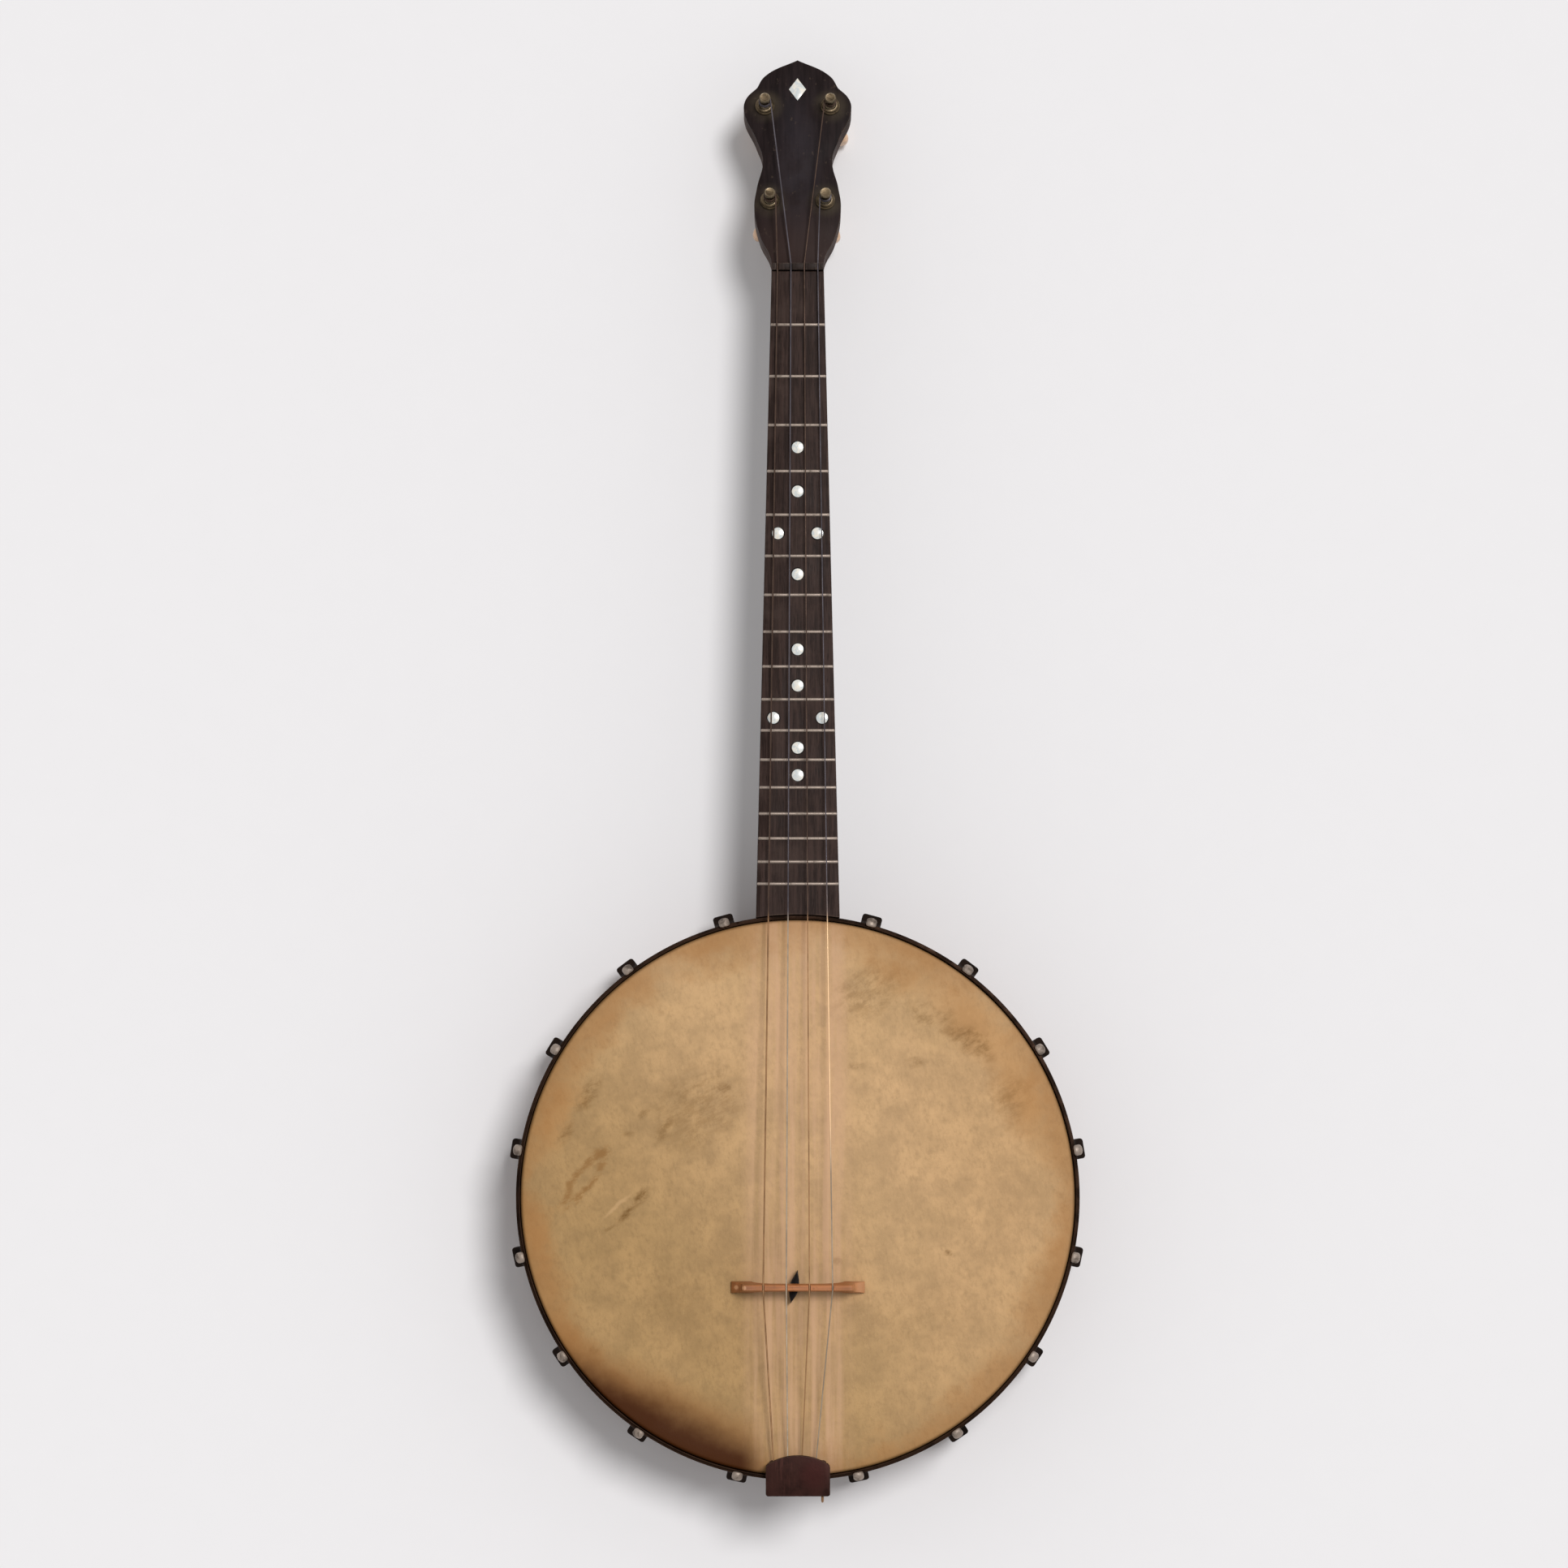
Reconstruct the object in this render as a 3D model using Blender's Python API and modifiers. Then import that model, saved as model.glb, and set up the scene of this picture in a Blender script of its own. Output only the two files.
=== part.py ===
"""Tenor banjo, lying on its back with its face up and its neck along +Y.

Metres. The sizes come first, then helpers, then one function for each piece. Everything hangs
from the empty "pot_centre", which stands at the middle of the pot on the plane of the rim's back
edge. The headstock's pieces hang from the empty "headstock_face".
"""

from math import asin, atan2, cos, pi, radians, sin, tan, tau

import bmesh
import bpy
from mathutils import Matrix, Vector

# Gap between pieces that touch
GAP = 0.0003

# Pot
RIM_OUTER_RADIUS = 0.1397
RIM_WALL = 0.0115
RIM_HEIGHT = 0.066
TONE_RING_WALL = 0.0062
TONE_RING_HEIGHT = 0.0069
SKIN_THICKNESS = 0.0005
FLESH_HOOP_SIZE = 0.0026
FLESH_HOOP_DEPTH = 0.011
FLESH_HOOP_EDGE = 0.0006
HOOP_WALL = 0.0020
HOOP_LIP = 0.0006
HOOP_LEDGE_DEPTH = 0.0019
HOOP_RISE = 0.0015
RING_STEPS = 64

# Brackets: their angles are counted from the neck, the same on both sides
BRACKETS_PER_SIDE = 8
FIRST_BRACKET_ANGLE = radians(15.1)
BRACKET_STEP = radians(21.8)
HOOK_ROD_RADIUS = 0.0016
HOOK_BEND_RADIUS = 0.0018
HOOK_THREAD_END = 0.0125
HEX_NUT_RADIUS = 0.0034
HEX_NUT_LENGTH = 0.009
SHOE_BOTTOM = 0.0225
SHOE_HEIGHT = 0.021
SHOE_LUG_HEIGHT = 0.010
SHOE_WIDTH = 0.0104
SHOE_WALL = 0.0011
SHOE_LIP = 0.0026
SHOE_EDGE = 0.001
SHOE_CORNER_CUT = 0.0018
SHOE_BOLT_HEIGHT = 0.0375
SHOE_BOLT_RADIUS = 0.0018
SHOE_BOLT_NUT_RADIUS = 0.0042
SHOE_BOLT_NUT_THICKNESS = 0.0026

# Dowel stick, and the brace on it
DOWEL_WIDTH = 0.020
DOWEL_TAIL_WIDTH = 0.016
DOWEL_THICKNESS = 0.016
DOWEL_HEIGHT = 0.033
DOWEL_TENON = 0.012
BRACE_WIDTH = 0.014
BRACE_LENGTH = 0.032
BRACE_THICKNESS = 0.002
BRACE_LUG_HEIGHT = 0.012
BRACE_LUG_SETBACK = 0.009
BRACE_SCREW_PLACES = (0.45, 0.8)
BRACE_BOLT_RADIUS = 0.0022
BRACE_SCREW_RADIUS = 0.0026

# Neck and fingerboard
NECK_FREE_LENGTH = 0.3312
NECK_PITCH = radians(2.0)
BOARD_RISE = 0.0005
BOARD_THICKNESS = 0.005
NUT_WIDTH = 0.0268
HEEL_WIDTH = 0.0425
NECK_DEPTH_AT_NUT = 0.0138
NECK_DEPTH_AT_HEEL = 0.0178
HEEL_BOTTOM = 0.010
HEEL_LENGTH = 0.048
HEEL_FOOT = 0.008
HEEL_CURVE = 1.6
NECK_ROUNDNESS = 2.4
NECK_SIDES = 14
VOLUTE_LENGTH = 0.026
FRET_COUNT = 17
SCALE_LENGTH = 0.5043
FRET_WIDTH = 0.0016
FRET_HEIGHT = 0.0009
FRET_INSET = 0.0002
BOARD_OVERLAP = 0.012

# Headstock: the outline is measured from the nut, along the face
HEADSTOCK_TILT = radians(12.5)
HEADSTOCK_FACE_DROP = 0.0011
HEADSTOCK_LENGTH = 0.1164
HEADSTOCK_THICKNESS = 0.0125
OVERLAY_THICKNESS = 0.0016
OUTLINE_RESOLUTION = 3
UPPER_LOBE_HALF_WIDTH = 0.0277
WAIST_HALF_WIDTH = 0.0179
LOWER_LOBE_HALF_WIDTH = 0.0223
SHOULDER_HALF_WIDTH = 0.0209

# Tuning pegs: heights are measured from the headstock's face
UPPER_PEG_PLACE = (0.0169, 0.0905)
LOWER_PEG_PLACE = (0.0143, 0.0382)
# How far each peg's button is turned from square to the neck
PEG_TURNS = {
    "upper_left": radians(-80),
    "upper_right": radians(-22),
    "lower_left": radians(35),
    "lower_right": radians(-45),
}
PEG_SHAFT_RADIUS = 0.0028
PEG_POST_RADIUS = 0.0022
PEG_KNOB_RADIUS = 0.0029
PEG_KNOB_LENGTH = 0.0016
PEG_KNOB_EDGE = 0.0006
PEG_POST_HEIGHT = 0.0120
PEG_COLLAR_RADIUS = 0.0050
PEG_COLLAR_HEIGHT = 0.0026
PEG_COLLAR_EDGE = 0.0009
PEG_WASHER_RADIUS = 0.0052
PEG_WASHER_THICKNESS = 0.0045
PEG_WASHER_EDGE = 0.001
PEG_LENGTH_BEHIND = 0.0440
PEG_STEM_RADIUS = 0.0030
BUTTON_WIDTH = 0.0205
BUTTON_THICKNESS = 0.0078
BUTTON_LENGTH = 0.0145

# Nut
NUT_THICKNESS = 0.0035
NUT_RISE = 0.0023
STRING_HEIGHT_AT_NUT = 0.0019
STRING_FALL_OVER_NUT = 0.0002
NUT_SLOT_ROOM = 0.004

# Bridge, and the wedge across it
BRIDGE_SETBACK = 0.0152
BRIDGE_LENGTH = 0.0677
BRIDGE_TOP_LENGTH = 0.0560
BRIDGE_HEIGHT = 0.0160
BRIDGE_FOOT_LENGTH = 0.0105
BRIDGE_ARCH_HEIGHT = 0.0088
BRIDGE_FOOT_THICKNESS = 0.0060
BRIDGE_TOP_THICKNESS = 0.0026
BRIDGE_EDGE = 0.001
BRIDGE_SLOT_DEPTH = 0.001
WEDGE_LENGTH = 0.0170
WEDGE_WIDTH = 0.0048
WEDGE_PLACE = (-0.0018, 0.0004)
WEDGE_TURN = radians(-12.0)

# Strings, first to fourth from the left as the face is seen
STRING_RADII = (0.00040, 0.00035, 0.00030, 0.00030)
STRING_SPACING_AT_NUT = 0.0069
STRING_SPACING_AT_BRIDGE = 0.01165
STRING_SPACING_AT_TAIL = 0.0069
WINDING_TURNS = 2.5
WINDING_TOP = 0.0085
WINDING_PITCH = 0.0014
WINDING_POINTS = 9

# Tailpiece: the cover turns about its pin, which lies across the banjo at the tail side
TAIL_PLATE_WIDTH = 0.0290
TAIL_PLATE_LENGTH = 0.0135
TAIL_PLATE_THICKNESS = 0.0014
HANGER_ROOM = 0.0018
TAIL_PLATE_RISE = 0.0003
HANGER_WIDTH = 0.0140
HANGER_LENGTH = 0.0580
TAIL_POST_RADIUS = 0.0010
TAIL_POST_HEIGHT = 0.0042
TAIL_POST_SETBACK = 0.0045
TAIL_BOLT_RADIUS = 0.0022
TAIL_BOLT_HEAD_RADIUS = 0.0052
TAIL_BOLT_HEAD_THICKNESS = 0.0034
TAIL_BOLT_REACH = 0.0140
HINGE_CLEARANCE = 0.0004
HINGE_HEIGHT = 0.0026
HINGE_KNUCKLE_RADIUS = 0.0017
HINGE_BARREL_LENGTH = 0.0180
HINGE_EAR_WIDTH = 0.0035
HINGE_PIN_RADIUS = 0.0007
COVER_WIDTH = 0.0324
COVER_REACH = 0.0184
COVER_DOME = 0.0050
COVER_WALL = 0.0010
COVER_TOP = 0.0075
COVER_RISE = 0.0007
COVER_STRING_ROOM = 0.001

# Levels and radii that follow from the sizes above
RIM_INNER_RADIUS = RIM_OUTER_RADIUS - RIM_WALL
TONE_RING_BOTTOM = RIM_HEIGHT + GAP
TONE_RING_TOP = TONE_RING_BOTTOM + TONE_RING_HEIGHT
SKIN_TOP = TONE_RING_TOP + GAP + SKIN_THICKNESS
SKIN_INNER_RADIUS = RIM_OUTER_RADIUS + GAP
SKIN_OUTER_RADIUS = SKIN_INNER_RADIUS + SKIN_THICKNESS
FLESH_HOOP_TOP = SKIN_TOP - FLESH_HOOP_DEPTH
FLESH_HOOP_BOTTOM = FLESH_HOOP_TOP - FLESH_HOOP_SIZE
FLESH_HOOP_RADIUS = SKIN_INNER_RADIUS + FLESH_HOOP_SIZE
HOOP_INNER_RADIUS = SKIN_OUTER_RADIUS + GAP
HOOP_OUTER_RADIUS = HOOP_INNER_RADIUS + HOOP_WALL
HOOP_TOP = SKIN_TOP + HOOP_RISE
HOOP_LEDGE = HOOP_TOP - HOOP_LEDGE_DEPTH
HOOK_RADIUS = HOOP_OUTER_RADIUS + GAP + HOOK_ROD_RADIUS
SHOE_REACH = HOOK_RADIUS + HOOK_ROD_RADIUS + GAP + SHOE_LIP
NUT_Y = HOOP_OUTER_RADIUS + NECK_FREE_LENGTH
BRIDGE_Y = NUT_Y - SCALE_LENGTH - BRIDGE_SETBACK
BRIDGE_TOP = SKIN_TOP + GAP + BRIDGE_HEIGHT
PEG_BORE_RADIUS = PEG_SHAFT_RADIUS + GAP
HANGER_INNER_Y = -(RIM_OUTER_RADIUS + GAP)
TAIL_PLATE_BOTTOM = HOOP_TOP + TAIL_PLATE_RISE
TAIL_PLATE_TOP = TAIL_PLATE_BOTTOM + TAIL_PLATE_THICKNESS
HANGER_OUTER_Y = -(HOOP_OUTER_RADIUS + HANGER_ROOM + TAIL_PLATE_THICKNESS)
HINGE_Y = HANGER_OUTER_Y - HINGE_CLEARANCE - HINGE_KNUCKLE_RADIUS
HINGE_Z = HOOP_TOP + HINGE_HEIGHT
TAIL_POST_Y = HANGER_OUTER_Y + TAIL_PLATE_LENGTH - TAIL_POST_SETBACK
TAIL_STRING_Z = TAIL_PLATE_TOP + GAP + max(STRING_RADII)
BRIDGE_STRING_Z = BRIDGE_TOP - BRIDGE_SLOT_DEPTH + GAP + max(STRING_RADII)
TAIL_SLOPE = (BRIDGE_STRING_Z - TAIL_STRING_Z) / (BRIDGE_Y - TAIL_POST_Y)
COVER_FRONT_Y = HINGE_Y + COVER_REACH
COVER_BACK_Y = HINGE_Y - HINGE_KNUCKLE_RADIUS - GAP
LENGTH_MIDDLE_Y = (NUT_Y + HEADSTOCK_LENGTH * cos(HEADSTOCK_TILT) + COVER_BACK_Y) / 2

COLOURS = {
    "rim_wood": ((0.110, 0.052, 0.026), 0.45, 0.0),
    "tone_brass": ((0.420, 0.290, 0.120), 0.35, 1.0),
    "skin": ((0.480, 0.300, 0.130), 0.55, 0.0),
    "dark_metal": ((0.035, 0.030, 0.028), 0.40, 0.9),
    "grey_metal": ((0.180, 0.170, 0.160), 0.38, 1.0),
    "neck_wood": ((0.040, 0.022, 0.016), 0.40, 0.0),
    "board_wood": ((0.032, 0.020, 0.018), 0.45, 0.0),
    "headstock_veneer": ((0.014, 0.011, 0.011), 0.35, 0.0),
    "dowel_wood": ((0.300, 0.180, 0.085), 0.50, 0.0),
    "maple": ((0.460, 0.200, 0.070), 0.50, 0.0),
    "ebony": ((0.018, 0.014, 0.012), 0.45, 0.0),
    "string_steel": ((0.450, 0.430, 0.400), 0.30, 1.0),
    "peg_brass": ((0.250, 0.200, 0.110), 0.40, 1.0),
    "tail_metal": ((0.060, 0.030, 0.024), 0.42, 0.6),
}


def board_top(y):
    """Height of the fingerboard's face, which falls away from the pot towards the nut."""
    return HOOP_TOP + BOARD_RISE - tan(NECK_PITCH) * (y - HOOP_OUTER_RADIUS)


def board_half_width(y):
    share = (y - HOOP_OUTER_RADIUS) / NECK_FREE_LENGTH
    return (HEEL_WIDTH + (NUT_WIDTH - HEEL_WIDTH) * share) / 2


def inside_rim(half_width):
    """How far out a flat-ended piece of this half width reaches inside the rim, with its gap."""
    flat_radius = RIM_INNER_RADIUS * cos(pi / RING_STEPS)
    return (flat_radius**2 - half_width**2) ** 0.5 - GAP


def string_side(number, spacing):
    """Distance of string 0 to 3 from the middle, with the strings this far apart."""
    return (number - 1.5) * spacing


def bracket_angles():
    """Angles from the neck, right side first, each as a turn about +Z of a piece that lies on +X."""
    for side in (1, -1):
        for place in range(BRACKETS_PER_SIDE):
            yield pi / 2 - side * (FIRST_BRACKET_ANGLE + place * BRACKET_STEP)


# Scene helpers


def clear_scene():
    for obj in list(bpy.data.objects):
        bpy.data.objects.remove(obj, do_unlink=True)
    for collection in list(bpy.data.collections):
        bpy.data.collections.remove(collection)


def new_collection(name):
    collection = bpy.data.collections.new(name)
    bpy.context.scene.collection.children.link(collection)
    return collection


def material(name):
    colour, roughness, metallic = COLOURS[name]
    made = bpy.data.materials.get(name)
    if made is None:
        made = bpy.data.materials.new(name)
        made.use_nodes = True
        shader = made.node_tree.nodes["Principled BSDF"]
        shader.inputs["Base Color"].default_value = (*colour, 1.0)
        shader.inputs["Roughness"].default_value = roughness
        shader.inputs["Metallic"].default_value = metallic
    return made


def place(name, data, finish=None, parent=None, at=(0, 0, 0), turn=(0, 0, 0)):
    """An object in the banjo's collection, under its parent."""
    obj = bpy.data.objects.new(name, data)
    bpy.data.collections["tenor_banjo"].objects.link(obj)
    obj.parent = parent
    obj.location = at
    obj.rotation_euler = turn
    if finish and not data.materials:
        data.materials.append(material(finish))
    return obj


def empty(name, parent=None, at=(0, 0, 0), turn=(0, 0, 0)):
    """A plain axis that pieces hang from."""
    obj = bpy.data.objects.new(name, None)
    bpy.data.collections["tenor_banjo"].objects.link(obj)
    obj.parent = parent
    obj.location = at
    obj.rotation_euler = turn
    return obj


def as_tool(obj):
    """Marks an object as a cutter or a piece to be joined, which isn't part of the banjo."""
    bpy.data.collections["tenor_banjo"].objects.unlink(obj)
    bpy.data.collections["cutters"].objects.link(obj)
    obj.hide_render = True
    obj.display_type = "WIRE"
    return obj


def combine(obj, operation, *tools):
    for tool in tools:
        modifier = obj.modifiers.new(tool.name, "BOOLEAN")
        modifier.operation = operation
        modifier.object = as_tool(tool)
    return obj


def cut(obj, *tools):
    return combine(obj, "DIFFERENCE", *tools)


def join(obj, *tools):
    return combine(obj, "UNION", *tools)


def baked(obj):
    """The plain mesh that an object shows, in its parent's space. The object and its tools go."""
    bpy.context.view_layer.update()
    graph = bpy.context.evaluated_depsgraph_get()
    mesh = bpy.data.meshes.new_from_object(obj.evaluated_get(graph))
    mesh.transform(obj.matrix_local)
    shape = bmesh.new()
    shape.from_mesh(mesh)
    bmesh.ops.remove_doubles(shape, verts=shape.verts, dist=1e-6)
    shape.to_mesh(mesh)
    shape.free()
    tools = [m.object for m in obj.modifiers if m.type == "BOOLEAN"]
    for used in [obj, *tools]:
        bpy.data.objects.remove(used, do_unlink=True)
    mesh.name = "baked"
    return mesh


def smooth(mesh, sharp_from=radians(32)):
    mesh.shade_smooth()
    mesh.set_sharp_from_angle(angle=sharp_from)
    return mesh


# Shape helpers


def block(size, middle=(0, 0, 0)):
    """Mesh of a box with its sizes along X, Y and Z."""
    mesh = bpy.data.meshes.new("block")
    shape = bmesh.new()
    matrix = Matrix.Translation(middle) @ Matrix.Diagonal((*size, 1.0))
    bmesh.ops.create_cube(shape, size=1.0, matrix=matrix)
    shape.to_mesh(mesh)
    shape.free()
    return mesh


def rods(radius, length, middles, along="Z", sides=16):
    """Mesh of one or more equal cylinders with their axes along X, Y or Z."""
    turn = {
        "X": Matrix.Rotation(pi / 2, 4, "Y"),
        "Y": Matrix.Rotation(pi / 2, 4, "X"),
        "Z": Matrix.Identity(4),
    }[along]
    mesh = bpy.data.meshes.new("rods")
    shape = bmesh.new()
    for middle in middles:
        bmesh.ops.create_cone(
            shape,
            cap_ends=True,
            segments=sides,
            radius1=radius,
            radius2=radius,
            depth=length,
            matrix=Matrix.Translation(middle) @ turn,
        )
    shape.to_mesh(mesh)
    shape.free()
    return mesh


def turned(name, profile, finish=None, parent=None, steps=RING_STEPS):
    """A ring or disc from (radius, height) points, which run down its outer side first."""
    mesh = bpy.data.meshes.new(name)
    shape = bmesh.new()
    corners = [shape.verts.new((radius, 0, height)) for radius, height in profile]
    for one, other in zip(corners, corners[1:]):
        shape.edges.new((one, other))
    if profile[0][0] > 0:
        shape.edges.new((corners[-1], corners[0]))
    shape.to_mesh(mesh)
    shape.free()
    obj = place(name, mesh, finish, parent)
    screw = obj.modifiers.new("turning", "SCREW")
    screw.steps = steps
    screw.render_steps = steps
    screw.use_merge_vertices = True
    screw.merge_threshold = 1e-6
    screw.use_smooth_shade = False
    return obj


def plate(name, outline, thickness, finish=None, parent=None, at=(0, 0, 0), turn=(0, 0, 0)):
    """A flat piece from an outline of (x, y) points, half its thickness to each side of z = 0."""
    curve = bpy.data.curves.new(name, "CURVE")
    curve.dimensions = "2D"
    curve.fill_mode = "BOTH"
    curve.extrude = thickness / 2
    spline = curve.splines.new("POLY")
    spline.points.add(len(outline) - 1)
    for point, (x, y) in zip(spline.points, outline):
        point.co = (x, y, 0, 1)
    spline.use_cyclic_u = True
    return place(name, curve, finish, parent, at, turn)


def rounded_plate(name, right_half, thickness, resolution, parent=None, at=(0, 0, 0), turn=(0, 0, 0)):
    """A plate from the right half of its outline, top to bottom: (x, y, is_corner) points."""
    left_half = [(-x, y, corner) for x, y, corner in reversed(right_half) if x > 0]
    curve = bpy.data.curves.new(name, "CURVE")
    curve.dimensions = "2D"
    curve.fill_mode = "BOTH"
    curve.extrude = thickness / 2
    curve.resolution_u = resolution
    spline = curve.splines.new("BEZIER")
    outline = right_half + left_half
    spline.bezier_points.add(len(outline) - 1)
    for point, (x, y, corner) in zip(spline.bezier_points, outline):
        point.handle_left_type = "VECTOR" if corner else "AUTO"
        point.handle_right_type = point.handle_left_type
        point.co = (x, y, 0)
    spline.use_cyclic_u = True
    return place(name, curve, None, parent, at, turn)


def wire(name, points, radius, finish=None, parent=None, resolution=2):
    """A round wire through the points, with flat ends."""
    curve = bpy.data.curves.new(name, "CURVE")
    curve.dimensions = "3D"
    curve.bevel_depth = radius
    curve.bevel_resolution = resolution
    curve.use_fill_caps = True
    spline = curve.splines.new("POLY")
    spline.points.add(len(points) - 1)
    for point, where in zip(spline.points, points):
        point.co = (*where, 1)
    return place(name, curve, finish, parent)


def arc(middle, radius, start, end, count):
    """Points on an arc, both ends included."""
    step = (end - start) / (count - 1)
    return [
        (middle[0] + radius * cos(start + step * i), middle[1] + radius * sin(start + step * i))
        for i in range(count)
    ]


# Pot


def make_rim(pot):
    chamfer = 0.0012
    profile = [
        (RIM_OUTER_RADIUS, RIM_HEIGHT),
        (RIM_OUTER_RADIUS, chamfer),
        (RIM_OUTER_RADIUS - chamfer, 0),
        (RIM_INNER_RADIUS + chamfer, 0),
        (RIM_INNER_RADIUS, chamfer),
        (RIM_INNER_RADIUS, RIM_HEIGHT),
    ]
    rim = turned("rim", profile, "rim_wood", pot)
    middle_radius = RIM_OUTER_RADIUS - RIM_WALL / 2
    bolt_holes = bpy.data.meshes.new("bolt_holes")
    shape = bmesh.new()
    for angle in bracket_angles():
        bmesh.ops.create_cone(
            shape,
            cap_ends=True,
            segments=10,
            radius1=SHOE_BOLT_RADIUS + GAP,
            radius2=SHOE_BOLT_RADIUS + GAP,
            depth=2 * RIM_WALL,
            matrix=Matrix.Rotation(angle, 4, "Z")
            @ Matrix.Translation((middle_radius, 0, SHOE_BOLT_HEIGHT))
            @ Matrix.Rotation(pi / 2, 4, "Y"),
        )
    shape.to_mesh(bolt_holes)
    shape.free()
    dowel_hole = block(
        (DOWEL_WIDTH + 2 * GAP, 3 * RIM_WALL, DOWEL_THICKNESS + 2 * GAP),
        (0, middle_radius, DOWEL_HEIGHT),
    )
    tail_hole = rods(
        TAIL_BOLT_RADIUS + GAP, 3 * RIM_WALL, [(0, -middle_radius, DOWEL_HEIGHT)], "Y"
    )
    return cut(
        rim,
        place("rim_bolt_holes", bolt_holes, parent=pot),
        place("rim_dowel_hole", dowel_hole, parent=pot),
        place("rim_tail_hole", tail_hole, parent=pot),
    )


def make_tone_ring(pot):
    rounding = TONE_RING_WALL / 4
    inner_radius = RIM_OUTER_RADIUS - TONE_RING_WALL
    outer_top = arc(
        (RIM_OUTER_RADIUS - rounding, TONE_RING_TOP - rounding), rounding, pi / 2, 0, 3
    )
    profile = [
        *outer_top,
        (RIM_OUTER_RADIUS, TONE_RING_BOTTOM),
        (inner_radius, TONE_RING_BOTTOM),
        (inner_radius, TONE_RING_TOP - rounding),
        (inner_radius + rounding, TONE_RING_TOP),
    ]
    return turned("tone_ring", profile, "tone_brass", pot)


def make_skin_head(pot):
    rounding = SKIN_THICKNESS + TONE_RING_WALL / 4
    under = rounding - SKIN_THICKNESS
    corner = (SKIN_OUTER_RADIUS - rounding, SKIN_TOP - rounding)
    profile = [
        (0, SKIN_TOP),
        *arc(corner, rounding, pi / 2, 0, 3),
        (SKIN_OUTER_RADIUS, FLESH_HOOP_TOP),
        (FLESH_HOOP_RADIUS - FLESH_HOOP_EDGE, FLESH_HOOP_TOP),
        (FLESH_HOOP_RADIUS, FLESH_HOOP_TOP - FLESH_HOOP_EDGE),
        (FLESH_HOOP_RADIUS, FLESH_HOOP_BOTTOM + FLESH_HOOP_EDGE),
        (FLESH_HOOP_RADIUS - FLESH_HOOP_EDGE, FLESH_HOOP_BOTTOM),
        (SKIN_INNER_RADIUS, FLESH_HOOP_BOTTOM),
        *arc(corner, under, 0, pi / 2, 3),
        (0, SKIN_TOP - SKIN_THICKNESS),
    ]
    return turned("skin_head", profile, "skin", pot)


def make_tension_hoop(pot):
    edge = 0.0004
    lip_radius = HOOP_INNER_RADIUS + HOOP_LIP
    bottom = FLESH_HOOP_TOP + GAP
    profile = [
        (HOOP_INNER_RADIUS + edge, HOOP_TOP),
        (lip_radius, HOOP_TOP),
        (lip_radius, HOOP_LEDGE),
        (HOOP_OUTER_RADIUS - edge, HOOP_LEDGE),
        (HOOP_OUTER_RADIUS, HOOP_LEDGE - edge),
        (HOOP_OUTER_RADIUS, bottom),
        (HOOP_INNER_RADIUS, bottom),
        (HOOP_INNER_RADIUS, HOOP_TOP - edge),
    ]
    return turned("tension_hoop", profile, "dark_metal", pot)


def hook_mesh():
    """A hook that lies on +X: its claw on the hoop's ledge, its rod down through the shoe."""
    claw_height = HOOP_LEDGE + GAP + HOOK_ROD_RADIUS
    claw_tip = HOOP_INNER_RADIUS + HOOP_LIP + GAP
    bend = arc(
        (HOOK_RADIUS - HOOK_BEND_RADIUS, claw_height - HOOK_BEND_RADIUS),
        HOOK_BEND_RADIUS,
        pi / 2,
        0,
        5,
    )
    path = [(claw_tip, claw_height), *bend, (HOOK_RADIUS, HOOK_THREAD_END)]
    rod = wire("rod", [(x, 0, z) for x, z in path], HOOK_ROD_RADIUS)
    rod = place("rod", baked(rod))
    nut_top = SHOE_BOTTOM - GAP
    hexagon = place(
        "hexagon",
        rods(
            HEX_NUT_RADIUS,
            HEX_NUT_LENGTH,
            [(HOOK_RADIUS, 0, nut_top - HEX_NUT_LENGTH / 2)],
            sides=6,
        ),
    )
    return smooth(baked(join(rod, hexagon)))


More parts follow.
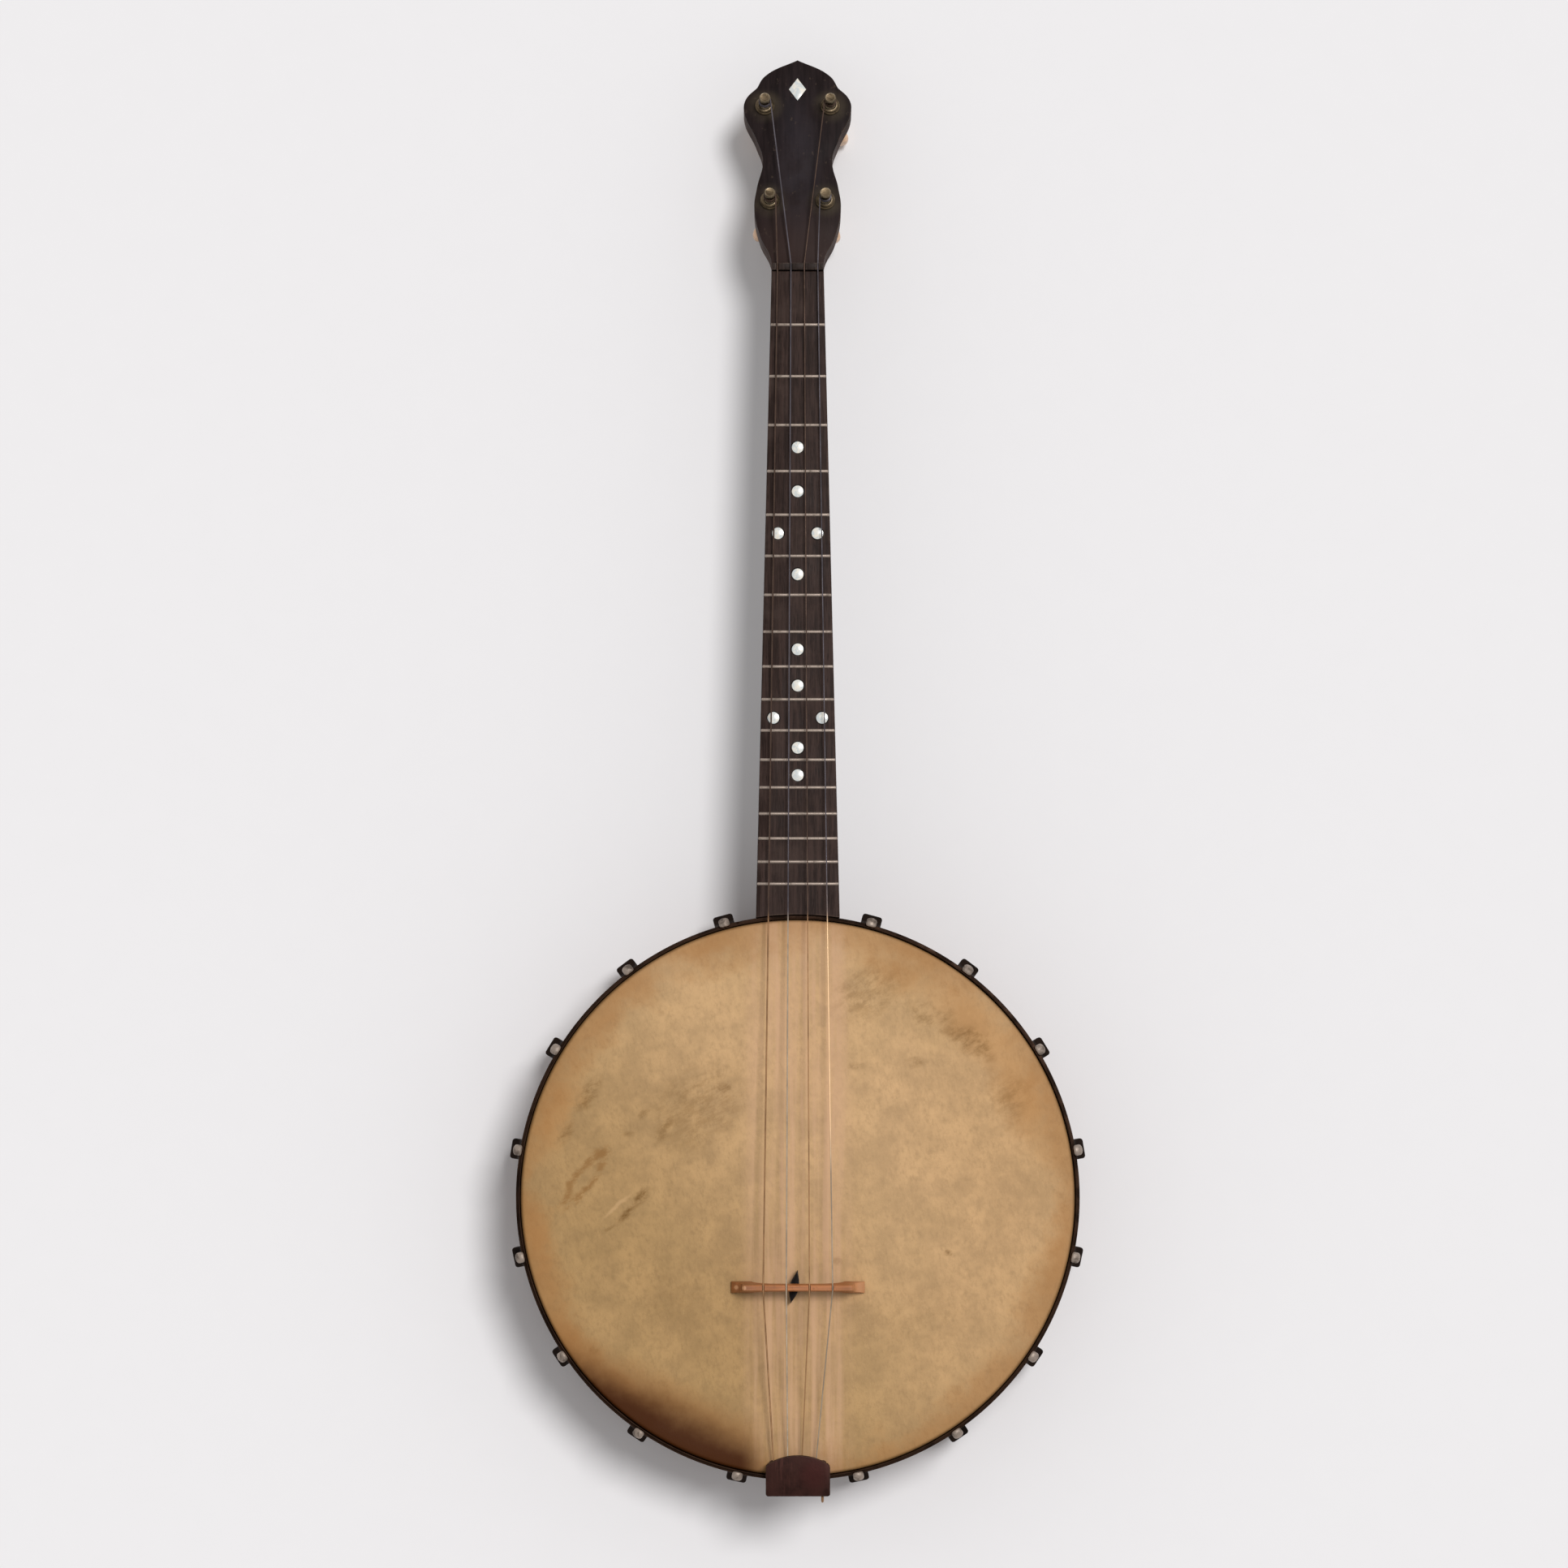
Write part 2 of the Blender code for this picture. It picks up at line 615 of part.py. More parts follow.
def shoe_mesh():
    """A shoe that lies on +X, with the bolt and nut that hold it to the rim."""
    foot = RIM_OUTER_RADIUS + GAP
    top = SHOE_BOTTOM + SHOE_HEIGHT
    lug_top = SHOE_BOTTOM + SHOE_LUG_HEIGHT
    outline = [
        (foot, SHOE_BOTTOM),
        (SHOE_REACH - SHOE_EDGE, SHOE_BOTTOM),
        (SHOE_REACH, SHOE_BOTTOM + SHOE_EDGE),
        (SHOE_REACH, lug_top - SHOE_EDGE),
        (SHOE_REACH - SHOE_EDGE, lug_top),
        (foot + SHOE_WIDTH / 2, lug_top + 0.12 * SHOE_HEIGHT),
        (foot + 2 * SHOE_WALL, top - SHOE_EDGE),
        (foot + SHOE_WALL, top),
        (foot, top),
    ]
    body = plate("body", outline, SHOE_WIDTH, turn=(pi / 2, 0, 0))
    body = place("body", baked(body))
    hook_hole = place(
        "hook_hole",
        rods(HOOK_ROD_RADIUS + GAP, 2 * SHOE_HEIGHT, [(HOOK_RADIUS, 0, lug_top)], sides=12),
    )
    corners = [
        place(
            "corner",
            block((2 * SHOE_CORNER_CUT, 2 * SHOE_CORNER_CUT, 2 * SHOE_HEIGHT)),
            at=(SHOE_REACH, side * SHOE_WIDTH / 2, lug_top),
            turn=(0, 0, pi / 4),
        )
        for side in (1, -1)
    ]
    bolt_end = inside_rim(SHOE_BOLT_NUT_RADIUS) - SHOE_BOLT_NUT_THICKNESS
    bolt_start = foot + SHOE_EDGE
    bolt = place(
        "bolt",
        rods(
            SHOE_BOLT_RADIUS,
            bolt_start - bolt_end,
            [((bolt_start + bolt_end) / 2, 0, SHOE_BOLT_HEIGHT)],
            "X",
            10,
        ),
    )
    bolt_nut = place(
        "bolt_nut",
        rods(
            SHOE_BOLT_NUT_RADIUS,
            SHOE_BOLT_NUT_THICKNESS,
            [(bolt_end + SHOE_BOLT_NUT_THICKNESS / 2, 0, SHOE_BOLT_HEIGHT)],
            "X",
            6,
        ),
    )
    cut(body, hook_hole, *corners)
    return smooth(baked(join(body, bolt, bolt_nut)))


def make_brackets(pot):
    hook = hook_mesh()
    shoe = shoe_mesh()
    for number, angle in enumerate(bracket_angles(), 1):
        turn = (0, 0, angle)
        place(f"bracket_hook_{number:02}", hook, "grey_metal", pot, turn=turn)
        place(f"bracket_shoe_{number:02}", shoe, "dark_metal", pot, turn=turn)


def make_dowel_stick(pot):
    front = RIM_OUTER_RADIUS + DOWEL_TENON
    back = -inside_rim(DOWEL_TAIL_WIDTH / 2)
    mesh = block(
        (DOWEL_WIDTH, front - back, DOWEL_THICKNESS), (0, (front + back) / 2, DOWEL_HEIGHT)
    )
    for vertex in mesh.vertices:
        if vertex.co.y < 0:
            vertex.co.x *= DOWEL_TAIL_WIDTH / DOWEL_WIDTH
    dowel = place("dowel_stick", mesh, "dowel_wood", pot)
    bolt_hole = rods(
        TAIL_BOLT_RADIUS + GAP, 2 * TAIL_BOLT_REACH + 2 * GAP, [(0, back, DOWEL_HEIGHT)], "Y"
    )
    return cut(dowel, place("dowel_bolt_hole", bolt_hole, parent=pot))


def make_neck_brace(pot):
    base_top = DOWEL_HEIGHT - DOWEL_THICKNESS / 2 - GAP
    base_bottom = base_top - BRACE_THICKNESS
    rim_side = inside_rim(BRACE_BOLT_RADIUS)
    lug_y = rim_side - BRACE_LUG_SETBACK
    base = block(
        (BRACE_WIDTH, BRACE_LENGTH, BRACE_THICKNESS),
        (0, lug_y - BRACE_LENGTH / 2, (base_top + base_bottom) / 2),
    )
    lug = block(
        (BRACE_WIDTH, 2 * BRACE_THICKNESS, BRACE_LUG_HEIGHT),
        (0, lug_y - BRACE_THICKNESS, base_top - BRACE_LUG_HEIGHT / 2),
    )
    bolt_height = base_top - BRACE_LUG_HEIGHT / 2 - BRACE_THICKNESS / 2
    bolt_start = lug_y - 4 * BRACE_THICKNESS
    bolt = rods(
        BRACE_BOLT_RADIUS,
        rim_side - bolt_start,
        [(0, (rim_side + bolt_start) / 2, bolt_height)],
        "Y",
        12,
    )
    head = rods(
        2 * BRACE_BOLT_RADIUS,
        2 * BRACE_THICKNESS,
        [(0, rim_side - 2 * BRACE_THICKNESS, bolt_height)],
        "Y",
        6,
    )
    screw_places = [lug_y - share * BRACE_LENGTH for share in BRACE_SCREW_PLACES]
    screws = rods(
        BRACE_SCREW_RADIUS,
        BRACE_THICKNESS,
        [(0, y, base_bottom) for y in screw_places],
        sides=12,
    )
    brace = place("neck_brace", base, "grey_metal", pot)
    return join(
        brace,
        place("brace_lug", lug, parent=pot),
        place("brace_bolt", bolt, parent=pot),
        place("brace_bolt_head", head, parent=pot),
        place("brace_screws", screws, parent=pot),
    )


# Neck


def shaft_depth(y):
    share = (y - HOOP_OUTER_RADIUS) / NECK_FREE_LENGTH
    return NECK_DEPTH_AT_HEEL + (NECK_DEPTH_AT_NUT - NECK_DEPTH_AT_HEEL) * share


def shaft_top(y):
    return board_top(y) - BOARD_THICKNESS - GAP


def neck_section(y):
    """Half width, top and bottom of the neck at a distance from the pot's middle."""
    top = shaft_top(y)
    if y <= NUT_Y:
        heel_share = (RIM_OUTER_RADIUS + HEEL_LENGTH - y) / (HEEL_LENGTH - HEEL_FOOT)
        heel_share = min(max(heel_share, 0.0), 1.0)
        depth = shaft_depth(y)
        depth += (top - HEEL_BOTTOM - depth) * heel_share**HEEL_CURVE
        return board_half_width(y), top, top - depth
    share = (y - NUT_Y) / VOLUTE_LENGTH
    seat_end = NUT_Y + NUT_THICKNESS + GAP
    slab_top = headstock_height(y, -OVERLAY_THICKNESS - GAP)
    slab_bottom = headstock_height(y, -OVERLAY_THICKNESS - GAP - HEADSTOCK_THICKNESS)
    shaft_bottom = shaft_top(NUT_Y) - shaft_depth(NUT_Y)
    bottom = min(shaft_bottom + (slab_bottom - shaft_bottom) * share, shaft_bottom)
    if y > seat_end:
        top = min(top, slab_top - 0.001)
    return board_half_width(NUT_Y) * (1 - 0.25 * share), top, bottom


def headstock_height(y, above_face):
    """World height of a plane that lies this far above the headstock's face."""
    face = board_top(NUT_Y) - HEADSTOCK_FACE_DROP - tan(HEADSTOCK_TILT) * (y - NUT_Y)
    return face + above_face / cos(HEADSTOCK_TILT)


def neck_stations():
    start = RIM_OUTER_RADIUS - RIM_WALL
    heel_foot = RIM_OUTER_RADIUS + HEEL_FOOT
    heel_end = RIM_OUTER_RADIUS + HEEL_LENGTH
    seat_end = NUT_Y + NUT_THICKNESS + GAP
    heel_steps = 8
    heel = [heel_foot + (heel_end - heel_foot) * i / heel_steps for i in range(heel_steps + 1)]
    volute_steps = 4
    volute_end = NUT_Y + VOLUTE_LENGTH
    volute = [seat_end + (volute_end - seat_end) * i / volute_steps for i in range(volute_steps + 1)]
    return [start, *heel, (heel_end + NUT_Y) / 2, NUT_Y, *volute]


def neck_blank():
    """Mesh of the heel and the shaft: a loft of flat-topped sections, from the pot to the nut."""
    mesh = bpy.data.meshes.new("neck_blank")
    shape = bmesh.new()
    rings = []
    for y in neck_stations():
        half_width, top, bottom = neck_section(y)
        ring = []
        for side in range(NECK_SIDES + 1):
            angle = pi * side / NECK_SIDES
            across = cos(angle)
            down = sin(angle)
            x = half_width * abs(across) ** (2 / NECK_ROUNDNESS) * (1 if across > 0 else -1)
            z = top - (top - bottom) * down ** (2 / NECK_ROUNDNESS)
            ring.append(shape.verts.new((x, y, z)))
        rings.append(ring)
    for near, far in zip(rings, rings[1:]):
        for i in range(len(near)):
            j = (i + 1) % len(near)
            shape.faces.new((near[i], near[j], far[j], far[i]))
    shape.faces.new(rings[0])
    shape.faces.new(rings[-1])
    bmesh.ops.recalc_face_normals(shape, faces=shape.faces)
    shape.to_mesh(mesh)
    shape.free()
    return mesh


def headstock_outline():
    """Right half of the headstock, tip first: (across, along, is_corner)."""
    length = HEADSTOCK_LENGTH
    half_nut = NUT_WIDTH / 2
    return [
        (0, length, True),
        (0.82 * SHOULDER_HALF_WIDTH, length - 0.0092, False),
        (SHOULDER_HALF_WIDTH, length - 0.0154, True),
        (0.97 * UPPER_LOBE_HALF_WIDTH, length - 0.0221, False),
        (UPPER_LOBE_HALF_WIDTH, length - 0.0284, False),
        (1.2 * WAIST_HALF_WIDTH, length - 0.0436, False),
        (WAIST_HALF_WIDTH, length - 0.0556, False),
        (0.94 * LOWER_LOBE_HALF_WIDTH, length - 0.0708, False),
        (LOWER_LOBE_HALF_WIDTH, length - 0.0817, False),
        (0.86 * LOWER_LOBE_HALF_WIDTH, length - 0.0978, False),
        (1.03 * half_nut, length - 0.1096, False),
        (half_nut, NUT_THICKNESS, True),
    ]


def pot_cutter(pot, name):
    """A solid that fills the pot: the rim's radius below the flesh hoop, the hoop's above it."""
    above = HOOP_OUTER_RADIUS + GAP
    below = RIM_OUTER_RADIUS + GAP
    step_height = FLESH_HOOP_BOTTOM - 2 * GAP
    top = 2 * HOOP_TOP
    bottom = -RIM_HEIGHT / 2
    profile = [
        (0, top),
        (above, top),
        (above, step_height),
        (below, step_height),
        (below, bottom),
        (0, bottom),
    ]
    return turned(name, profile, parent=pot)


def nut_seat(pot, name):
    """A cutter that squares off the headstock behind the nut."""
    reach = NUT_WIDTH
    bottom = shaft_top(NUT_Y)
    back = NUT_Y + NUT_THICKNESS + GAP
    size = (2 * NUT_WIDTH, reach, reach)
    seat = block(size, (0, back - reach / 2, bottom + reach / 2))
    return place(name, seat, parent=pot)


def peg_places():
    """Name and place of each peg, as (name, across, along)."""
    for row, (across, along) in (("upper", UPPER_PEG_PLACE), ("lower", LOWER_PEG_PLACE)):
        for side, sign in (("left", -1), ("right", 1)):
            yield f"{row}_{side}", sign * across, along


def peg_bores(face, name):
    depth = 4 * (HEADSTOCK_THICKNESS + OVERLAY_THICKNESS)
    bores = rods(PEG_BORE_RADIUS, depth, [(x, y, 0) for _, x, y in peg_places()], sides=16)
    return place(name, bores, parent=face)


def make_neck(pot, face):
    slab_depth = OVERLAY_THICKNESS + GAP + HEADSTOCK_THICKNESS / 2
    slab = rounded_plate(
        "slab", headstock_outline(), HEADSTOCK_THICKNESS, OUTLINE_RESOLUTION, at=(0, 0, -slab_depth)
    )
    slab = place("headstock_slab", baked(slab), parent=face)
    blank = neck_blank()
    neck = place("neck", blank, "neck_wood", pot)
    mortise = block(
        (DOWEL_WIDTH + 2 * GAP, 2 * DOWEL_TENON + 2 * GAP, DOWEL_THICKNESS + 2 * GAP),
        (0, RIM_OUTER_RADIUS, DOWEL_HEIGHT),
    )
    join(neck, slab)
    return cut(
        neck,
        pot_cutter(pot, "neck_pot_cut"),
        nut_seat(pot, "neck_nut_seat"),
        place("neck_mortise", mortise, parent=pot),
        peg_bores(face, "neck_peg_bores"),
    )


def make_fingerboard(pot):
    """The board lies in its own plane, whose origin is at the hoop on the board's face."""
    end = (NECK_FREE_LENGTH - GAP) / cos(NECK_PITCH)
    start = -BOARD_OVERLAP
    outline = [
        (board_half_width(HOOP_OUTER_RADIUS + start), start),
        (board_half_width(HOOP_OUTER_RADIUS + end), end),
        (-board_half_width(HOOP_OUTER_RADIUS + end), end),
        (-board_half_width(HOOP_OUTER_RADIUS + start), start),
    ]
    pot_end = (0, HOOP_OUTER_RADIUS, board_top(HOOP_OUTER_RADIUS))
    board_plane = empty("board_plane", pot, pot_end, (-NECK_PITCH, 0, 0))
    blank = plate("blank", outline, BOARD_THICKNESS, at=(0, 0, -BOARD_THICKNESS / 2))
    board = place("fingerboard", baked(blank), "board_wood", board_plane)
    frets = bpy.data.meshes.new("frets")
    shape = bmesh.new()
    for number in range(1, FRET_COUNT + 1):
        y = NUT_Y - SCALE_LENGTH * (1 - 2 ** (-number / 12))
        width = 2 * (board_half_width(y) - FRET_INSET)
        along = (y - HOOP_OUTER_RADIUS) / cos(NECK_PITCH)
        size = (width, FRET_WIDTH, 2 * FRET_HEIGHT, 1.0)
        matrix = Matrix.Translation((0, along, 0)) @ Matrix.Diagonal(size)
        bmesh.ops.create_cube(shape, size=1.0, matrix=matrix)
    shape.to_mesh(frets)
    shape.free()
    join(board, place("fret_wires", frets, parent=board_plane))
    return cut(board, pot_cutter(pot, "board_pot_cut"))


def make_headstock_overlay(pot, face):
    overlay = rounded_plate(
        "overlay",
        headstock_outline(),
        OVERLAY_THICKNESS,
        OUTLINE_RESOLUTION,
        at=(0, 0, -OVERLAY_THICKNESS / 2),
    )
    overlay = place("headstock_overlay", baked(overlay), "headstock_veneer", face)
    return cut(overlay, peg_bores(face, "overlay_peg_bores"), nut_seat(pot, "overlay_nut_seat"))


def make_nut(pot):
    bottom = shaft_top(NUT_Y) + GAP
    top = board_top(NUT_Y) + NUT_RISE
    body = block(
        (NUT_WIDTH, NUT_THICKNESS, top - bottom),
        (0, NUT_Y + NUT_THICKNESS / 2, (top + bottom) / 2),
    )
    nut = place("nut", body, "ebony", pot)
    slots = [
        place(
            f"nut_slot_{number + 1}",
            block(
                (2 * (radius + GAP), 4 * NUT_THICKNESS, 2 * (radius + GAP) + NUT_SLOT_ROOM),
                (
                    string_side(number, STRING_SPACING_AT_NUT),
                    NUT_Y,
                    board_top(NUT_Y) + STRING_HEIGHT_AT_NUT + NUT_SLOT_ROOM / 2,
                ),
            ),
            parent=pot,
        )
        for number, radius in enumerate(STRING_RADII)
    ]
    return cut(nut, *slots)


# Pegs


def peg_mesh():
    """A peg about its own +Z axis, with z = 0 on the headstock's face and its button behind."""
    washer_top = -(OVERLAY_THICKNESS + HEADSTOCK_THICKNESS + 2 * GAP)
    washer_bottom = washer_top - PEG_WASHER_THICKNESS
    button_middle = BUTTON_LENGTH / 2 - PEG_LENGTH_BEHIND
    collar_top = GAP + PEG_COLLAR_HEIGHT
    knob_bottom = PEG_POST_HEIGHT - PEG_KNOB_LENGTH
    profile = [
        (0, PEG_POST_HEIGHT),
        (PEG_KNOB_RADIUS - PEG_KNOB_EDGE, PEG_POST_HEIGHT),
        (PEG_KNOB_RADIUS, PEG_POST_HEIGHT - PEG_KNOB_EDGE),
        (PEG_KNOB_RADIUS, knob_bottom),
        (PEG_POST_RADIUS, knob_bottom),
        (PEG_POST_RADIUS, collar_top),
        (PEG_SHAFT_RADIUS, collar_top),
        (PEG_SHAFT_RADIUS, washer_top),
        (PEG_WASHER_RADIUS, washer_top),
        (PEG_WASHER_RADIUS, washer_bottom + PEG_WASHER_EDGE),
        (PEG_WASHER_RADIUS - PEG_WASHER_EDGE, washer_bottom),
        (PEG_STEM_RADIUS, washer_bottom),
        (PEG_STEM_RADIUS, button_middle),
        (0, button_middle),
    ]
    shaft = place("shaft", baked(turned("shaft", profile, steps=12)))
    button_shape = bpy.data.meshes.new("button")
    shape = bmesh.new()
    size = (BUTTON_WIDTH / 2, BUTTON_THICKNESS / 2, BUTTON_LENGTH / 2, 1.0)
    bmesh.ops.create_uvsphere(
        shape, u_segments=14, v_segments=7, radius=1.0, matrix=Matrix.Diagonal(size)
    )
    shape.to_mesh(button_shape)
    shape.free()
    button = place("button", button_shape, at=(0, 0, button_middle))
    return smooth(baked(join(shaft, button)))


def collar_mesh():
    """The ferrule that a post turns in, on the headstock's face."""
    top = GAP + PEG_COLLAR_HEIGHT
    profile = [
        (PEG_COLLAR_RADIUS - PEG_COLLAR_EDGE, top),
        (PEG_COLLAR_RADIUS, top - PEG_COLLAR_EDGE),
        (PEG_COLLAR_RADIUS, GAP),
        (PEG_BORE_RADIUS, GAP),
        (PEG_BORE_RADIUS, top),
    ]
    return smooth(baked(turned("collar", profile, steps=16)))


def make_pegs(face):
    peg = peg_mesh()
    collar = collar_mesh()
    for name, across, along in peg_places():
        turn = (0, 0, PEG_TURNS[name])
        place(f"peg_{name}", peg, "peg_brass", face, at=(across, along, 0), turn=turn)
        place(f"peg_collar_{name}", collar, "grey_metal", face, at=(across, along, 0))


# Strings and what carries them


def make_bridge(pot):
    half = BRIDGE_LENGTH / 2
    half_top = BRIDGE_TOP_LENGTH / 2
    foot_end = half - BRIDGE_FOOT_LENGTH
    right_half = [
        (half_top - BRIDGE_EDGE, BRIDGE_HEIGHT, True),
        (half_top, BRIDGE_HEIGHT - BRIDGE_EDGE, True),
        (half_top + BRIDGE_EDGE / 2, BRIDGE_ARCH_HEIGHT, False),
        (half - BRIDGE_EDGE, 3 * BRIDGE_EDGE, False),
        (half, BRIDGE_EDGE, True),
        (half, 0, True),
        (foot_end, 0, True),
        (foot_end - BRIDGE_EDGE, 3 * BRIDGE_EDGE, False),
        (foot_end - 7 * BRIDGE_EDGE, BRIDGE_ARCH_HEIGHT - BRIDGE_EDGE, False),
        (foot_end / 3, BRIDGE_ARCH_HEIGHT, False),
    ]
    blank = rounded_plate("blank", right_half, BRIDGE_FOOT_THICKNESS, 3, turn=(pi / 2, 0, 0))
    mesh = baked(blank)
    for vertex in mesh.vertices:
        share = vertex.co.z / BRIDGE_HEIGHT
        thickness = BRIDGE_FOOT_THICKNESS + (BRIDGE_TOP_THICKNESS - BRIDGE_FOOT_THICKNESS) * share
        vertex.co.y *= thickness / BRIDGE_FOOT_THICKNESS
    bridge = place("bridge", mesh, "maple", pot, at=(0, BRIDGE_Y, SKIN_TOP + GAP))
    slots = [
        place(
            f"bridge_slot_{number + 1}",
            block(
                (2 * (radius + GAP), 2 * BRIDGE_FOOT_THICKNESS, 2 * BRIDGE_SLOT_DEPTH),
                (string_side(number, STRING_SPACING_AT_BRIDGE), BRIDGE_Y, BRIDGE_TOP),
            ),
            parent=pot,
        )
        for number, radius in enumerate(STRING_RADII)
    ]
    return cut(bridge, *slots)


def make_mute_wedge(pot):
    """A leaf-shaped wedge that stands on the skin and reaches up into the bridge's arch."""
    half_length = WEDGE_LENGTH / 2
    half_width = WEDGE_WIDTH / 2
    right_half = [
        (0, half_length, True),
        (half_width, -0.1 * half_length, False),
        (0, -half_length, True),
    ]
    height = BRIDGE_ARCH_HEIGHT - 2 * GAP
    blank = rounded_plate("blank", right_half, height, 5)
    return place(
        "mute_wedge",
        baked(blank),
        "ebony",
        pot,
        at=(WEDGE_PLACE[0], BRIDGE_Y + WEDGE_PLACE[1], SKIN_TOP + GAP + height / 2),
        turn=(0, 0, WEDGE_TURN),
    )


def tail_loop(number, radius):
    """The string's loop round its post: it starts at the free end and leaves along the left side."""
    side = string_side(number, STRING_SPACING_AT_TAIL)
    loop_radius = TAIL_POST_RADIUS + GAP + radius
    flat = arc((side, TAIL_POST_Y), loop_radius, radians(450), radians(180), 8)
    return [Vector((x, y, TAIL_STRING_Z)) for x, y in flat]


def winding(across, along, start, radius):
    """The string from the nut to its post and round it, in the headstock's own space."""
    sign = 1 if across > 0 else -1
    reach = PEG_POST_RADIUS + GAP + radius
    middle = Vector((abs(across), along))
    entry = Vector((sign * start.x, start.y))
    offset = middle - entry
    distance = offset.length
    heading = atan2(offset.y, offset.x) + asin(reach / distance)
    length = (distance**2 - reach**2) ** 0.5
    touch = entry + length * Vector((cos(heading), sin(heading)))
    first = atan2(touch.y - middle.y, touch.x - middle.x)
    points = []
    total = round(WINDING_TURNS * WINDING_POINTS)
    for step in range(total + 1):
        angle = first - tau * step / WINDING_POINTS
        x = middle.x + reach * cos(angle)
        y = middle.y + reach * sin(angle)
        z = WINDING_TOP - WINDING_PITCH * step / WINDING_POINTS
        points.append(Vector((sign * x, y, z)))
    return points


def make_strings(pot, face):
    pegs = {name: (across, along) for name, across, along in peg_places()}
    order = ("lower_left", "upper_left", "upper_right", "lower_right")
    to_face = face.matrix_local.inverted()
    for number, (peg, radius) in enumerate(zip(order, STRING_RADII)):
        over_bridge = [
            Vector(
                (
                    string_side(number, STRING_SPACING_AT_BRIDGE),
                    BRIDGE_Y + side * BRIDGE_TOP_THICKNESS / 2,
                    BRIDGE_TOP - BRIDGE_SLOT_DEPTH + GAP + radius,
                )
            )
            for side in (-1, 1)
        ]
        nut_height = board_top(NUT_Y) + STRING_HEIGHT_AT_NUT
        nut_side = string_side(number, STRING_SPACING_AT_NUT)
        nut_points = [
            Vector((nut_side, NUT_Y, nut_height)),
            Vector((nut_side, NUT_Y + NUT_THICKNESS, nut_height - STRING_FALL_OVER_NUT)),
        ]
        wound = winding(*pegs[peg], to_face @ nut_points[-1], radius)
        points = [
            *tail_loop(number, radius),
            *over_bridge,
            *nut_points,
            *[face.matrix_local @ point for point in wound],
        ]
        wire(f"string_{number + 1}", points, radius, "string_steel", pot)


# Tailpiece


def bent_strip(name, path, width, parent):
    """A strip of sheet across X, whose outer side follows (y, z) points from the top down."""
    mesh = bpy.data.meshes.new(name)
    shape = bmesh.new()
    rows = [
        [shape.verts.new((side * width / 2, y, z)) for side in (-1, 1)] for y, z in path
    ]
    for near, far in zip(rows, rows[1:]):
        shape.faces.new((near[0], near[1], far[1], far[0]))
    shape.to_mesh(mesh)
    shape.free()
    strip = place(name, mesh, parent=parent)
    solid = strip.modifiers.new("thickness", "SOLIDIFY")
    solid.thickness = TAIL_PLATE_THICKNESS
    solid.offset = 1
    solid.use_even_offset = True
    return strip


def make_tailpiece_base(pot):
    front = HANGER_OUTER_Y + TAIL_PLATE_LENGTH
    plate_middle = (front + HANGER_OUTER_Y) / 2
    top = block(
        (TAIL_PLATE_WIDTH, TAIL_PLATE_LENGTH, TAIL_PLATE_THICKNESS),
        (0, plate_middle, TAIL_PLATE_BOTTOM + TAIL_PLATE_THICKNESS / 2),
    )
    base = place("tailpiece_base", top, "tail_metal", pot)
    outer_low = HANGER_INNER_Y - TAIL_PLATE_THICKNESS
    path = [
        (HANGER_OUTER_Y + 3 * TAIL_PLATE_THICKNESS, TAIL_PLATE_TOP),
        (HANGER_OUTER_Y, TAIL_PLATE_TOP),
        (HANGER_OUTER_Y, FLESH_HOOP_BOTTOM - TAIL_PLATE_THICKNESS),
        (outer_low, FLESH_HOOP_BOTTOM - 5 * TAIL_PLATE_THICKNESS),
        (outer_low, TAIL_PLATE_TOP - HANGER_LENGTH),
    ]
    hanger = bent_strip("hanger", path, HANGER_WIDTH, pot)
    hanger_hole = rods(
        TAIL_BOLT_RADIUS + GAP, 2 * RIM_WALL, [(0, HANGER_INNER_Y, DOWEL_HEIGHT)], "Y"
    )
    hanger = place("tail_hanger", baked(hanger), parent=pot)
    post_bottom = TAIL_PLATE_TOP - TAIL_PLATE_THICKNESS / 2
    post_top = TAIL_PLATE_TOP + TAIL_POST_HEIGHT
    post_middle = (post_top + post_bottom) / 2
    posts = rods(
        TAIL_POST_RADIUS,
        post_top - post_bottom,
        [
            (string_side(number, STRING_SPACING_AT_TAIL), TAIL_POST_Y, post_middle)
            for number in range(len(STRING_RADII))
        ],
        sides=10,
    )
    ear_middle = HINGE_BARREL_LENGTH / 2 + GAP + HINGE_EAR_WIDTH / 2
    ears = rods(
        HINGE_KNUCKLE_RADIUS,
        HINGE_EAR_WIDTH,
        [(side * ear_middle, HINGE_Y, HINGE_Z) for side in (-1, 1)],
        "X",
    )
    web_front = HANGER_OUTER_Y + TAIL_PLATE_THICKNESS
    webs = [
        place(
            f"ear_web_{number}",
            block(
                (HINGE_EAR_WIDTH, web_front - HINGE_Y, TAIL_PLATE_THICKNESS),
                (
                    side * ear_middle,
                    (web_front + HINGE_Y) / 2,
                    TAIL_PLATE_BOTTOM + TAIL_PLATE_THICKNESS / 2,
                ),
            ),
            parent=pot,
        )
        for number, side in enumerate((-1, 1), 1)
    ]
    join(
        base,
        hanger,
        place("tail_posts", posts, parent=pot),
        *webs,
        place("tail_ears", ears, parent=pot),
    )
    return cut(
        base,
        place("hanger_hole", hanger_hole, parent=pot),
        place(
            "ear_bores",
            rods(HINGE_PIN_RADIUS + GAP, 2 * COVER_WIDTH, [(0, HINGE_Y, HINGE_Z)], "X", 12),
            parent=pot,
        ),
    )


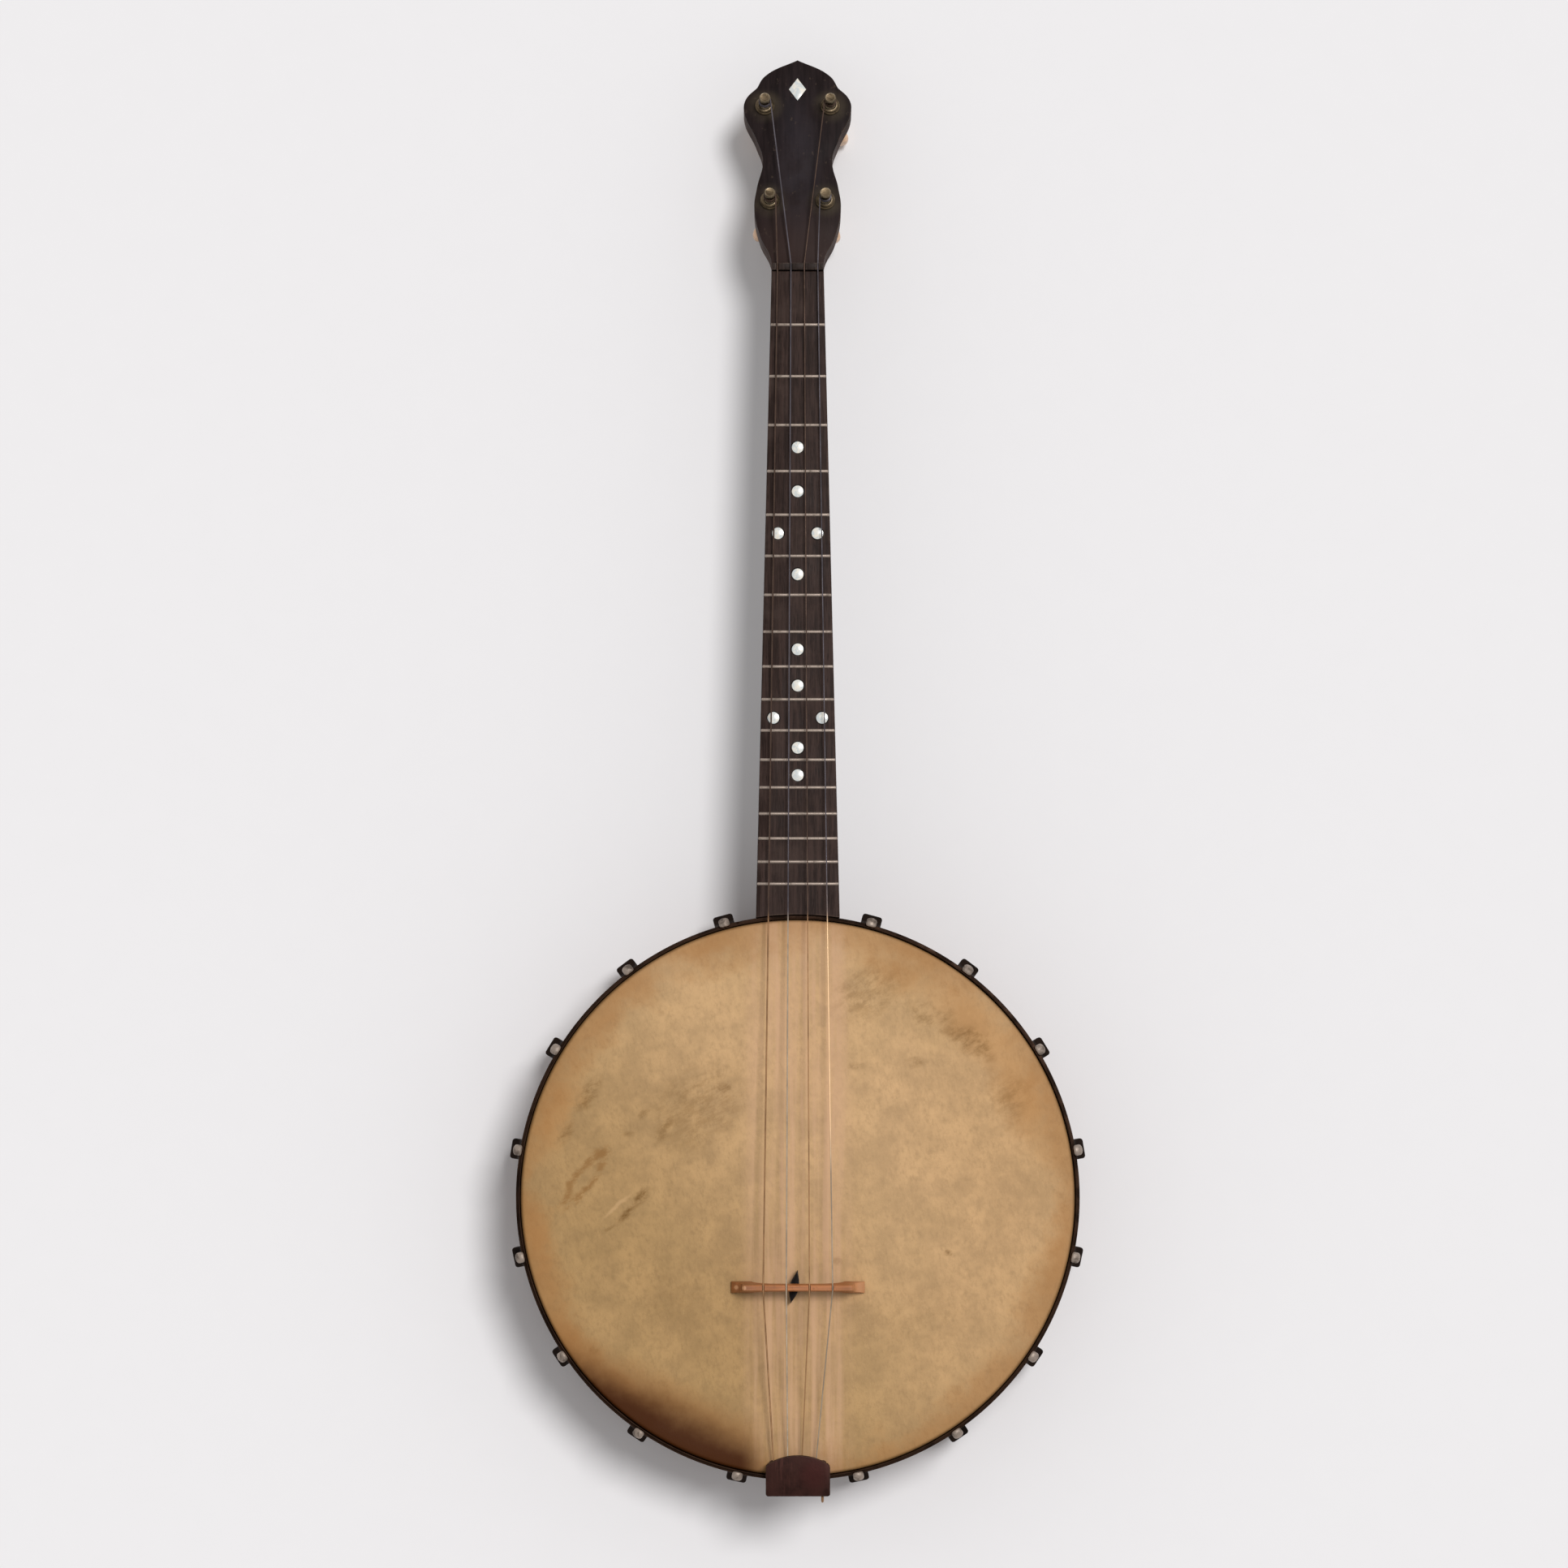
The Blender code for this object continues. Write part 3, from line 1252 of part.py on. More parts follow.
def cover_outline(inset):
    """Plan of the cover about its hinge axis: straight sides and a domed front edge."""
    half = COVER_WIDTH / 2 - inset
    front = COVER_REACH - inset
    back = COVER_BACK_Y - HINGE_Y + inset
    dome_radius = (half**2 + COVER_DOME**2) / (2 * COVER_DOME)
    spread = asin(half / dome_radius)
    middle = (0, front - dome_radius)
    dome = arc(middle, dome_radius, pi / 2 + spread, pi / 2 - spread, 13)
    return [(-half, back), *dome, (half, back)]


def make_tailpiece_cover(hinge):
    """The cover about its hinge, whose empty lies on the pin's axis."""
    bottom = TAIL_PLATE_BOTTOM + COVER_RISE - HINGE_Z
    height = COVER_TOP - bottom
    middle = (COVER_TOP + bottom) / 2
    outside = plate("outside", cover_outline(0), height, at=(0, 0, middle))
    shell = place("tailpiece_cover", baked(outside), "tail_metal", hinge)
    weld = shell.modifiers.new("weld", "WELD")
    weld.merge_threshold = 1e-6
    inside = plate("inside", cover_outline(COVER_WALL), height, at=(0, 0, middle - COVER_WALL))
    inside = place("cover_inside", baked(inside), parent=hinge)
    gap_depth = 2 * COVER_TOP
    front_string_z = TAIL_STRING_Z + TAIL_SLOPE * (COVER_FRONT_Y - TAIL_POST_Y)
    front_top = front_string_z + max(STRING_RADII) + COVER_STRING_ROOM - HINGE_Z
    front_gap = block(
        (COVER_WIDTH - 2 * COVER_WALL, COVER_REACH, gap_depth),
        (0, COVER_REACH, front_top - gap_depth / 2),
    )
    back_top = HINGE_KNUCKLE_RADIUS + GAP
    back_length = 4 * HINGE_KNUCKLE_RADIUS
    back_gap = block(
        (2 * COVER_WIDTH, back_length, gap_depth),
        (0, HINGE_KNUCKLE_RADIUS - back_length / 2, back_top - gap_depth / 2),
    )
    cut(
        shell,
        inside,
        place("cover_front_gap", front_gap, parent=hinge),
        place("cover_back_gap", back_gap, parent=hinge),
    )
    barrel = rods(HINGE_KNUCKLE_RADIUS, HINGE_BARREL_LENGTH, [(0, 0, 0)], "X")
    back_y = COVER_BACK_Y - HINGE_Y
    web_top = 2 * HINGE_KNUCKLE_RADIUS
    web = block(
        (HINGE_BARREL_LENGTH, COVER_WALL + GAP, web_top),
        (0, back_y + (COVER_WALL + GAP) / 2, web_top / 2),
    )
    join(
        shell,
        place("cover_web", web, parent=hinge),
        place("cover_barrel", barrel, parent=hinge),
    )
    bore = rods(HINGE_PIN_RADIUS + GAP, 2 * COVER_WIDTH, [(0, 0, 0)], "X", 12)
    return cut(shell, place("cover_bore", bore, parent=hinge))


def make_tailpiece_pin(pot):
    length = HINGE_BARREL_LENGTH + 2 * (HINGE_EAR_WIDTH + GAP)
    pin = rods(HINGE_PIN_RADIUS, length, [(0, HINGE_Y, HINGE_Z)], "X", 12)
    return place("tailpiece_hinge_pin", pin, "grey_metal", pot)


def make_tailpiece_bolt(pot):
    seat = HANGER_INNER_Y - TAIL_PLATE_THICKNESS - GAP
    tip = -inside_rim(DOWEL_TAIL_WIDTH / 2) + TAIL_BOLT_REACH
    shank_end = seat - TAIL_BOLT_HEAD_THICKNESS / 2
    shank = rods(
        TAIL_BOLT_RADIUS, tip - shank_end, [(0, (tip + shank_end) / 2, DOWEL_HEIGHT)], "Y", 12
    )
    head = rods(
        TAIL_BOLT_HEAD_RADIUS,
        TAIL_BOLT_HEAD_THICKNESS,
        [(0, seat - TAIL_BOLT_HEAD_THICKNESS / 2, DOWEL_HEIGHT)],
        "Y",
        6,
    )
    bolt = place("tailpiece_bolt", shank, "grey_metal", pot)
    return join(bolt, place("tail_bolt_head", head, parent=pot))


def main():
    clear_scene()
    new_collection("tenor_banjo")
    new_collection("cutters")
    pot = empty("pot_centre", at=(0, -LENGTH_MIDDLE_Y, 0))
    face_height = board_top(NUT_Y) - HEADSTOCK_FACE_DROP
    face = empty("headstock_face", pot, (0, NUT_Y, face_height), (-HEADSTOCK_TILT, 0, 0))
    hinge = empty("tailpiece_hinge", pot, (0, HINGE_Y, HINGE_Z))
    bpy.context.view_layer.update()
    make_rim(pot)
    make_tone_ring(pot)
    make_skin_head(pot)
    make_tension_hoop(pot)
    make_brackets(pot)
    make_dowel_stick(pot)
    make_neck_brace(pot)
    make_neck(pot, face)
    make_fingerboard(pot)
    make_headstock_overlay(pot, face)
    make_nut(pot)
    make_pegs(face)
    make_bridge(pot)
    make_mute_wedge(pot)
    make_tailpiece_base(pot)
    make_tailpiece_cover(hinge)
    make_tailpiece_pin(pot)
    make_tailpiece_bolt(pot)
    make_strings(pot, face)


main()
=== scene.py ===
"""Looks of a tenor banjo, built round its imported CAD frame.

Metres. Pieces are shaped in the pot's own space, whose origin is the middle of the pot on the plane
that the rim lies on, or in the headstock's, the board's or the hinge's. Then they go to the row
frame, with their place in their mesh.
"""

from math import asin, atan2, cos, pi, radians, sin, tan, tau

import bmesh
import bpy
from bmesh.types import BMEdge, BMVert
from bpy.props import FloatProperty, FloatVectorProperty, IntProperty, PointerProperty
from bpy.types import NodeSocket, Operator, Panel, PropertyGroup
from mathutils import Matrix, Vector, noise


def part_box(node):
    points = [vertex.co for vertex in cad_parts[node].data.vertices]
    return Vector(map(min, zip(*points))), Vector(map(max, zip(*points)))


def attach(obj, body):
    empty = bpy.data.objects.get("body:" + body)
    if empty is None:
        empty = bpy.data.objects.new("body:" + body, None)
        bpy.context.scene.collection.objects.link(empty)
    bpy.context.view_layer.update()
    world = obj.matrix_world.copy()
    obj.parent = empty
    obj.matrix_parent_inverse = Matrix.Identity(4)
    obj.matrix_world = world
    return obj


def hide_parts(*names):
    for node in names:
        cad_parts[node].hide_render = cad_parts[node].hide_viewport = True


bl_info = {
    "name": "Tenor banjo",
    "version": (1, 0, 0),
    "blender": (4, 5, 0),
    "location": "3D View > Sidebar > Banjo",
    "description": "Builds a worn tenor banjo round its CAD frame, with a floor, a sun and a camera",
    "category": "Add Mesh",
}

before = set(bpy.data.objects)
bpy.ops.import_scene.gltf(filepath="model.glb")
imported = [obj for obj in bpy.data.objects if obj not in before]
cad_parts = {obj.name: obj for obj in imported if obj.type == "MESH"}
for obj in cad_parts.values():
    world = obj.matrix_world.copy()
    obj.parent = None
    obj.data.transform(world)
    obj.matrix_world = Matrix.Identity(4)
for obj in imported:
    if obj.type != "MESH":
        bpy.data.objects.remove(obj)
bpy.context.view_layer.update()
RIM_LOW, RIM_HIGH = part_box("rim")
POT = Matrix.Translation(((RIM_LOW.x + RIM_HIGH.x) / 2, (RIM_LOW.y + RIM_HIGH.y) / 2, RIM_LOW.z))
MM = 0.001
# Points this near are one
WELD = 1e-6
# A size along which a pattern doesn't change
FAR = 1000.0


# Sizes and colours


def size(name, default, description):
    return FloatProperty(
        name=name, description=description, default=default, min=0.0, precision=5,
        unit="LENGTH", subtype="DISTANCE"
    )


def angle(name, degrees, description):
    return FloatProperty(
        name=name, description=description, default=radians(degrees), unit="ROTATION",
        subtype="ANGLE"
    )


def tint(name, screen, description):
    """A colour that is given as a screen has it, in parts from 0 to 255, and kept as linear light."""
    parts = [part / 255 for part in screen]
    linear = [part / 12.92 if part <= 0.04 else ((part + 0.055) / 1.055) ** 2.4 for part in parts]
    return FloatVectorProperty(
        name=name, description=description, default=linear, min=0.0, max=1.0, subtype="COLOR"
    )


class PotSizes(PropertyGroup):
    radius: size("Radius", (RIM_HIGH.x - RIM_LOW.x) / 2, "Outer radius of the wooden rim")
    wall: size("Wall", 0.0115, "Thickness of the rim's wood")
    height: size("Height", RIM_HIGH.z - RIM_LOW.z, "Height of the rim, without its tone ring")
    chamfer: size("Chamfer", 0.0012, "Chamfer along the rim's back edges")
    gap: size("Gap", 0.0003, "Gap between pieces that touch")
    tone_wall: size("Tone ring wall", 0.0062, "Width of the brass ring under the skin")
    tone_height: size("Tone ring height", 0.0069, "Height of the brass ring under the skin")
    skin: size("Skin", 0.0005, "Thickness of the skin")
    skin_wave: size("Skin wave", 0.00012, "How far the skin's face strays from flat")
    flesh_size: size("Flesh hoop", 0.0026, "Size of the rolled hoop that the skin is tucked round")
    flesh_depth: size("Flesh hoop depth", 0.011, "Depth of the flesh hoop below the skin's face")
    hoop_wall: size("Hoop wall", 0.0020, "Width of the tension hoop")
    hoop_lip: size("Hoop lip", 0.0006, "Width of the lip at the hoop's inner edge")
    hoop_ledge: size("Hoop ledge", 0.0019, "Depth of the ledge that the hooks catch on")
    hoop_rise: size("Hoop rise", 0.0015, "How far the hoop stands above the skin")
    steps: IntProperty(name="Steps", description="Facets round the pot", default=192, min=32)

    @property
    def inner(self):
        return self.radius - self.wall

    @property
    def tone_bottom(self):
        return self.height + self.gap

    @property
    def tone_top(self):
        return self.tone_bottom + self.tone_height

    @property
    def skin_top(self):
        return self.tone_top + self.gap + self.skin

    @property
    def skin_inner(self):
        return self.radius + self.gap

    @property
    def skin_outer(self):
        return self.skin_inner + self.skin

    @property
    def flesh_top(self):
        return self.skin_top - self.flesh_depth

    @property
    def flesh_bottom(self):
        return self.flesh_top - self.flesh_size

    @property
    def hoop_inner(self):
        return self.skin_outer + self.gap

    @property
    def hoop_outer(self):
        return self.hoop_inner + self.hoop_wall

    @property
    def hoop_top(self):
        return self.skin_top + self.hoop_rise


class BracketSizes(PropertyGroup):
    per_side: IntProperty(name="Per side", description="Brackets on each side", default=8, min=1)
    first: angle("First", 15.1, "Angle from the neck to the first bracket")
    step: angle("Step", 21.8, "Angle from one bracket to the next")
    rod: size("Rod radius", 0.0016, "Radius of a hook's rod")
    bend: size("Bend radius", 0.0018, "Radius of a hook's bend")
    claw_width: size("Claw width", 0.0054, "Width of a hook's flattened claw")
    thread_end: size("Thread end", 0.0125, "Height of the threaded rod's lower end")
    pitch: size("Thread pitch", 0.0008, "Distance from one ridge of the thread to the next")
    hex_radius: size("Nut radius", 0.0034, "Radius of a hook's nut over its corners")
    hex_length: size("Nut length", 0.009, "Length of a hook's nut")
    shoe_bottom: size("Shoe bottom", 0.0225, "Height of a shoe's lower side")
    shoe_height: size("Shoe height", 0.021, "Height of a shoe's foot on the rim")
    lug_height: size("Lug height", 0.010, "Height of a shoe's lug, which the hook goes through")
    shoe_width: size("Shoe width", 0.0104, "Width of a shoe")
    shoe_wall: size("Shoe wall", 0.0011, "Thickness of a shoe's foot at its top")
    shoe_lip: size("Shoe lip", 0.0026, "Metal outside the hook's hole")
    bolt_height: size("Bolt height", 0.0375, "Height of the bolt that holds a shoe")
    bolt_radius: size("Bolt radius", 0.0018, "Radius of the bolt that holds a shoe")
    bolt_nut: size("Bolt nut radius", 0.0042, "Radius of the bolt's nut inside the rim")
    bolt_nut_height: size("Bolt nut height", 0.0026, "Height of the bolt's nut inside the rim")


class StickSizes(PropertyGroup):
    width: size("Width", 0.020, "Width of the dowel stick at the neck")
    tail_width: size("Tail width", 0.016, "Width of the dowel stick at the tail")
    thickness: size("Thickness", 0.016, "Thickness of the dowel stick")
    height: size("Height", 0.033, "Height of the dowel stick's middle")
    tenon: size("Tenon", 0.012, "How far the stick goes into the heel")
    brace_width: size("Brace width", 0.014, "Width of the neck brace")
    brace_length: size("Brace length", 0.032, "Length of the neck brace")
    brace_sheet: size("Brace sheet", 0.002, "Thickness of the neck brace")
    brace_lug: size("Brace lug", 0.012, "Height of the brace's lug")
    lug_setback: size("Lug setback", 0.009, "Distance from the rim to the brace's lug")
    bolt_radius: size("Brace bolt radius", 0.0022, "Radius of the brace's bolt")
    screw_radius: size("Screw radius", 0.0026, "Radius of the brace's two screw heads")


class NeckSizes(PropertyGroup):
    length: size("Length", 0.3312, "Free length of the fingerboard, from the hoop to the nut")
    pitch: angle("Pitch", 2.0, "How far the board leans back from the pot")
    board_rise: size("Board rise", 0.0005, "Height of the board's face above the hoop")
    board: size("Board", 0.005, "Thickness of the fingerboard")
    nut_width: size("Nut width", 0.0268, "Width of the board at the nut")
    heel_width: size("Heel width", 0.0425, "Width of the board at the hoop")
    depth_at_nut: size("Depth at nut", 0.0138, "Depth of the neck under the board at the nut")
    depth_at_heel: size("Depth at heel", 0.0178, "Depth of the neck under the board at the heel")
    heel_bottom: size("Heel bottom", 0.010, "Height of the heel's lowest point")
    heel_length: size("Heel length", 0.048, "Length of the heel's curve")
    heel_foot: size("Heel foot", 0.008, "Length of the straight foot of the heel")
    volute: size("Volute", 0.026, "Length of the taper behind the nut")
    scale: size("Scale", 0.5043, "Length of the open string")
    fret_width: size("Fret width", 0.0016, "Width of a fret")
    fret_height: size("Fret height", 0.0009, "Height of a fret")
    dot_radius: size("Dot radius", 0.0030, "Radius of a pearl dot")
    dot_rim: size("Dot rim", 0.0006, "Width of the dark filler round a dot")
    tilt: angle("Tilt", 12.5, "How far the headstock leans back from the board")
    face_drop: size("Face drop", 0.0011, "Height from the board's end down to the headstock's face")
    head_length: size("Headstock length", 0.1164, "Length of the headstock's face")
    head_thickness: size("Headstock thickness", 0.0125, "Thickness of the headstock's wood")
    veneer: size("Veneer", 0.0016, "Thickness of the veneer on the headstock's face")
    lozenge: size("Lozenge", 0.0062, "Half length of the pearl lozenge")
    lozenge_place: size("Lozenge place", 0.1000, "Distance from the nut to the pearl lozenge")
    nut_thickness: size("Nut thickness", 0.0035, "Thickness of the nut")
    nut_rise: size("Nut rise", 0.0023, "Height of the nut above the board")
    string_rise: size("String rise", 0.0019, "Height of the strings above the board at the nut")


class PegSizes(PropertyGroup):
    shaft: size("Shaft radius", 0.0028, "Radius of a peg's shaft in the headstock")
    post: size("Post radius", 0.0022, "Radius of a peg's post")
    post_height: size("Post height", 0.0120, "Height of a post above the headstock's face")
    cap: size("Cap radius", 0.0029, "Radius of the cap on a post")
    cap_height: size("Cap height", 0.0016, "Height of the cap on a post")
    ferrule: size("Ferrule radius", 0.0050, "Radius of the ferrule that a post turns in")
    ferrule_height: size("Ferrule height", 0.0026, "Height of the ferrule")
    washer: size("Washer radius", 0.0052, "Radius of the washer behind the headstock")
    washer_height: size("Washer height", 0.0045, "Height of the washer behind the headstock")
    behind: size("Length behind", 0.0440, "How far a peg reaches behind the headstock's face")
    stem: size("Stem radius", 0.0030, "Radius of the stem that carries a button")
    button_width: size("Button width", 0.0205, "Width of a button")
    button_thickness: size("Button thickness", 0.0078, "Thickness of a button")
    button_length: size("Button length", 0.0145, "Length of a button along its peg")


class BridgeSizes(PropertyGroup):
    setback: size("Setback", 0.0152, "How far the bridge stands behind the open string's length")
    length: size("Length", 0.0677, "Length of the bridge over its feet")
    top_length: size("Top length", 0.0560, "Length of the bridge's top")
    height: size("Height", 0.0160, "Height of the bridge")
    foot: size("Foot length", 0.0105, "Length of a foot")
    arch: size("Arch height", 0.0088, "Height of the arch between the feet")
    foot_thickness: size("Foot thickness", 0.0060, "Thickness of the bridge at its feet")
    top_thickness: size("Top thickness", 0.0026, "Thickness of the bridge at its top")
    slot: size("Slot depth", 0.001, "Depth of a string's slot")
    wedge_length: size("Wedge length", 0.0170, "Length of the leaf-shaped wedge")
    wedge_width: size("Wedge width", 0.0048, "Width of the leaf-shaped wedge")
    wedge_turn: angle("Wedge turn", -12.0, "Slant of the wedge")


class StringSizes(PropertyGroup):
    at_nut: size("Spacing at nut", 0.0069, "Distance between strings at the nut")
    at_bridge: size("Spacing at bridge", 0.01165, "Distance between strings at the bridge")
    at_tail: size("Spacing at tail", 0.0069, "Distance between strings at the tailpiece")
    winding_top: size("Winding top", 0.0085, "Height of the first turn round a post")
    winding_pitch: size("Winding pitch", 0.0014, "Distance from one turn to the next")


class TailSizes(PropertyGroup):
    width: size("Plate width", 0.0290, "Width of the tailpiece's plate")
    length: size("Plate length", 0.0135, "Length of the tailpiece's plate")
    sheet: size("Sheet", 0.0014, "Thickness of the tailpiece's plate and hanger")
    rise: size("Rise", 0.0003, "Height of the plate above the hoop")
    hanger_room: size("Hanger room", 0.0018, "Gap between the hoop and the hanger")
    hanger_width: size("Hanger width", 0.0140, "Width of the hanger down the rim")
    hanger_length: size("Hanger length", 0.0580, "Length of the hanger down the rim")
    post: size("Post radius", 0.0010, "Radius of a string's post")
    post_height: size("Post height", 0.0042, "Height of a string's post")
    post_setback: size("Post setback", 0.0045, "Distance from the plate's front edge to its posts")
    bolt: size("Bolt radius", 0.0022, "Radius of the tail bolt")
    bolt_head: size("Bolt head radius", 0.0052, "Radius of the tail bolt's head over its corners")
    bolt_head_height: size("Bolt head height", 0.0034, "Height of the tail bolt's head")
    bolt_reach: size("Bolt reach", 0.0140, "How far the tail bolt goes into the stick")
    clearance: size("Hinge clearance", 0.0004, "Gap between the hinge and the hanger")
    hinge_height: size("Hinge height", 0.0026, "Height of the hinge above the hoop")
    knuckle: size("Knuckle radius", 0.0017, "Radius of the hinge's knuckles")
    barrel: size("Barrel length", 0.0180, "Length of the cover's knuckle")
    ear: size("Ear width", 0.0035, "Width of the plate's two knuckles")
    pin: size("Pin radius", 0.0007, "Radius of the hinge's pin")
    cover_width: size("Cover width", 0.0324, "Width of the cover")
    cover_reach: size("Cover reach", 0.0184, "Distance from the hinge to the cover's front")
    cover_dome: size("Cover dome", 0.0050, "How far the cover's front edge bows out")
    cover_wall: size("Cover wall", 0.0010, "Thickness of the cover")
    cover_top: size("Cover top", 0.0075, "Height of the cover's top above its hinge")
    cover_rise: size("Cover rise", 0.0007, "Height of the cover's edge above the plate's bottom")


class Colours(PropertyGroup):
    floor: tint("Floor", (236, 234, 235), "Floor and backdrop")
    rim: tint("Rim", (112, 68, 40), "Rim's varnished wood")
    brass: tint("Brass", (150, 118, 66), "Tone ring")
    skin: tint("Skin", (199, 162, 119), "Clean calf skin")
    skin_edge: tint("Skin edge", (152, 104, 58), "Skin near the hoop")
    burn: tint("Burn", (68, 35, 14), "Dark stain at the skin's lower left")
    smudge: tint("Smudge", (112, 78, 36), "Grime on the skin")
    hoop: tint("Hoop", (44, 28, 18), "Tension hoop")
    shoe: tint("Shoe", (36, 25, 19), "Shoes")
    nickel: tint("Nickel", (158, 143, 131), "Hooks and bolts")
    neck: tint("Neck", (60, 38, 29), "Neck's varnished wood")
    board: tint("Board", (52, 39, 35), "Fingerboard")
    veneer: tint("Veneer", (33, 25, 25), "Headstock's face")
    stick: tint("Stick", (150, 108, 66), "Dowel stick")
    maple: tint("Maple", (164, 99, 50), "Bridge")
    ebony: tint("Ebony", (28, 21, 19), "Wedge and the filler round each dot")
    bronze: tint("Bronze", (166, 126, 88), "Browned strings")
    steel: tint("Steel", (192, 174, 152), "Greyer strings")
    # A painted highlight: the bright stretch of the thinnest string over the skin
    painted_highlight: tint("String highlight", (246, 206, 160), "Bright stretch of the thinnest string")
    fret: tint("Fret", (166, 150, 138), "Frets")
    pearl: tint("Pearl", (232, 226, 214), "Dots and lozenge")
    post: tint("Post", (114, 98, 76), "Peg's post and ferrule")
    button: tint("Button", (226, 186, 150), "Peg's button")
    tail: tint("Tail", (46, 26, 22), "Tailpiece")


class Banjo(PropertyGroup):
    pot: PointerProperty(type=PotSizes)
    brackets: PointerProperty(type=BracketSizes)
    stick: PointerProperty(type=StickSizes)
    neck: PointerProperty(type=NeckSizes)
    pegs: PointerProperty(type=PegSizes)
    bridge: PointerProperty(type=BridgeSizes)
    strings: PointerProperty(type=StringSizes)
    tail: PointerProperty(type=TailSizes)
    colours: PointerProperty(type=Colours)

    @property
    def nut_y(self):
        return self.pot.hoop_outer + self.neck.length

    @property
    def bridge_y(self):
        return self.nut_y - self.neck.scale - self.bridge.setback

    @property
    def bridge_top(self):
        return self.pot.skin_top + self.pot.gap + self.bridge.height

    def board_top(self, y):
        """Height of the fingerboard's face."""
        rise = self.pot.hoop_top + self.neck.board_rise
        return rise - tan(self.neck.pitch) * (y - self.pot.hoop_outer)

    def half_width(self, y):
        share = (y - self.pot.hoop_outer) / self.neck.length
        return (self.neck.heel_width + (self.neck.nut_width - self.neck.heel_width) * share) / 2

    def shaft_top(self, y):
        return self.board_top(y) - self.neck.board - self.pot.gap

    def face_height(self, y, above):
        """Height of a plane that lies this far above the headstock's face."""
        face = self.board_top(self.nut_y) - self.neck.face_drop
        return face - tan(self.neck.tilt) * (y - self.nut_y) + above / cos(self.neck.tilt)

    @property
    def face_plane(self):
        """The headstock's own space in the pot's: its origin is at the nut, on the face."""
        origin = shift(0, self.nut_y, self.board_top(self.nut_y) - self.neck.face_drop)
        return origin @ rotation("X", -self.neck.tilt)

    @property
    def board_plane(self):
        """The fingerboard's own space in the pot's: its origin is at the hoop, on the face."""
        origin = shift(0, self.pot.hoop_outer, self.board_top(self.pot.hoop_outer))
        return origin @ rotation("X", -self.neck.pitch)

    @property
    def hanger_y(self):
        return -(self.pot.hoop_outer + self.tail.hanger_room + self.tail.sheet)

    @property
    def plate_top(self):
        return self.pot.hoop_top + self.tail.rise + self.tail.sheet

    @property
    def post_y(self):
        return self.hanger_y + self.tail.length - self.tail.post_setback

    @property
    def wire_at_tail(self):
        """Height of the strings at their posts."""
        return self.plate_top + self.pot.gap + max(STRING_RADII)

    def wire_at_bridge(self, radius):
        """Height of a string in its slot."""
        return self.bridge_top - self.bridge.slot + self.pot.gap + radius

    @property
    def hinge(self):
        """The hinge's axis, in the pot's space."""
        y = self.hanger_y - self.tail.clearance - self.tail.knuckle
        return Vector((0, y, self.pot.hoop_top + self.tail.hinge_height))

    @property
    def hook_reach(self):
        """Distance from the pot's middle to a hook's rod."""
        return self.pot.hoop_outer + self.pot.gap + self.brackets.rod

    def inside_rim(self, half_width):
        """How far out a flat-ended piece of this half width reaches inside the rim."""
        return (self.pot.inner**2 - half_width**2) ** 0.5 - self.pot.gap

    def bracket_turns(self):
        """One turn for each bracket, of a piece that lies on +X: right side first."""
        for side in (1, -1):
            for place in range(self.brackets.per_side):
                turn = pi / 2 - side * (self.brackets.first + place * self.brackets.step)
                yield rotation("Z", turn)


# Each string's radius, and its place across the neck in string spacings
STRING_RADII = (0.00040, 0.00035, 0.00030, 0.00030)
STRING_SIDES = (-1.5, -0.5, 0.5, 1.5)
FRETS = 17
# Each peg: its body, its place across and along the headstock's face, and its button's turn
PEGS = {
    "upper_left": ("peg_2", -0.0169, 0.0905, radians(-80)),
    "upper_right": ("peg_3", 0.0169, 0.0905, radians(-22)),
    "lower_left": ("peg_1", -0.0143, 0.0382, radians(35)),
    "lower_right": ("peg_4", 0.0143, 0.0382, radians(-45)),
}
# Pearl dots: side and distance from the pot's middle
DOT_PLACES = (
    (0, 0.3823), (0, 0.3596), (0.0101, 0.3380), (-0.0101, 0.3380), (0, 0.3169), (0, 0.2784),
    (0, 0.2598), (0.0124, 0.2433), (-0.0124, 0.2433), (0, 0.2280), (0, 0.2140)
)


# Matrices


def shift(x=0.0, y=0.0, z=0.0):
    return Matrix.Translation((x, y, z))


def rotation(axis, turn):
    return Matrix.Rotation(turn, 4, axis)


def scaling(x, y, z=1.0):
    return Matrix.Diagonal((x, y, z, 1.0))


# The turn that takes Z to an axis
AXIS_TURNS = {"X": rotation("Y", pi / 2), "Y": rotation("X", -pi / 2), "Z": Matrix.Identity(4)}


# Tests that pick edges


def above(height):
    return lambda edge: min(vertex.co.z for vertex in edge.verts) > height


def below(height):
    return lambda edge: max(vertex.co.z for vertex in edge.verts) < height


def climbing(height):
    return lambda edge: abs(edge.verts[0].co.z - edge.verts[1].co.z) > height


# Shape helpers: each gives a bmesh, apart from arc, spun and loose_object


def outward(shape):
    bmesh.ops.recalc_face_normals(shape, faces=shape.faces)
    return shape


def moved(shape, matrix):
    bmesh.ops.transform(shape, matrix=matrix, verts=shape.verts)
    return shape


def rounded(shape, edges, width, segments):
    bmesh.ops.bevel(
        shape, geom=edges, offset=width, offset_type="OFFSET", segments=segments, profile=0.5,
        affect="EDGES", clamp_overlap=True, material=-1
    )
    return shape


def eased(shape, width, segments=2, over=radians(40), where=None):
    """Rounds the edges that turn by more than an angle, or those of them that a test picks."""
    edges = [
        edge for edge in shape.edges
        if len(edge.link_faces) == 2 and edge.calc_face_angle(0.0) > over
        and (where is None or where(edge))
    ]
    return rounded(shape, edges, width, segments)


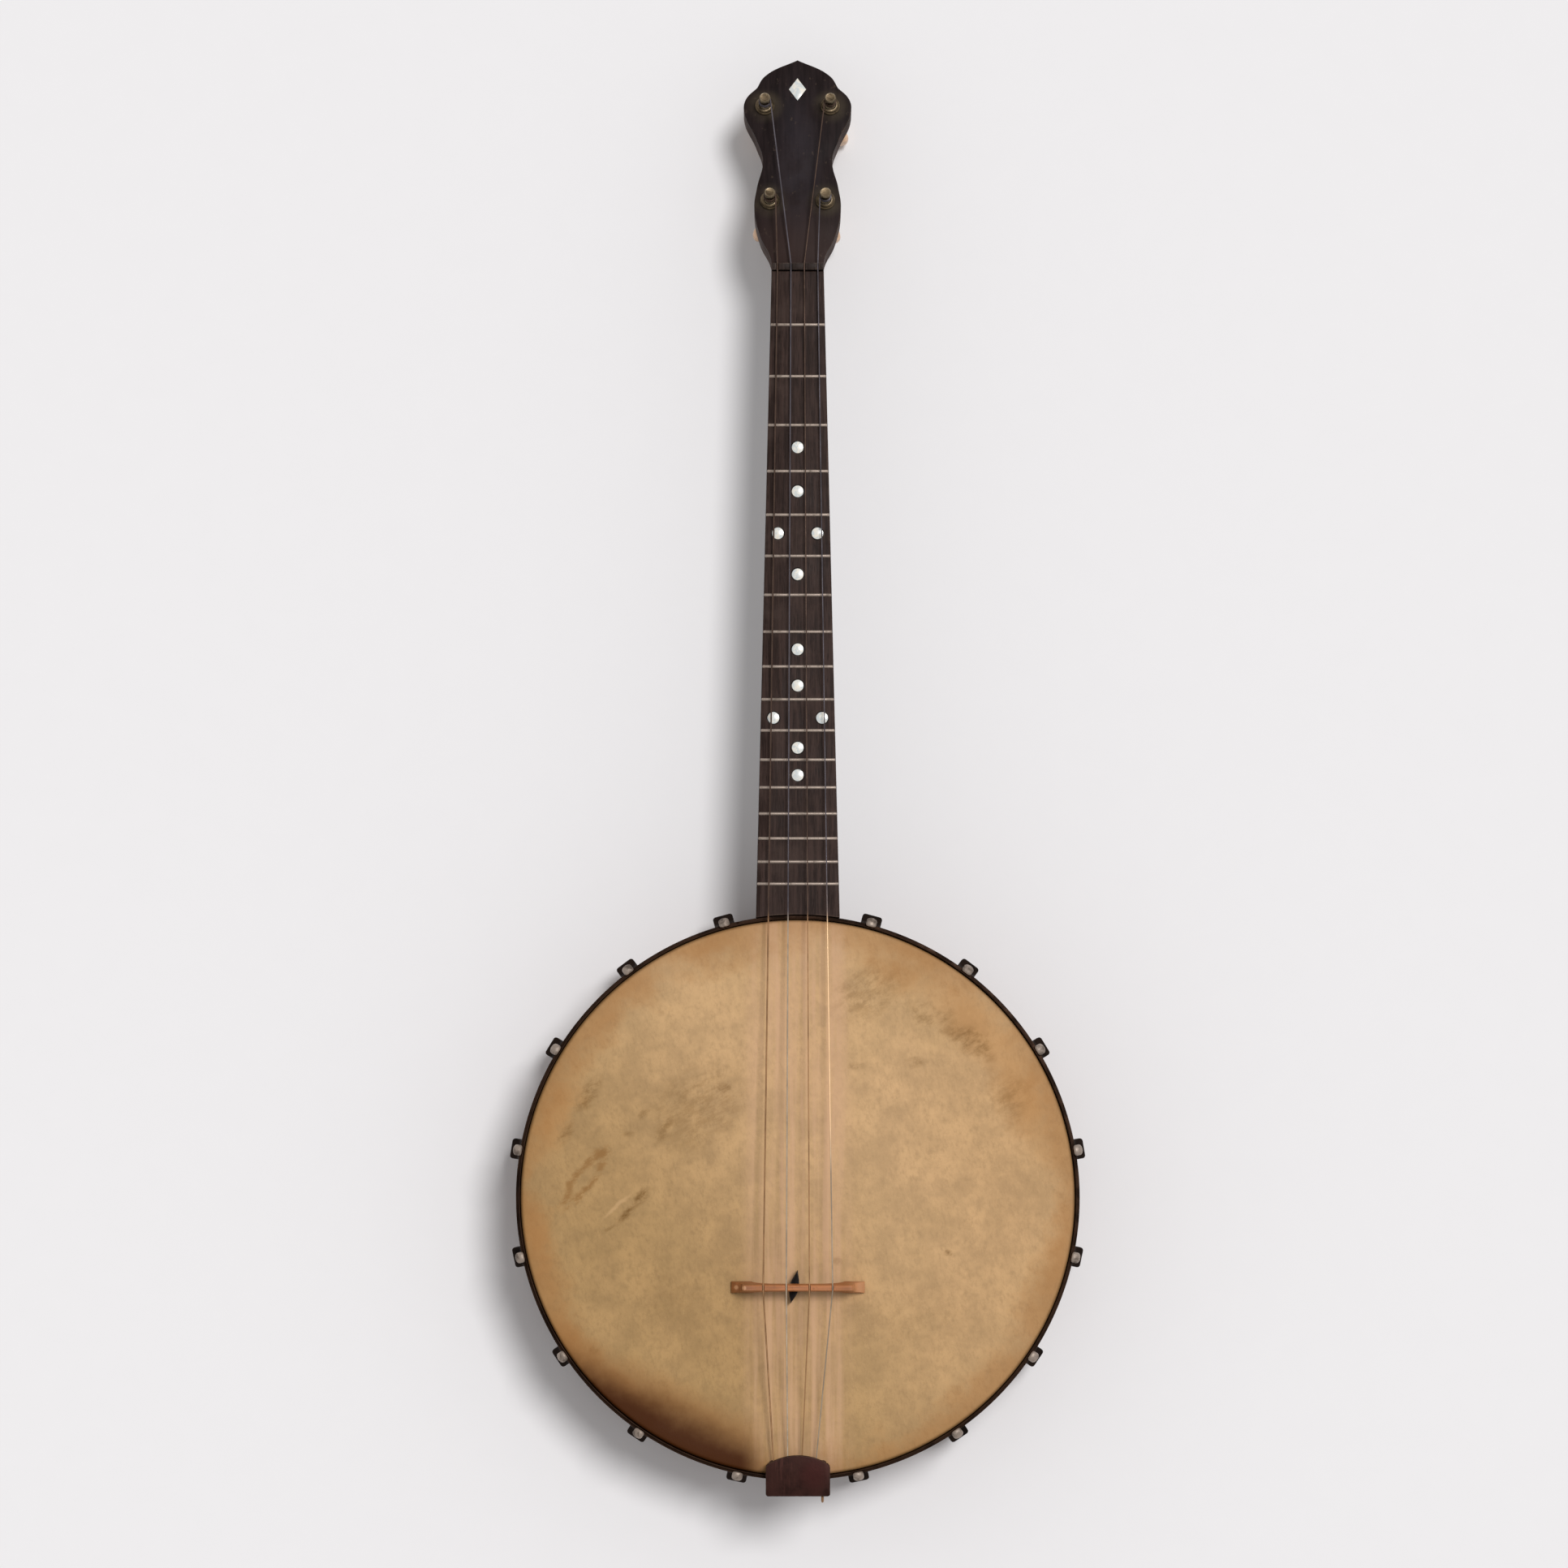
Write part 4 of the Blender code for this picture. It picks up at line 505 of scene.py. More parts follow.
def arc(middle, radius, start, end, count):
    """Points round a middle, from one angle to another in degrees."""
    turns = [radians(start + (end - start) * step / (count - 1)) for step in range(count)]
    return [(middle[0] + radius * cos(turn), middle[1] + radius * sin(turn)) for turn in turns]


def spun(shape, geometry, turn, steps, middle=(0, 0, 0)):
    """Sweeps points and edges round an upright axis, and gives the last of them."""
    return bmesh.ops.spin(
        shape, geom=geometry, cent=middle, axis=(0, 0, 1), dvec=(0, 0, 0), angle=turn, steps=steps,
        use_merge=turn == tau, use_duplicate=False
    )["geom_last"]


def turned(profile, steps):
    """A ring or disc from (radius, height) points. A first radius of 0 leaves the profile open."""
    shape = bmesh.new()
    corners = [shape.verts.new((radius, 0, height)) for radius, height in profile]
    edges = [shape.edges.new(pair) for pair in zip(corners, corners[1:])]
    if profile[0][0] > 0:
        edges.append(shape.edges.new((corners[-1], corners[0])))
    spun(shape, corners + edges, tau, steps)
    bmesh.ops.remove_doubles(shape, verts=shape.verts, dist=WELD)
    return outward(shape)


def ring(outer, inner, bottom, top, steps):
    return turned([(outer, top), (outer, bottom), (inner, bottom), (inner, top)], steps)


def sleeve(radius, bore, length, middle, axis="Z", sides=28, edge=0.0002):
    """A tube with a bore through it."""
    shape = moved(ring(radius, bore, -length / 2, length / 2, sides), AXIS_TURNS[axis])
    return moved(eased(shape, edge, 2), Matrix.Translation(middle))


def block(size_xyz, middle=(0, 0, 0), edge=0.0, segments=2):
    shape = bmesh.new()
    matrix = Matrix.Translation(middle) @ scaling(*size_xyz)
    bmesh.ops.create_cube(shape, size=1.0, matrix=matrix)
    return eased(shape, edge, segments) if edge else shape


def rod(radius, length, middle=(0, 0, 0), axis="Z", sides=24, edge=0.0):
    shape = bmesh.new()
    bmesh.ops.create_cone(
        shape, cap_ends=True, segments=sides, radius1=radius, radius2=radius, depth=length,
        matrix=Matrix.Translation(middle) @ AXIS_TURNS[axis]
    )
    return eased(shape, edge, 2) if edge else shape


def hexagon(radius, length, middle, axis="Z"):
    """A hexagon nut's body, with its corners turned off."""
    shape = rod(radius, length, sides=6)
    corner, slope = 0.16 * radius, 0.62
    edges = [edge for edge in shape.edges if not climbing(WELD)(edge)]
    bmesh.ops.subdivide_edges(shape, edges=edges, cuts=3, use_grid_fill=False)
    for vertex in shape.verts:
        over = max(0.0, vertex.co.xy.length - (radius - corner)) * slope
        vertex.co.z -= over if vertex.co.z > 0 else -over
    eased(shape, 0.05 * radius, 1, over=radians(28))
    return moved(shape, Matrix.Translation(middle) @ AXIS_TURNS[axis])


def circle(shape, sides, matrix=Matrix.Identity(4)):
    """A unit circle's points and edges, added to a shape."""
    made = bmesh.ops.create_circle(shape, cap_ends=False, segments=sides, radius=1.0, matrix=matrix)
    edges = dict.fromkeys(edge for vertex in made["verts"] for edge in vertex.link_edges)
    return made["verts"], list(edges)


def bridged(shape, rings):
    """Joins rings of edges into a closed tube."""
    for near, far in zip(rings, rings[1:]):
        bmesh.ops.bridge_loops(shape, edges=near + far)
    for end in (rings[0], rings[-1]):
        bmesh.ops.edgeloop_fill(shape, edges=end)
    return outward(shape)


def swept(sections, sides=16):
    """A closed tube through unit circles, each put in place by a matrix."""
    shape = bmesh.new()
    return bridged(shape, [circle(shape, sides, matrix)[1] for matrix in sections])


def gathered(*shapes):
    """One bmesh of several."""
    whole = bmesh.new()
    for shape in shapes:
        mesh = bpy.data.meshes.new("gathered")
        shape.to_mesh(mesh)
        shape.free()
        whole.from_mesh(mesh)
        bpy.data.meshes.remove(mesh)
    return whole


def copied(shape, matrices):
    """One bmesh of a shape at each of several places."""
    return gathered(*[moved(shape.copy(), matrix) for matrix in matrices])


def polygon(points):
    shape = bmesh.new()
    shape.faces.new([shape.verts.new(point) for point in points])
    return shape


def extruded(shape, way):
    """A flat face made solid."""
    raised = bmesh.ops.extrude_face_region(shape, geom=shape.faces[:])["geom"]
    vertices = [item for item in raised if isinstance(item, BMVert)]
    bmesh.ops.translate(shape, vec=way, verts=vertices)
    return outward(shape)


def thickened(shape, bottom, top):
    """A flat face made a plate between two heights."""
    return extruded(moved(shape, shift(z=bottom)), (0, 0, top - bottom))


def flat_outline(right_half, resolution):
    """A flat face from the right half of its outline, top to bottom: (x, y, is_corner) points."""
    outline = right_half + [(-x, y, corner) for x, y, corner in reversed(right_half) if x > 0]
    curve = bpy.data.curves.new("outline", "CURVE")
    curve.dimensions = "2D"
    curve.fill_mode = "NONE"
    curve.resolution_u = resolution
    spline = curve.splines.new("BEZIER")
    spline.bezier_points.add(len(outline) - 1)
    for point, (x, y, corner) in zip(spline.bezier_points, outline):
        point.handle_left_type = "VECTOR" if corner else "AUTO"
        point.handle_right_type = point.handle_left_type
        point.co = (x, y, 0)
    spline.use_cyclic_u = True
    shape = shape_of(bpy.data.objects.new("outline", curve))
    bmesh.ops.remove_doubles(shape, verts=shape.verts, dist=WELD)
    bmesh.ops.edgeloop_fill(shape, edges=shape.edges)
    return shape


def shape_of(obj):
    """The bmesh that an object shows. The object goes."""
    bpy.context.scene.collection.objects.link(obj)
    bpy.context.view_layer.update()
    graph = bpy.context.evaluated_depsgraph_get()
    mesh = bpy.data.meshes.new_from_object(obj.evaluated_get(graph))
    shape = bmesh.new()
    shape.from_mesh(mesh)
    bpy.data.meshes.remove(mesh)
    bpy.data.objects.remove(obj)
    return shape


def loose_object(shape, name="loose"):
    mesh = bpy.data.meshes.new(name)
    shape.to_mesh(mesh)
    shape.free()
    return bpy.data.objects.new(name, mesh)


def combined(operation, shape, *tools):
    """A shape with others joined to it or cut from it."""
    obj = loose_object(shape)
    helpers = [loose_object(tool) for tool in tools]
    for helper in helpers:
        bpy.context.scene.collection.objects.link(helper)
        modifier = obj.modifiers.new("tool", "BOOLEAN")
        modifier.operation = operation
        modifier.solver = "EXACT"
        modifier.object = helper
    made = shape_of(obj)
    for helper in helpers:
        bpy.data.objects.remove(helper)
    bmesh.ops.remove_doubles(made, verts=made.verts, dist=WELD)
    return made


def cut(shape, *tools):
    return combined("DIFFERENCE", shape, *tools)


def shown(name, shape, finish, node=None, body="banjo", at=POT, sharp_from=radians(34)):
    """A finished piece: its place goes into its mesh, and it rides on its body."""
    obj = loose_object(moved(shape, at), name)
    obj.data.shade_smooth()
    obj.data.set_sharp_from_angle(angle=sharp_from)
    obj.data.materials.append(look_for(finish))
    bpy.context.scene.collection.objects.link(obj)
    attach(obj, body)
    if node:
        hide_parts(node)
    return obj


# Materials


class Look:
    """A procedural material, built in front of its shader: its colour is laid on coat by coat."""

    def __init__(self, name, colour, constants):
        self.material = bpy.data.materials.new(name)
        self.material.use_nodes = True
        self.tree = self.material.node_tree
        self.shader = self.tree.nodes["Principled BSDF"]
        self.colour = colour
        for socket, value in constants.items():
            self.shader.inputs[socket].default_value = value

    def node(self, kind, sockets, output=0, **settings):
        """A node with its settings and sockets, and the output that is wanted of it."""
        made = self.tree.nodes.new("ShaderNode" + kind)
        for name, value in settings.items():
            setattr(made, name, value)
        for name, value in sockets.items():
            self.put(made.inputs[name], value)
        return made.outputs[output]

    def put(self, socket, value):
        if isinstance(value, NodeSocket):
            self.tree.links.new(value, socket)
        elif socket.type == "RGBA":
            socket.default_value = (*value, 1.0)
        else:
            socket.default_value = value

    def maths(self, operation, *values, kind="Math", output=0):
        return self.node(kind, dict(enumerate(values)), output, operation=operation)

    def vectors(self, operation, *values, output="Vector"):
        return self.maths(operation, *values, kind="VectorMath", output=output)

    def total(self, *terms):
        """The sum of several values, each times its share."""
        whole = 0.0
        for value, share in terms:
            whole = self.maths("MULTIPLY_ADD", value, share, whole)
        return whole

    def parts(self, vector):
        """A vector's X, Y and Z."""
        return self.node("SeparateXYZ", {"Vector": vector}).node.outputs

    def place(self, at=(0, 0, 0), turn=0.0, stretch=(1, 1, 1), start="Object"):
        """Coordinates about a point, turned about Z and measured in a size along each axis."""
        if isinstance(start, str):
            start = self.node("TexCoord", {}, start)
        sockets = {"Vector": start, "Location": at, "Rotation": (0, 0, turn), "Scale": stretch}
        return self.node("Mapping", sockets, vector_type="TEXTURE")

    def away(self, at, wide=1.0, long=1.0, turn=0.0, start="Object"):
        """How far a point lies from an upright axis, where an ellipse round that is at 1."""
        own = self.place(at, turn, (wide, long, FAR), start)
        return self.vectors("LENGTH", own, output="Value")

    def noise(self, scale, detail=3.0, rough=0.5, twist=0.0, output="Fac", **place):
        sockets = {"Vector": self.place(**place), "Scale": scale, "Detail": detail}
        return self.node("TexNoise", {**sockets, "Roughness": rough, "Distortion": twist}, output)

    def level(self, value, low, high, bottom=0.0, top=1.0, kind="SMOOTHSTEP"):
        """A value between two levels that goes from one number to another."""
        sockets = {"Value": value, "From Min": low, "From Max": high, "To Min": bottom, "To Max": top}
        return self.node("MapRange", sockets, interpolation_type=kind)

    def sway(self, value, spread, reach):
        """Noise about 0, in a straight line up to a reach on either side."""
        return self.level(value, 0.5 - spread, 0.5 + spread, -reach, reach, "LINEAR")

    def coat(self, colour, value, low, high, share=1.0, mask=None, blend="MIX"):
        """Lays a colour where a value goes from low to high, as far as a mask lets it."""
        factor = self.level(value, low, high, 0.0, share)
        if mask is not None:
            factor = self.maths("MULTIPLY", factor, mask)
        sockets = {"Fac": factor, "Color1": self.colour, "Color2": colour}
        self.colour = self.node("MixRGB", sockets, "Color", blend_type=blend)

    def wear(self, colour, radius, value, low, high, share, least=0.0):
        """Lays a colour where a normal rounded off over a radius leaves the true one."""
        rounded_off = self.node("Bevel", {"Radius": radius}, "Normal", samples=4)
        true = self.node("NewGeometry", {}, "Normal")
        facing = self.vectors("DOT_PRODUCT", rounded_off, true, output="Value")
        broken = self.level(value, low, high, least, share)
        self.coat(colour, facing, 0.985, 0.86, mask=broken)

    def finish(self, roughness, height, strength, distance):
        bump = {"Height": height, "Strength": strength, "Distance": distance}
        self.put(self.shader.inputs["Base Color"], self.colour)
        self.put(self.shader.inputs["Roughness"], roughness)
        self.put(self.shader.inputs["Normal"], self.node("Bump", bump, "Normal"))
        return self.material


def shade(colour, *shares):
    """A colour times one share, or each of its parts times its own."""
    return tuple(part * share for part, share in zip(colour, shares * (3 // len(shares))))


def wood(name, colour, dark=0.5, light=1.35, roughness=0.45, wear=None, gloss=0.25):
    """Wood whose grain runs along Y."""
    look = Look(name, shade(colour, dark), {"Specular IOR Level": gloss})
    grain = (0.05, 0.7, 0.05)
    figure = look.noise(6.0, 5.0, 0.55, 0.6, stretch=grain)
    fibre = look.noise(62.0, 3.0, 0.7, stretch=grain)
    pores = look.noise(150.0, 2.0, 0.6, stretch=grain)
    blotch = look.noise(26.0, 2.0)
    look.coat(shade(colour, light), figure, 0.32, 0.68)
    look.coat(shade(colour, dark * 0.8), fibre, 0.4, 0.7, 0.5)
    look.coat(shade(colour, 0.35), pores, 0.62, 0.72, 0.7)
    look.coat(shade(colour, 0.62), blotch, 0.35, 0.7, 0.35)
    if wear:
        look.wear(wear, 0.0012, look.noise(240.0, 4.0, 0.65), 0.42, 0.62, 0.8)
    rough = look.level(blotch, 0.3, 0.7, roughness - 0.07, roughness + 0.12)
    return look.finish(rough, look.total((pores, -0.6), (fibre, 0.4)), 0.4, 0.0003)


def metal(
    name, colour, tarnish, share=0.5, roughness=0.38, metallic=1.0, wear=None, patch=90.0, gloss=0.5
):
    """Metal with tarnish in patches, fine scratches and brighter edges."""
    look = Look(name, colour, {"Metallic": metallic, "Specular IOR Level": gloss})
    patches = look.noise(patch, 5.0, 0.62, 0.4)
    specks = look.noise(patch * 9, 3.0, 0.6)
    scratches = look.noise(420.0, 2.0, 0.6, turn=0.6, stretch=(0.03, 1.0, 0.3))
    look.coat(tarnish, patches, 0.62 - 0.3 * share, 0.86 - 0.4 * share)
    look.coat(shade(tarnish, 0.7), specks, 0.56, 0.72, 0.6)
    if wear:
        look.wear(wear, 0.0006, specks, 0.25, 0.55, 0.85)
    dull = look.level(patches, 0.35, 0.7, roughness - 0.08, roughness + 0.2)
    rough = look.maths("ADD", dull, look.level(scratches, 0.55, 0.75, 0.0, 0.12))
    return look.finish(rough, look.total((specks, 0.7), (scratches, 1)), 0.18, 0.0002)


# Marks on the skin in millimetres from the pot's middle:
# across, up, half length, half width, turn in degrees, darkness
SMUDGES = (
    (36, 104, 20, 15, 20, 0.36), (30, 66, 5, 2.5, 0, 0.35), (60, 68, 6, 3, 10, 0.42),
    (69, 91, 13, 6, -25, 0.50), (89, 79, 13, 7, -30, 0.62), (108, 50, 9, 13, 10, 0.35),
    (-50, 46, 26, 20, 30, 0.34), (-78, 42, 4, 2, 50, 0.50), (-68, 34, 8, 3, 60, 0.45),
    (-86, 32, 3, 2, 0, 0.45), (-37, 53, 4, 5, 0, 0.42), (-106, 52, 10, 4.5, 58, 0.62),
    (-117, 32, 6, 3, 55, 0.55), (-99, 21, 6, 2.8, 54, 0.50), (-79, 0, 6, 3, 50, 0.85),
    (-87, -9, 6.5, 2.4, 42, 0.85), (-96, -16, 4, 1, 30, 0.55), (76, -28, 2.2, 1.8, 0, 0.75),
    (-103, -78, 3, 2.5, 0, 0.40), (-112, 12, 3, 1.6, 30, 0.45), (-106, 4, 2.2, 1.5, 0, 0.45),
    (20, -33, 3, 3, 0, 0.30), (-62, -52, 20, 14, -20, 0.12), (60, -60, 30, 20, 15, 0.12)
)
# Orange-brown patches near the edge, in the same way
TANS = (
    (-122, 42, 26, 9, 68, 0.50), (-132, -22, 26, 7, 100, 0.45), (-118, -72, 16, 9, 125, 0.40),
    (114, 50, 30, 13, 113, 0.62), (88, 88, 26, 13, 135, 0.55), (50, 112, 22, 9, 155, 0.35),
    (60, 124, 16, 6, 155, 0.40), (-46, 129, 18, 6, 20, 0.40), (-90, 100, 20, 6, 48, 0.30),
    (130, -30, 26, 7, 78, 0.40), (-86, -98, 16, 8, -40, 0.35)
)
# A faint loop and a light crease at the left
LOOP = (-108, 9, 14.5, 4.6, 54)
CREASE = (-91.5, -5, 9, 1.0, 42)
SMALL_MARK = 5


def skin_look(colours):
    """Calf skin: mottled fibres, grime, an orange-brown edge and a burn at the lower left, with painted
    shade towards the lower left and a painted shadow ring at the hoop.
    """
    clean, edge, middle = colours.skin, colours.skin_edge, POT.translation
    look = Look("aged_skin", shade(clean, 0.86), {"Specular IOR Level": 0.06})
    pot = look.place(middle)
    broad = look.noise(14.0, 4.0, 0.55, start=pot)
    cloud = look.noise(62.0, 5.0, 0.6, start=pot)
    mottle = look.noise(190.0, 5.0, 0.62, start=pot)
    fibre = look.noise(560.0, 4.0, 0.7, at=middle, turn=0.25, stretch=(1, 2.2, 1))
    pores = look.noise(1500.0, 2.0, 0.5, start=pot)
    look.coat(shade(clean, 1.11), cloud, 0.3, 0.7)
    look.coat(shade(clean, 0.82, 0.84, 0.74), broad, 0.42, 0.68, 0.25)
    look.coat(shade(clean, 0.72), mottle, 0.48, 0.68, 0.36)
    look.coat(shade(clean, 1.18), mottle, 0.42, 0.25, 0.35)
    look.coat(shade(clean, 0.64), fibre, 0.45, 0.75, 0.45)
    look.coat(shade(clean, 1.26), fibre, 0.42, 0.25, 0.3)

    # Painted shade: darker and browner towards the lower left, away from the light. The far right is
    # also made a little darker
    across, up = look.parts(pot)[:2]
    slant = look.total((across, 0.75), (up, 0.66), (look.sway(broad, 0.3, 0.02), 1))
    look.coat((0.72, 0.70, 0.60), slant, 0.055, -0.09, blend="MULTIPLY")
    look.coat((0.95, 0.93, 0.90), across, 0.03, 0.11, blend="MULTIPLY")

    # Paler, pinker bands under the strings
    streaks = look.noise(22.0, 3.0, 0.6, at=middle, stretch=(0.1, 2.4, 1))
    banded = look.level(streaks, 0.34, 0.64, 0.10, 0.70)
    side = look.maths("ABSOLUTE", across)
    look.coat(shade(clean, 1.09, 1.05, 1.24), side, 0.031, 0.016, mask=banded)

    # Marks: patches whose edges the noise breaks up, and smaller ones that it leaves truer
    wander = look.noise(95.0, 5.0, 0.62, output="Color", start=pot)
    wander = look.vectors("SUBTRACT", wander, (0.5,) * 3)

    def from_mark(stray, x, y, long, short, turn):
        where = look.vectors("MULTIPLY_ADD", wander, (stray,) * 3, pot)
        return look.away((x * MM, y * MM, 0), long * MM, short * MM, radians(turn), where)

    flecks = look.noise(260.0, 4.0, 0.7, at=middle, turn=0.5, stretch=(2.0, 1, 1))
    broken = look.level(flecks, 0.36, 0.66, 0.15, 1.0)
    loose, true = 0.018, 0.0045
    for *form, dark in TANS:
        look.coat(shade(clean, 0.80, 0.62, 0.42), from_mark(loose, *form), 1.4, 0.1, dark)
    for *form, dark in SMUDGES:
        stray = true if form[3] < SMALL_MARK else loose
        look.coat(colours.smudge, from_mark(stray, *form), 1.35, 0.35, dark, mask=broken)
    off_line = look.maths("ABSOLUTE", look.maths("SUBTRACT", from_mark(0.009, *LOOP), 1.0))
    parted = look.level(flecks, 0.38, 0.55, 0.15, 1.0)
    look.coat(shade(clean, 0.50, 0.40, 0.26), off_line, 0.55, 0.05, 0.80, mask=parted)
    look.coat(shade(clean, 1.25), from_mark(true, *CREASE), 1.4, 0.3, 0.35)

    # Edge band and burn
    out = look.away(middle)
    ragged = look.total((out, 1), (look.sway(broad, 0.25, 0.011), 1), (look.sway(cloud, 0.25, 0.009), 1))
    look.coat(edge, ragged, 0.123, 0.141, 0.50)
    # Painted shade: a dark ring where the skin curves down into the hoop
    look.coat(shade(edge, 0.40), out, 0.1386, 0.1408, 0.45)
    down = look.total((across, -0.4246), (up, -0.9054), (look.sway(cloud, 0.3, 0.0035), 1))
    left = look.level(across, -0.012, -0.030)
    look.coat(shade(edge, 0.80), down, 0.105, 0.122, 0.65, mask=left)
    look.coat(colours.burn, down, 0.114, 0.1335, 0.98, mask=left)

    height = look.total((fibre, 0.8), (pores, 0.35), (mottle, 0.8))
    return look.finish(look.level(cloud, 0.3, 0.7, 0.44, 0.62), height, 0.22, 0.0004)


def pearl_look(pearl):
    look = Look("pearl", shade(pearl, 0.74, 0.84, 0.95), {"Coat Weight": 0.6, "Coat Roughness": 0.1})
    cells = look.noise(420.0, 3.0, 0.6, 1.4, stretch=(1, 1.6, 1))
    look.coat(pearl, cells, 0.38, 0.62)
    look.coat(shade(pearl, 1.0, 0.90, 0.78), cells, 0.6, 0.75, 0.7)
    return look.finish(look.level(cells, 0.3, 0.7, 0.18, 0.34), cells, 0.06, 0.0002)


def button_look(cream):
    look = Look("button", shade(cream, 0.78), {"Coat Weight": 0.35, "Coat Roughness": 0.2})
    swirl = look.noise(130.0, 4.0, 0.6, 1.0, stretch=(1, 1, 0.4))
    dirt = look.noise(420.0, 4.0, 0.65)
    look.coat(shade(cream, 1.08), swirl, 0.35, 0.65)
    look.coat(shade(cream, 0.42), dirt, 0.55, 0.75, 0.6)
    return look.finish(look.level(swirl, 0.3, 0.7, 0.3, 0.45), dirt, 0.1, 0.0002)


def string_look(name, colour, wrap=None, painted_highlight=None):
    """String metal, dull in patches, with an optional painted highlight over the skin and painted shade
    over the neck. A wound string has turns of wrap.
    """
    look = Look(name, colour, {"Metallic": 0.4, "Specular IOR Level": 0.2})
    dull = look.noise(90.0, 4.0, 0.6)
    look.coat(shade(colour, 0.72), dull, 0.4, 0.65)
    if painted_highlight:
        # Painted highlight: a bright stretch of the string over the upper skin
        look.coat(painted_highlight, look.away(POT @ Vector((0, 0.088, 0)), FAR, 0.080), 1.0, 0.55)
    height = look.noise(2600.0, 2.0)
    if wrap:
        sockets = {"Vector": look.place(), "Scale": 1 / (pi * wrap), "Distortion": 0.0}
        turns = look.node("TexWave", sockets, "Fac", bands_direction="Y", wave_profile="SIN")
        height = look.total((turns, 1), (height, 0.2))
        look.coat(shade(colour, 0.35), turns, 0.4, 0.0, 0.6)
    # Painted shade: every string is darkened beyond the hoop, over the neck and headstock
    up = look.parts(look.place(POT.translation))[1]
    look.coat((0.24, 0.26, 0.40), up, 0.136, 0.146, blend="MULTIPLY")
    return look.finish(look.level(dull, 0.3, 0.7, 0.3, 0.55), height, 0.35, 0.0001)


def rim_look(rim):
    """Bent plies: grain runs round the rim, and glue lines show on its back edge."""
    constants = {"Specular IOR Level": 0.3, "Coat Weight": 0.1, "Coat Roughness": 0.3}
    look = Look("rim_wood", shade(rim, 0.55), constants)
    figure = look.noise(5.0, 5.0, 0.6, 0.5, stretch=(0.06, 1, 1), start="UV")
    fibre = look.noise(48.0, 3.0, 0.7, stretch=(0.05, 1, 1), start="UV")
    pores = look.noise(40.0, 2.0, 0.6, stretch=(0.02, 0.35, 1), start="UV")
    look.coat(shade(rim, 1.3), figure, 0.3, 0.7)
    look.coat(shade(rim, 0.5), fibre, 0.45, 0.7, 0.5)
    look.coat(shade(rim, 0.3), pores, 0.6, 0.7, 0.7)
    ply = 0.00383
    plies = look.maths("MULTIPLY_ADD", look.away(POT.translation), 1 / ply, 0.02)
    facing_up = look.maths("ABSOLUTE", look.parts(look.node("NewGeometry", {}, "Normal"))[2])
    on_edge = look.level(facing_up, 0.6, 0.9, 0.0, 0.75)
    look.coat(shade(rim, 0.25), look.maths("PINGPONG", plies, 0.5), 0.05, 0.02, mask=on_edge)
    scuff = look.noise(150.0, 4.0, 0.65)
    look.wear((0.30, 0.17, 0.085), 0.0015, scuff, 0.4, 0.6, 0.7)
    height = look.total((pores, -0.6), (fibre, 0.4))
    return look.finish(look.level(scuff, 0.35, 0.65, 0.34, 0.52), height, 0.35, 0.0003)


def board_look(board):
    """Dark board: fine lengthwise grain and pores, with brown grime and worn edges."""
    look = Look("board_wood", shade(board, 0.6), {"Specular IOR Level": 0.05})
    grain = look.noise(34.0, 4.0, 0.7, stretch=(0.06, 1.4, 0.06))
    pores = look.noise(90.0, 2.0, 0.6, stretch=(0.05, 0.7, 0.05))
    cloud = look.noise(55.0, 4.0, 0.6)
    look.coat(shade(board, 1.35), grain, 0.35, 0.65)
    look.coat(shade(board, 0.35), pores, 0.58, 0.7, 0.75)
    look.coat((0.075, 0.050, 0.042), cloud, 0.45, 0.7, 0.4)
    look.wear((0.12, 0.075, 0.055), 0.001, cloud, 0.35, 0.6, 0.7)
    height = look.total((pores, -0.8), (grain, 0.3))
    return look.finish(look.level(cloud, 0.3, 0.7, 0.40, 0.58), height, 0.4, 0.0003)


def veneer_look(black, face):
    """Near-black veneer with a painted cool sheen along its middle and a brown bloom by each post."""
    look = Look("headstock_veneer", shade(black, 0.7), {"Specular IOR Level": 0.05})
    grain = look.noise(30.0, 4.0, 0.65, stretch=(0.07, 1.2, 0.2))
    cloud = look.noise(70.0, 5.0, 0.6)
    craze = look.noise(300.0, 3.0, 0.7, stretch=(0.8, 1.3, 1))
    look.coat(shade(black, 1.25), grain, 0.35, 0.65)
    by_nut = look.away(face @ Vector((0, 0.008, 0)), 0.030, 0.034)
    look.coat((0.050, 0.029, 0.024), by_nut, 1.2, 0.2, 0.55)
    # Painted sheen: a cooler, lighter patch along the middle of the face, broken up by noise
    middle = look.away(face @ Vector((0, 0.060, 0)), 0.012, 0.045)
    painted_sheen_patches = look.level(cloud, 0.3, 0.6, 0.4, 1.0)
    look.coat((0.036, 0.030, 0.037), middle, 1.3, 0.2, 0.45, mask=painted_sheen_patches)
    stained = look.level(cloud, 0.3, 0.65, 0.3, 1.0)
    for _, across, along, _ in PEGS.values():
        post = look.away(face @ Vector((across, along, 0)), 0.009, 0.0085)
        look.coat((0.070, 0.054, 0.034), post, 1.25, 0.5, 0.6, mask=stained)
    look.coat((0.10, 0.070, 0.050), craze, 0.62, 0.74, 0.45)
    look.wear((0.11, 0.066, 0.042), 0.0008, craze, 0.35, 0.6, 0.8)
    height = look.total((grain, 0.5), (craze, 0.4))
    return look.finish(look.level(cloud, 0.3, 0.7, 0.30, 0.5), height, 0.2, 0.0002)


